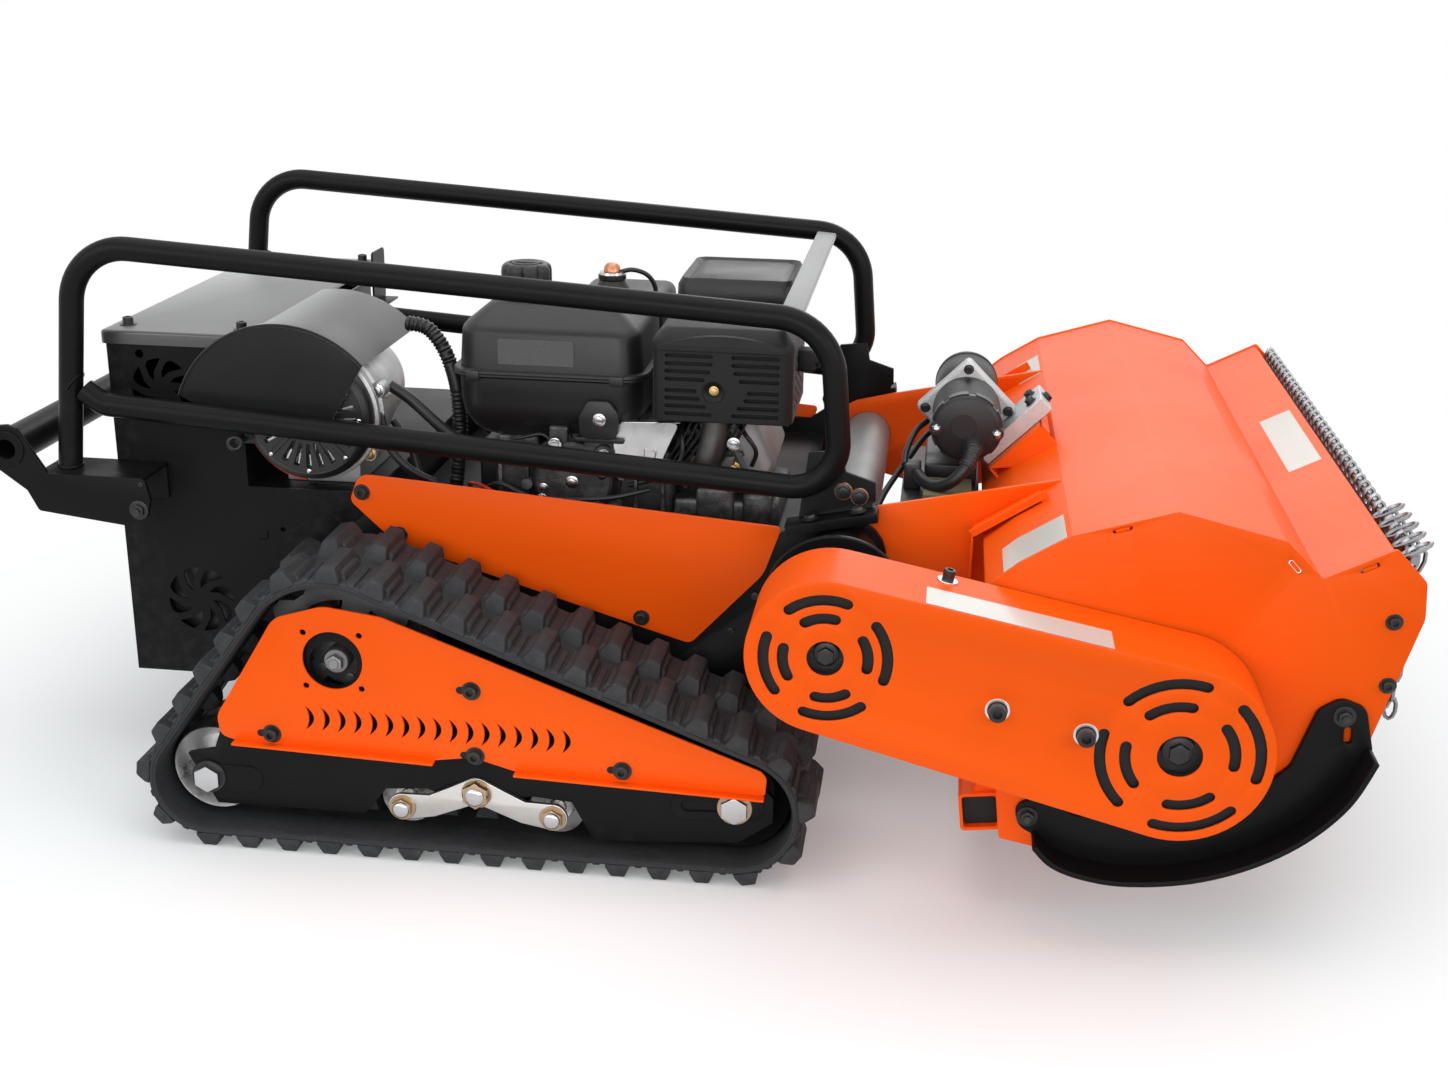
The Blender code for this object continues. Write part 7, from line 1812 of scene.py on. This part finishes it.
def beltDrive():
    s = headSettings
    face = -s["guardFront"]
    outer = stadium(*s["guardRadii"])
    inner = stadium(*[radius - s["sheet"] for radius in s["guardRadii"]])
    rotorPlace = (s["rotorX"], s["rotorZ"])
    slots = []
    for centre, turn, rings in (((pivotX, pivotZ), 9, ((0.067, 28), (0.046, 21))),
            (rotorPlace, 15, ((0.084, 29.5), (0.0575, 23)))):
        for radius, half in rings:
            slots += [arcSlot(centre, radius, turn + 90 * i - half, turn + 90 * i + half, 0.012, 10)
                for i in range(4)]
    holes = slots + [circle((pivotX, pivotZ), 0.02, 40), circle(rotorPlace, 0.024, 40)]
    bm = bmesh.new()
    plate(bm, outer, face, face + s["sheet"], holes=holes, ease=0.0007, segments=2)
    plate(bm, stadium(*[radius - 0.0001 for radius in s["guardRadii"]]), face + s["sheet"] - 0.0006,
        -s["guardBack"], holes=[inner], ease=0.0006)
    for spot in ((0.372, 0.312), (0.452, 0.29)):
        rod(bm, 0.012, 0, 0.1185, (spot[0], face + 0.001, spot[1]), steps=32)
    makePiece("drive_guard", bm, "orangePaint", "head", "belt_guard", sharp=40)
    shadeSheet = bmesh.new()      # painted shade: a dark sheet close behind the slots, for the guard's unlit inside
    plate(shadeSheet, stadium(*[radius - s["sheet"] - 0.0004 for radius in s["guardRadii"]]), face + 0.006, face
        + 0.0072, holes=[circle((pivotX, pivotZ), 0.0195, 32), circle(rotorPlace, 0.0235, 32)], ease=0)
    makePiece("guard_shade_sheet", shadeSheet, "sootAndShadeBlack", "head")
    bolts, washers = tray("head", "blackBolt"), tray("head", "zinc")
    for x, z in ((0.356, 0.3115), (0.451, 0.2895)):
        washer(washers, (x, face, z), outward, 0.0135, 0, 0.0014)
        socketHead(bolts, (x, face - 0.0012, z), outward, 0.0098, 0.0105, 0.011)
    flank = Vector(outer[30]).lerp(Vector(outer[31]), (0.296 - outer[30][0]) / (outer[31][0] - outer[30][0]))
    up = Vector((-(outer[31][1] - outer[30][1]), outer[31][0] - outer[30][0])).normalized()
    direction = (up.x, 0, up.y)
    washer(washers, (flank.x, -0.532, flank.y), direction, 0.012, 0, 0.0016)
    socketHead(bolts, (flank.x + up.x * 0.0014, -0.532, flank.y + up.y * 0.0014), direction, 0.0068, 0.012)

    def grooved(radius, bore):
        middle, half, mouth = -s["pulleyMiddle"], 0.018, 0.012
        floor = radius - 0.012
        return [(bore, middle - half), (radius - 0.001, middle - half), (radius, middle - half + 0.001),
            (radius, middle - mouth), (floor, middle - mouth + 0.005), (floor, middle + mouth - 0.005),
            (radius, middle + mouth), (radius, middle + half), (bore, middle + half)]
    end = face + 0.0125
    jack = bmesh.new()
    lathe(jack, [(0, end), (0.0128, end), (0.0138, end + 0.001)] + grooved(s["pulleyRadii"][0], 0.0138)
        + [(0.0138, -0.16), (0, -0.16)], (pivotX, 0, pivotZ), steps=64)
    makePiece("jackshaft_with_pulley", jack, "castIron", "jackshaft", "jackshaft_pulley")
    hexHead(tray("jackshaft", "blackBolt"), (pivotX, end, pivotZ), outward, 0.01, 0.0075, 0.0135)
    rotorWheel = bmesh.new()
    lathe(rotorWheel, grooved(s["pulleyRadii"][1], 0.018), (rotorPlace[0], 0, rotorPlace[1]), steps=64)
    makePiece("driven_pulley", rotorWheel, "castIron", "rotor", "rotor_pulley")
    hexHead(tray("rotor", "blackBolt"), (rotorPlace[0], end, rotorPlace[1]), outward, 0.012, 0.0085, 0.016)
    belt = bmesh.new()
    deep = 0.012 - 0.0014
    plate(belt, stadium(s["pulleyRadii"][0] - deep + 0.0095, s["pulleyRadii"][1] - deep + 0.0095),
        -s["pulleyMiddle"] - 0.0053, -s["pulleyMiddle"] + 0.0053, holes=[stadium(s["pulleyRadii"][0] - deep,
        s["pulleyRadii"][1] - deep)], ease=0.0008)
    makePiece("v_belt", belt, "rubber", "head", "drive_belt")


def hammerRotor():
    s = headSettings
    reach = s["half"] - s["side"] - 0.014
    x, z = s["rotorX"], s["rotorZ"]
    bm = bmesh.new()
    end = -s["guardFront"] + 0.0125
    lathe(bm, [(0, end), (0.0165, end), (0.0175, end + 0.001), (0.0175, -reach), (0.042, -reach),
        (0.045, -reach + 0.003), (0.045, reach - 0.003), (0.042, reach), (0.0175, reach),
        (0.0175, s["half"] + 0.005), (0.0165, s["half"] + 0.006), (0, s["half"] + 0.006)], (x, 0, z), steps=48)
    spacing = 2 * (reach - 0.04) / 5
    for row in range(4):
        a = radians(45 + 90 * row)
        out, side = Vector((cos(a), sin(a))), Vector((-sin(a), cos(a)))
        centre = Vector((x, z))

        def local(points):
            return [tuple(centre + out * r + side * t) for r, t in points]
        for i in range(6 - row % 2):
            y = -reach + 0.04 + spacing * (i + 0.5 * (row % 2))
            for offset in (-0.0155, 0.0155):      # the pair of lugs that hold a hammer
                plate(bm, roundCorners(local([(0.04, -0.02), (0.086, -0.011), (0.086, 0.011), (0.04, 0.02)]),
                    [0, 0.01, 0.01, 0], 4), y + offset - 0.003, y + offset + 0.003, ease=0.0006)
            plate(bm, roundCorners(local([(0.06, -0.013), (0.112, -0.014), (0.128, -0.02), (0.164, -0.02),
                (0.167, 0.02), (0.128, 0.019), (0.112, 0.013), (0.06, 0.013)]), [0.012, 0.01, 0.01, 0.002,
                0.001, 0.01, 0.01, 0.012], 3), y - 0.011, y + 0.011, ease=0.0012)
            pin = centre + out * 0.074
            rod(bm, 0.0058, -0.0215, 0.0215, (pin.x, y, pin.y), steps=12)
    makePiece("hammer_rotor", bm, "castIron", "rotor", "flail_rotor")


def skids():
    s = headSettings
    near = s["half"] + 0.0003
    runner = [(0.409, 0.108), (0.432, 0.086), (0.47, 0.073), (0.52, 0.069), (0.59, 0.079), (0.655, 0.104),
        (0.71, 0.141), (0.752, 0.189), (0.776, 0.243)]
    fine = smoothRoute(runner, 6)
    top = roundCorners([(0.776, 0.243), (0.764, 0.292), (0.736, 0.302), (0.712, 0.286), (0.69, 0.215),
        (0.64, 0.165), (0.56, 0.13), (0.46, 0.134), (0.412, 0.154), (0.388, 0.142), (0.394, 0.116),
        (0.409, 0.108)], [0, 0.016, 0.018, 0.02, 0.02, 0.02, 0.02, 0.02, 0.014, 0.014, 0.02, 0], 5,
        closed=False)[1:-1]
    web = fine + top
    bm = bmesh.new()
    plate(bm, web, -near - 0.008, -near, holes=[straightSlot((0.747, 0.264), (0.748, 0.252), 0.0085),
        circle((0.404, 0.13), 0.005, 16), circle((0.741, 0.281), 0.005, 16)], ease=0.0012, segments=2)
    plate(bm, ribbon(fine, -0.007), -near - 0.048, -near - 0.001, ease=0.0018, segments=2)
    makePair("skid_shoe", bm, "blackPaint", "head", "skid", sharp=45)
    bolts = bmesh.new()
    for x, z in ((0.741, 0.281), (0.404, 0.13)):
        washer(bolts, (x, -near - 0.008, z), outward, 0.0125, 0, 0.0018)
        hexHead(bolts, (x, -near - 0.0095, z), outward, 0.0085, 0.006)
        rod(bolts, 0.0045, 0, 0.009, (x, -near - 0.0095, z), outward, 14)
    makePair("skid_bolts", bolts, "blackBolt", "head")


chainSettings = dict(x=0.7945, rodZ=0.463, bottom=0.257, rod=0.005, strands=36, pitch=0.022, wire=0.0025,
    length=0.0135, width=0.0066, looseSize=1.35, looseCount=5, looseSpacing=0.034)


def chainCurtain():
    s, c = headSettings, chainSettings
    x, z, pitch = c["x"], c["rodZ"], c["pitch"]
    reach = s["half"] - s["side"] - 0.0008
    bm = bmesh.new()
    rod(bm, c["rod"], -reach, reach, (x, 0, z), steps=16)
    wire, length, width = c["wire"], c["length"], c["width"]

    def link(centre, sideways, tilt=0.0, size=1.0):
        # one oval link: ten stations of a small ring swept round the oval
        part = bmesh.new()
        rings = []
        for k in range(10):
            a = tau * k / 10
            along, out = size * length * cos(a), size * width * sin(a)
            heading = Vector((0, -length * sin(a), width * cos(a))).normalized()
            normal = Vector((0, -heading.z, heading.y))
            middle = Vector((0, along, out))
            rings.append([part.verts.new(middle + (normal * cos(b)
                + Vector((1, 0, 0)) * sin(b)) * wire) for b in (tau * i / 5 for i in range(5))])
        for ring, following in zip(rings, rings[1:] + rings[:1]):
            for i in range(5):
                part.faces.new((ring[i - 1], ring[i], following[i], following[i - 1]))
        bmesh.ops.recalc_face_normals(part, faces=part.faces[:])
        turn = Matrix.Rotation(radians(90 if sideways else 0), 3, "Z") @ Matrix.Rotation(radians(90),
            3, "X")
        bmesh.ops.rotate(part, verts=part.verts, cent=(0, 0, 0), matrix=Matrix.Rotation(radians(tilt), 3,
            "Y") @ turn)
        bmesh.ops.translate(part, verts=part.verts, vec=centre)
        addTo(bm, part)
    for n in range(c["strands"]):
        y = -reach + 0.014 + (2 * reach - 0.028) * n / (c["strands"] - 1)
        count = int((z - c["bottom"]) / pitch)
        for k in range(count):
            link((x, y, z - 0.003 - pitch * k), k % 2 == 0)
    for n in range(c["looseCount"]):       # slack loops hooked over the rod, standing out in front
        y = -reach + 0.012 + c["looseSpacing"] * n
        for k, (dx, dz, tilt) in enumerate(((0.002, 0.008, 60), (0.006, -0.01, 20), (0.003, -0.032, -25))):
            link((x + dx, y + 0.011 * (k % 2), z + dz), k % 2 == 1, tilt, c["looseSize"])
    makePiece("hanging_chains", bm, "chainSteel", "head", "chain_curtain", sharp=60)


liftMotor = dict(x=0.313, z=0.494, radius=0.045, near=-0.164, joint=-0.046)


def liftMotorPieces():
    m = liftMotor
    x, z, radius = m["x"], m["z"], m["radius"]
    can = bmesh.new()
    lathe(can, [(0, -0.15), (radius - 0.0015, -0.15), (radius - 0.0005, -0.149), (radius - 0.0005,
        m["joint"] - 0.01), (0, m["joint"] - 0.01)], (x, 0, z), steps=64)
    lathe(can, [(0, -0.036), (0.0415, -0.036), (0.0425, -0.034), (0.0425, 0.094), (0.0395, 0.1), (0.034, 0.103),
        (0, 0.103)], (x, 0, z), steps=64)
    lathe(can, [(0.0425, 0.082), (0.0433, 0.083), (0.0433, 0.086), (0.0425, 0.087)], (x, 0, z), steps=64)
    makePiece("motor_cans", can, "blackPaint", "head", "lift_motor")

    cap = bmesh.new()
    rim = radius + 0.0008
    notches = 8
    outline = []
    for i in range(notches):     # a castellated rim that laps the can
        a = 360 / notches * i
        outline += arc((x, z), rim, a, a + 360 / notches * 0.72, 6) + arc((x, z), rim - 0.002,
            a + 360 / notches * 0.74, a + 360 / notches * 0.98, 3)
    plate(cap, outline, -0.16, -0.146, ease=0.0005)
    lathe(cap, [(0, m["near"]), (radius - 0.0075, m["near"]), (radius - 0.004, m["near"] + 0.0012),
        (radius - 0.0012, m["near"] + 0.0045), (radius - 0.0008, -0.15), (0, -0.15)], (x, 0, z), steps=64)
    lathe(cap, [(0, m["near"] - 0.0006), (0.016, m["near"] - 0.0006), (0.0175, m["near"] + 0.001),
        (0, m["near"] + 0.001)], (x - 0.004, 0, z + 0.004), steps=40)
    for i in (0, 1):
        a = radians(-6 + 186 * i)
        lathe(cap, [(0, m["near"] - 0.001), (0.0085, m["near"] - 0.001), (0.0095, m["near"] + 0.002),
            (0.0095, -0.148), (0, -0.148)], onRing(x, z, 0.0385, a, 0), steps=24)
    makePiece("motor_cap", cap, "mouldedBlack", "head")
    nuts = tray("head", "brightSteel")
    for i in (0, 1):
        a = radians(-6 + 186 * i)
        domeNut(nuts, onRing(x, z, 0.0385, a, m["near"] - 0.0005), outward, 0.0062, 0.0085)

    flange = bmesh.new()
    diamond = roundCorners(circle((x, z), 0.0675, 4), 0.006, 5)
    plate(flange, diamond, -0.0575, -0.0405, ease=0.0012, segments=2)
    plate(flange, roundCorners(circle((x, z), 0.064, 4), 0.006, 5), -0.0635, -0.057, ease=0.001)
    start, along, lift = motorSeat()
    start = start + lift * 0.0004
    clamp = [start, start + along * 0.11, start + along * 0.11 + lift * 0.0215, start + lift * 0.0215]
    plate(flange, roundCorners([tuple(corner) for corner in clamp], 0.0015, 3), -0.104, -0.03, ease=0.0008)
    makePiece("motor_flange", flange, "castAluminium", "head")
    bolts = tray("head", "blackBolt")
    for i in range(4):
        a = radians(90 * i)
        socketHead(bolts, onRing(x, z, 0.0545, a, -0.0635), outward, 0.0052, 0.0055, 0.0066)
    for share, y in ((0.094, -0.084), (0.094, -0.048), (0.016, -0.084)):
        spot = start + along * share + lift * 0.0215
        socketHead(bolts, (spot.x, y, spot.y), (lift.x, 0, lift.y), 0.0062, 0.006, 0.008)
    spot = start + along * 0.11 + lift * 0.01
    hexHead(bolts, (spot.x, -0.066, spot.y), (along.x, 0, along.y), 0.007, 0.006, 0.0085)

    cable = bmesh.new()
    points = [(0.322, -0.1645, 0.472), (0.322, -0.18, 0.47), (0.316, -0.196, 0.456), (0.3, -0.2, 0.436),
        (0.28, -0.19, 0.424), (0.262, -0.17, 0.424), (0.25, -0.14, 0.43)]
    route = smoothRoute(points, 8)
    bar(cable, route, 0.0078, 20)
    lathe(cable, [(0, 0), (0.0145, 0), (0.0145, 0.004), (0.0125, 0.006), (0.012, 0.01), (0.0098, 0.014),
        (0, 0.014)], (0.322, -0.164, 0.472), outward, 32)
    ribbedHose(cable, evenRoute([route[4], route[7], route[10], route[14], route[17]], 0.001), 0.0108, 0.0014,
        0.004, 20)
    makePiece("motor_lead", cable, "mouldedBlack", "head", "motor_cable", sharp=50)

    box = bmesh.new()
    brick(box, (0.234, 0.334), (-0.215, 0.06), (0.401, 0.405), 0.0008)
    brick(box, (0.262, 0.33), (-0.12, 0.04), (0.4052, 0.433), 0.003, 3)
    brick(box, (0.236, 0.258), (-0.15, -0.12), (0.4052, 0.439), 0.003, 3)
    for lead in ([(0.285, -0.02, 0.462), (0.262, -0.04, 0.45), (0.24, -0.09, 0.43), (0.215, -0.15, 0.405),
            (0.205, -0.19, 0.392)], [(0.274, -0.04, 0.478), (0.25, -0.07, 0.466), (0.238, -0.11, 0.448),
            (0.236, -0.14, 0.436)]):
        bar(box, smoothRoute(lead, 8), 0.0042, 12)
    makePiece("control_unit", box, "mouldedBlack", "head")
    block = bmesh.new()
    brick(block, (0.262, 0.324), (-0.206, -0.128), (0.4052, 0.418), 0.002, 2)
    makePiece("terminal_block", block, "oliveBlock", "head")


deck()
deckRear()
headLabels()
beltDrive()
hammerRotor()
skids()
chainCurtain()
liftMotorPieces()
print("cutter head")


# nodes that keep their own shape get finished materials
def finishNodes():
    slots = {row["node"]: row["material_slot"] for row in frame["record"]["subparts"]}
    bySlot = {"orange_paint": "orangePaint", "black_paint": "blackPaint", "black_plastic": "mouldedBlack",
        "rubber": "rubber", "zinc_plate": "zinc", "cast_metal": "castIron", "cast_aluminium": "castAluminium"}
    for name, node in frame["nodes"].items():
        node.data.materials.clear()
        node.data.materials.append(materials[bySlot[slots[name]]])


finishNodes()
for (body, finish), bolts in hardware.items():
    makePiece(f"hardware_{body}_{finish}", bolts, finish, body)
print("hardware:", len(hardware))
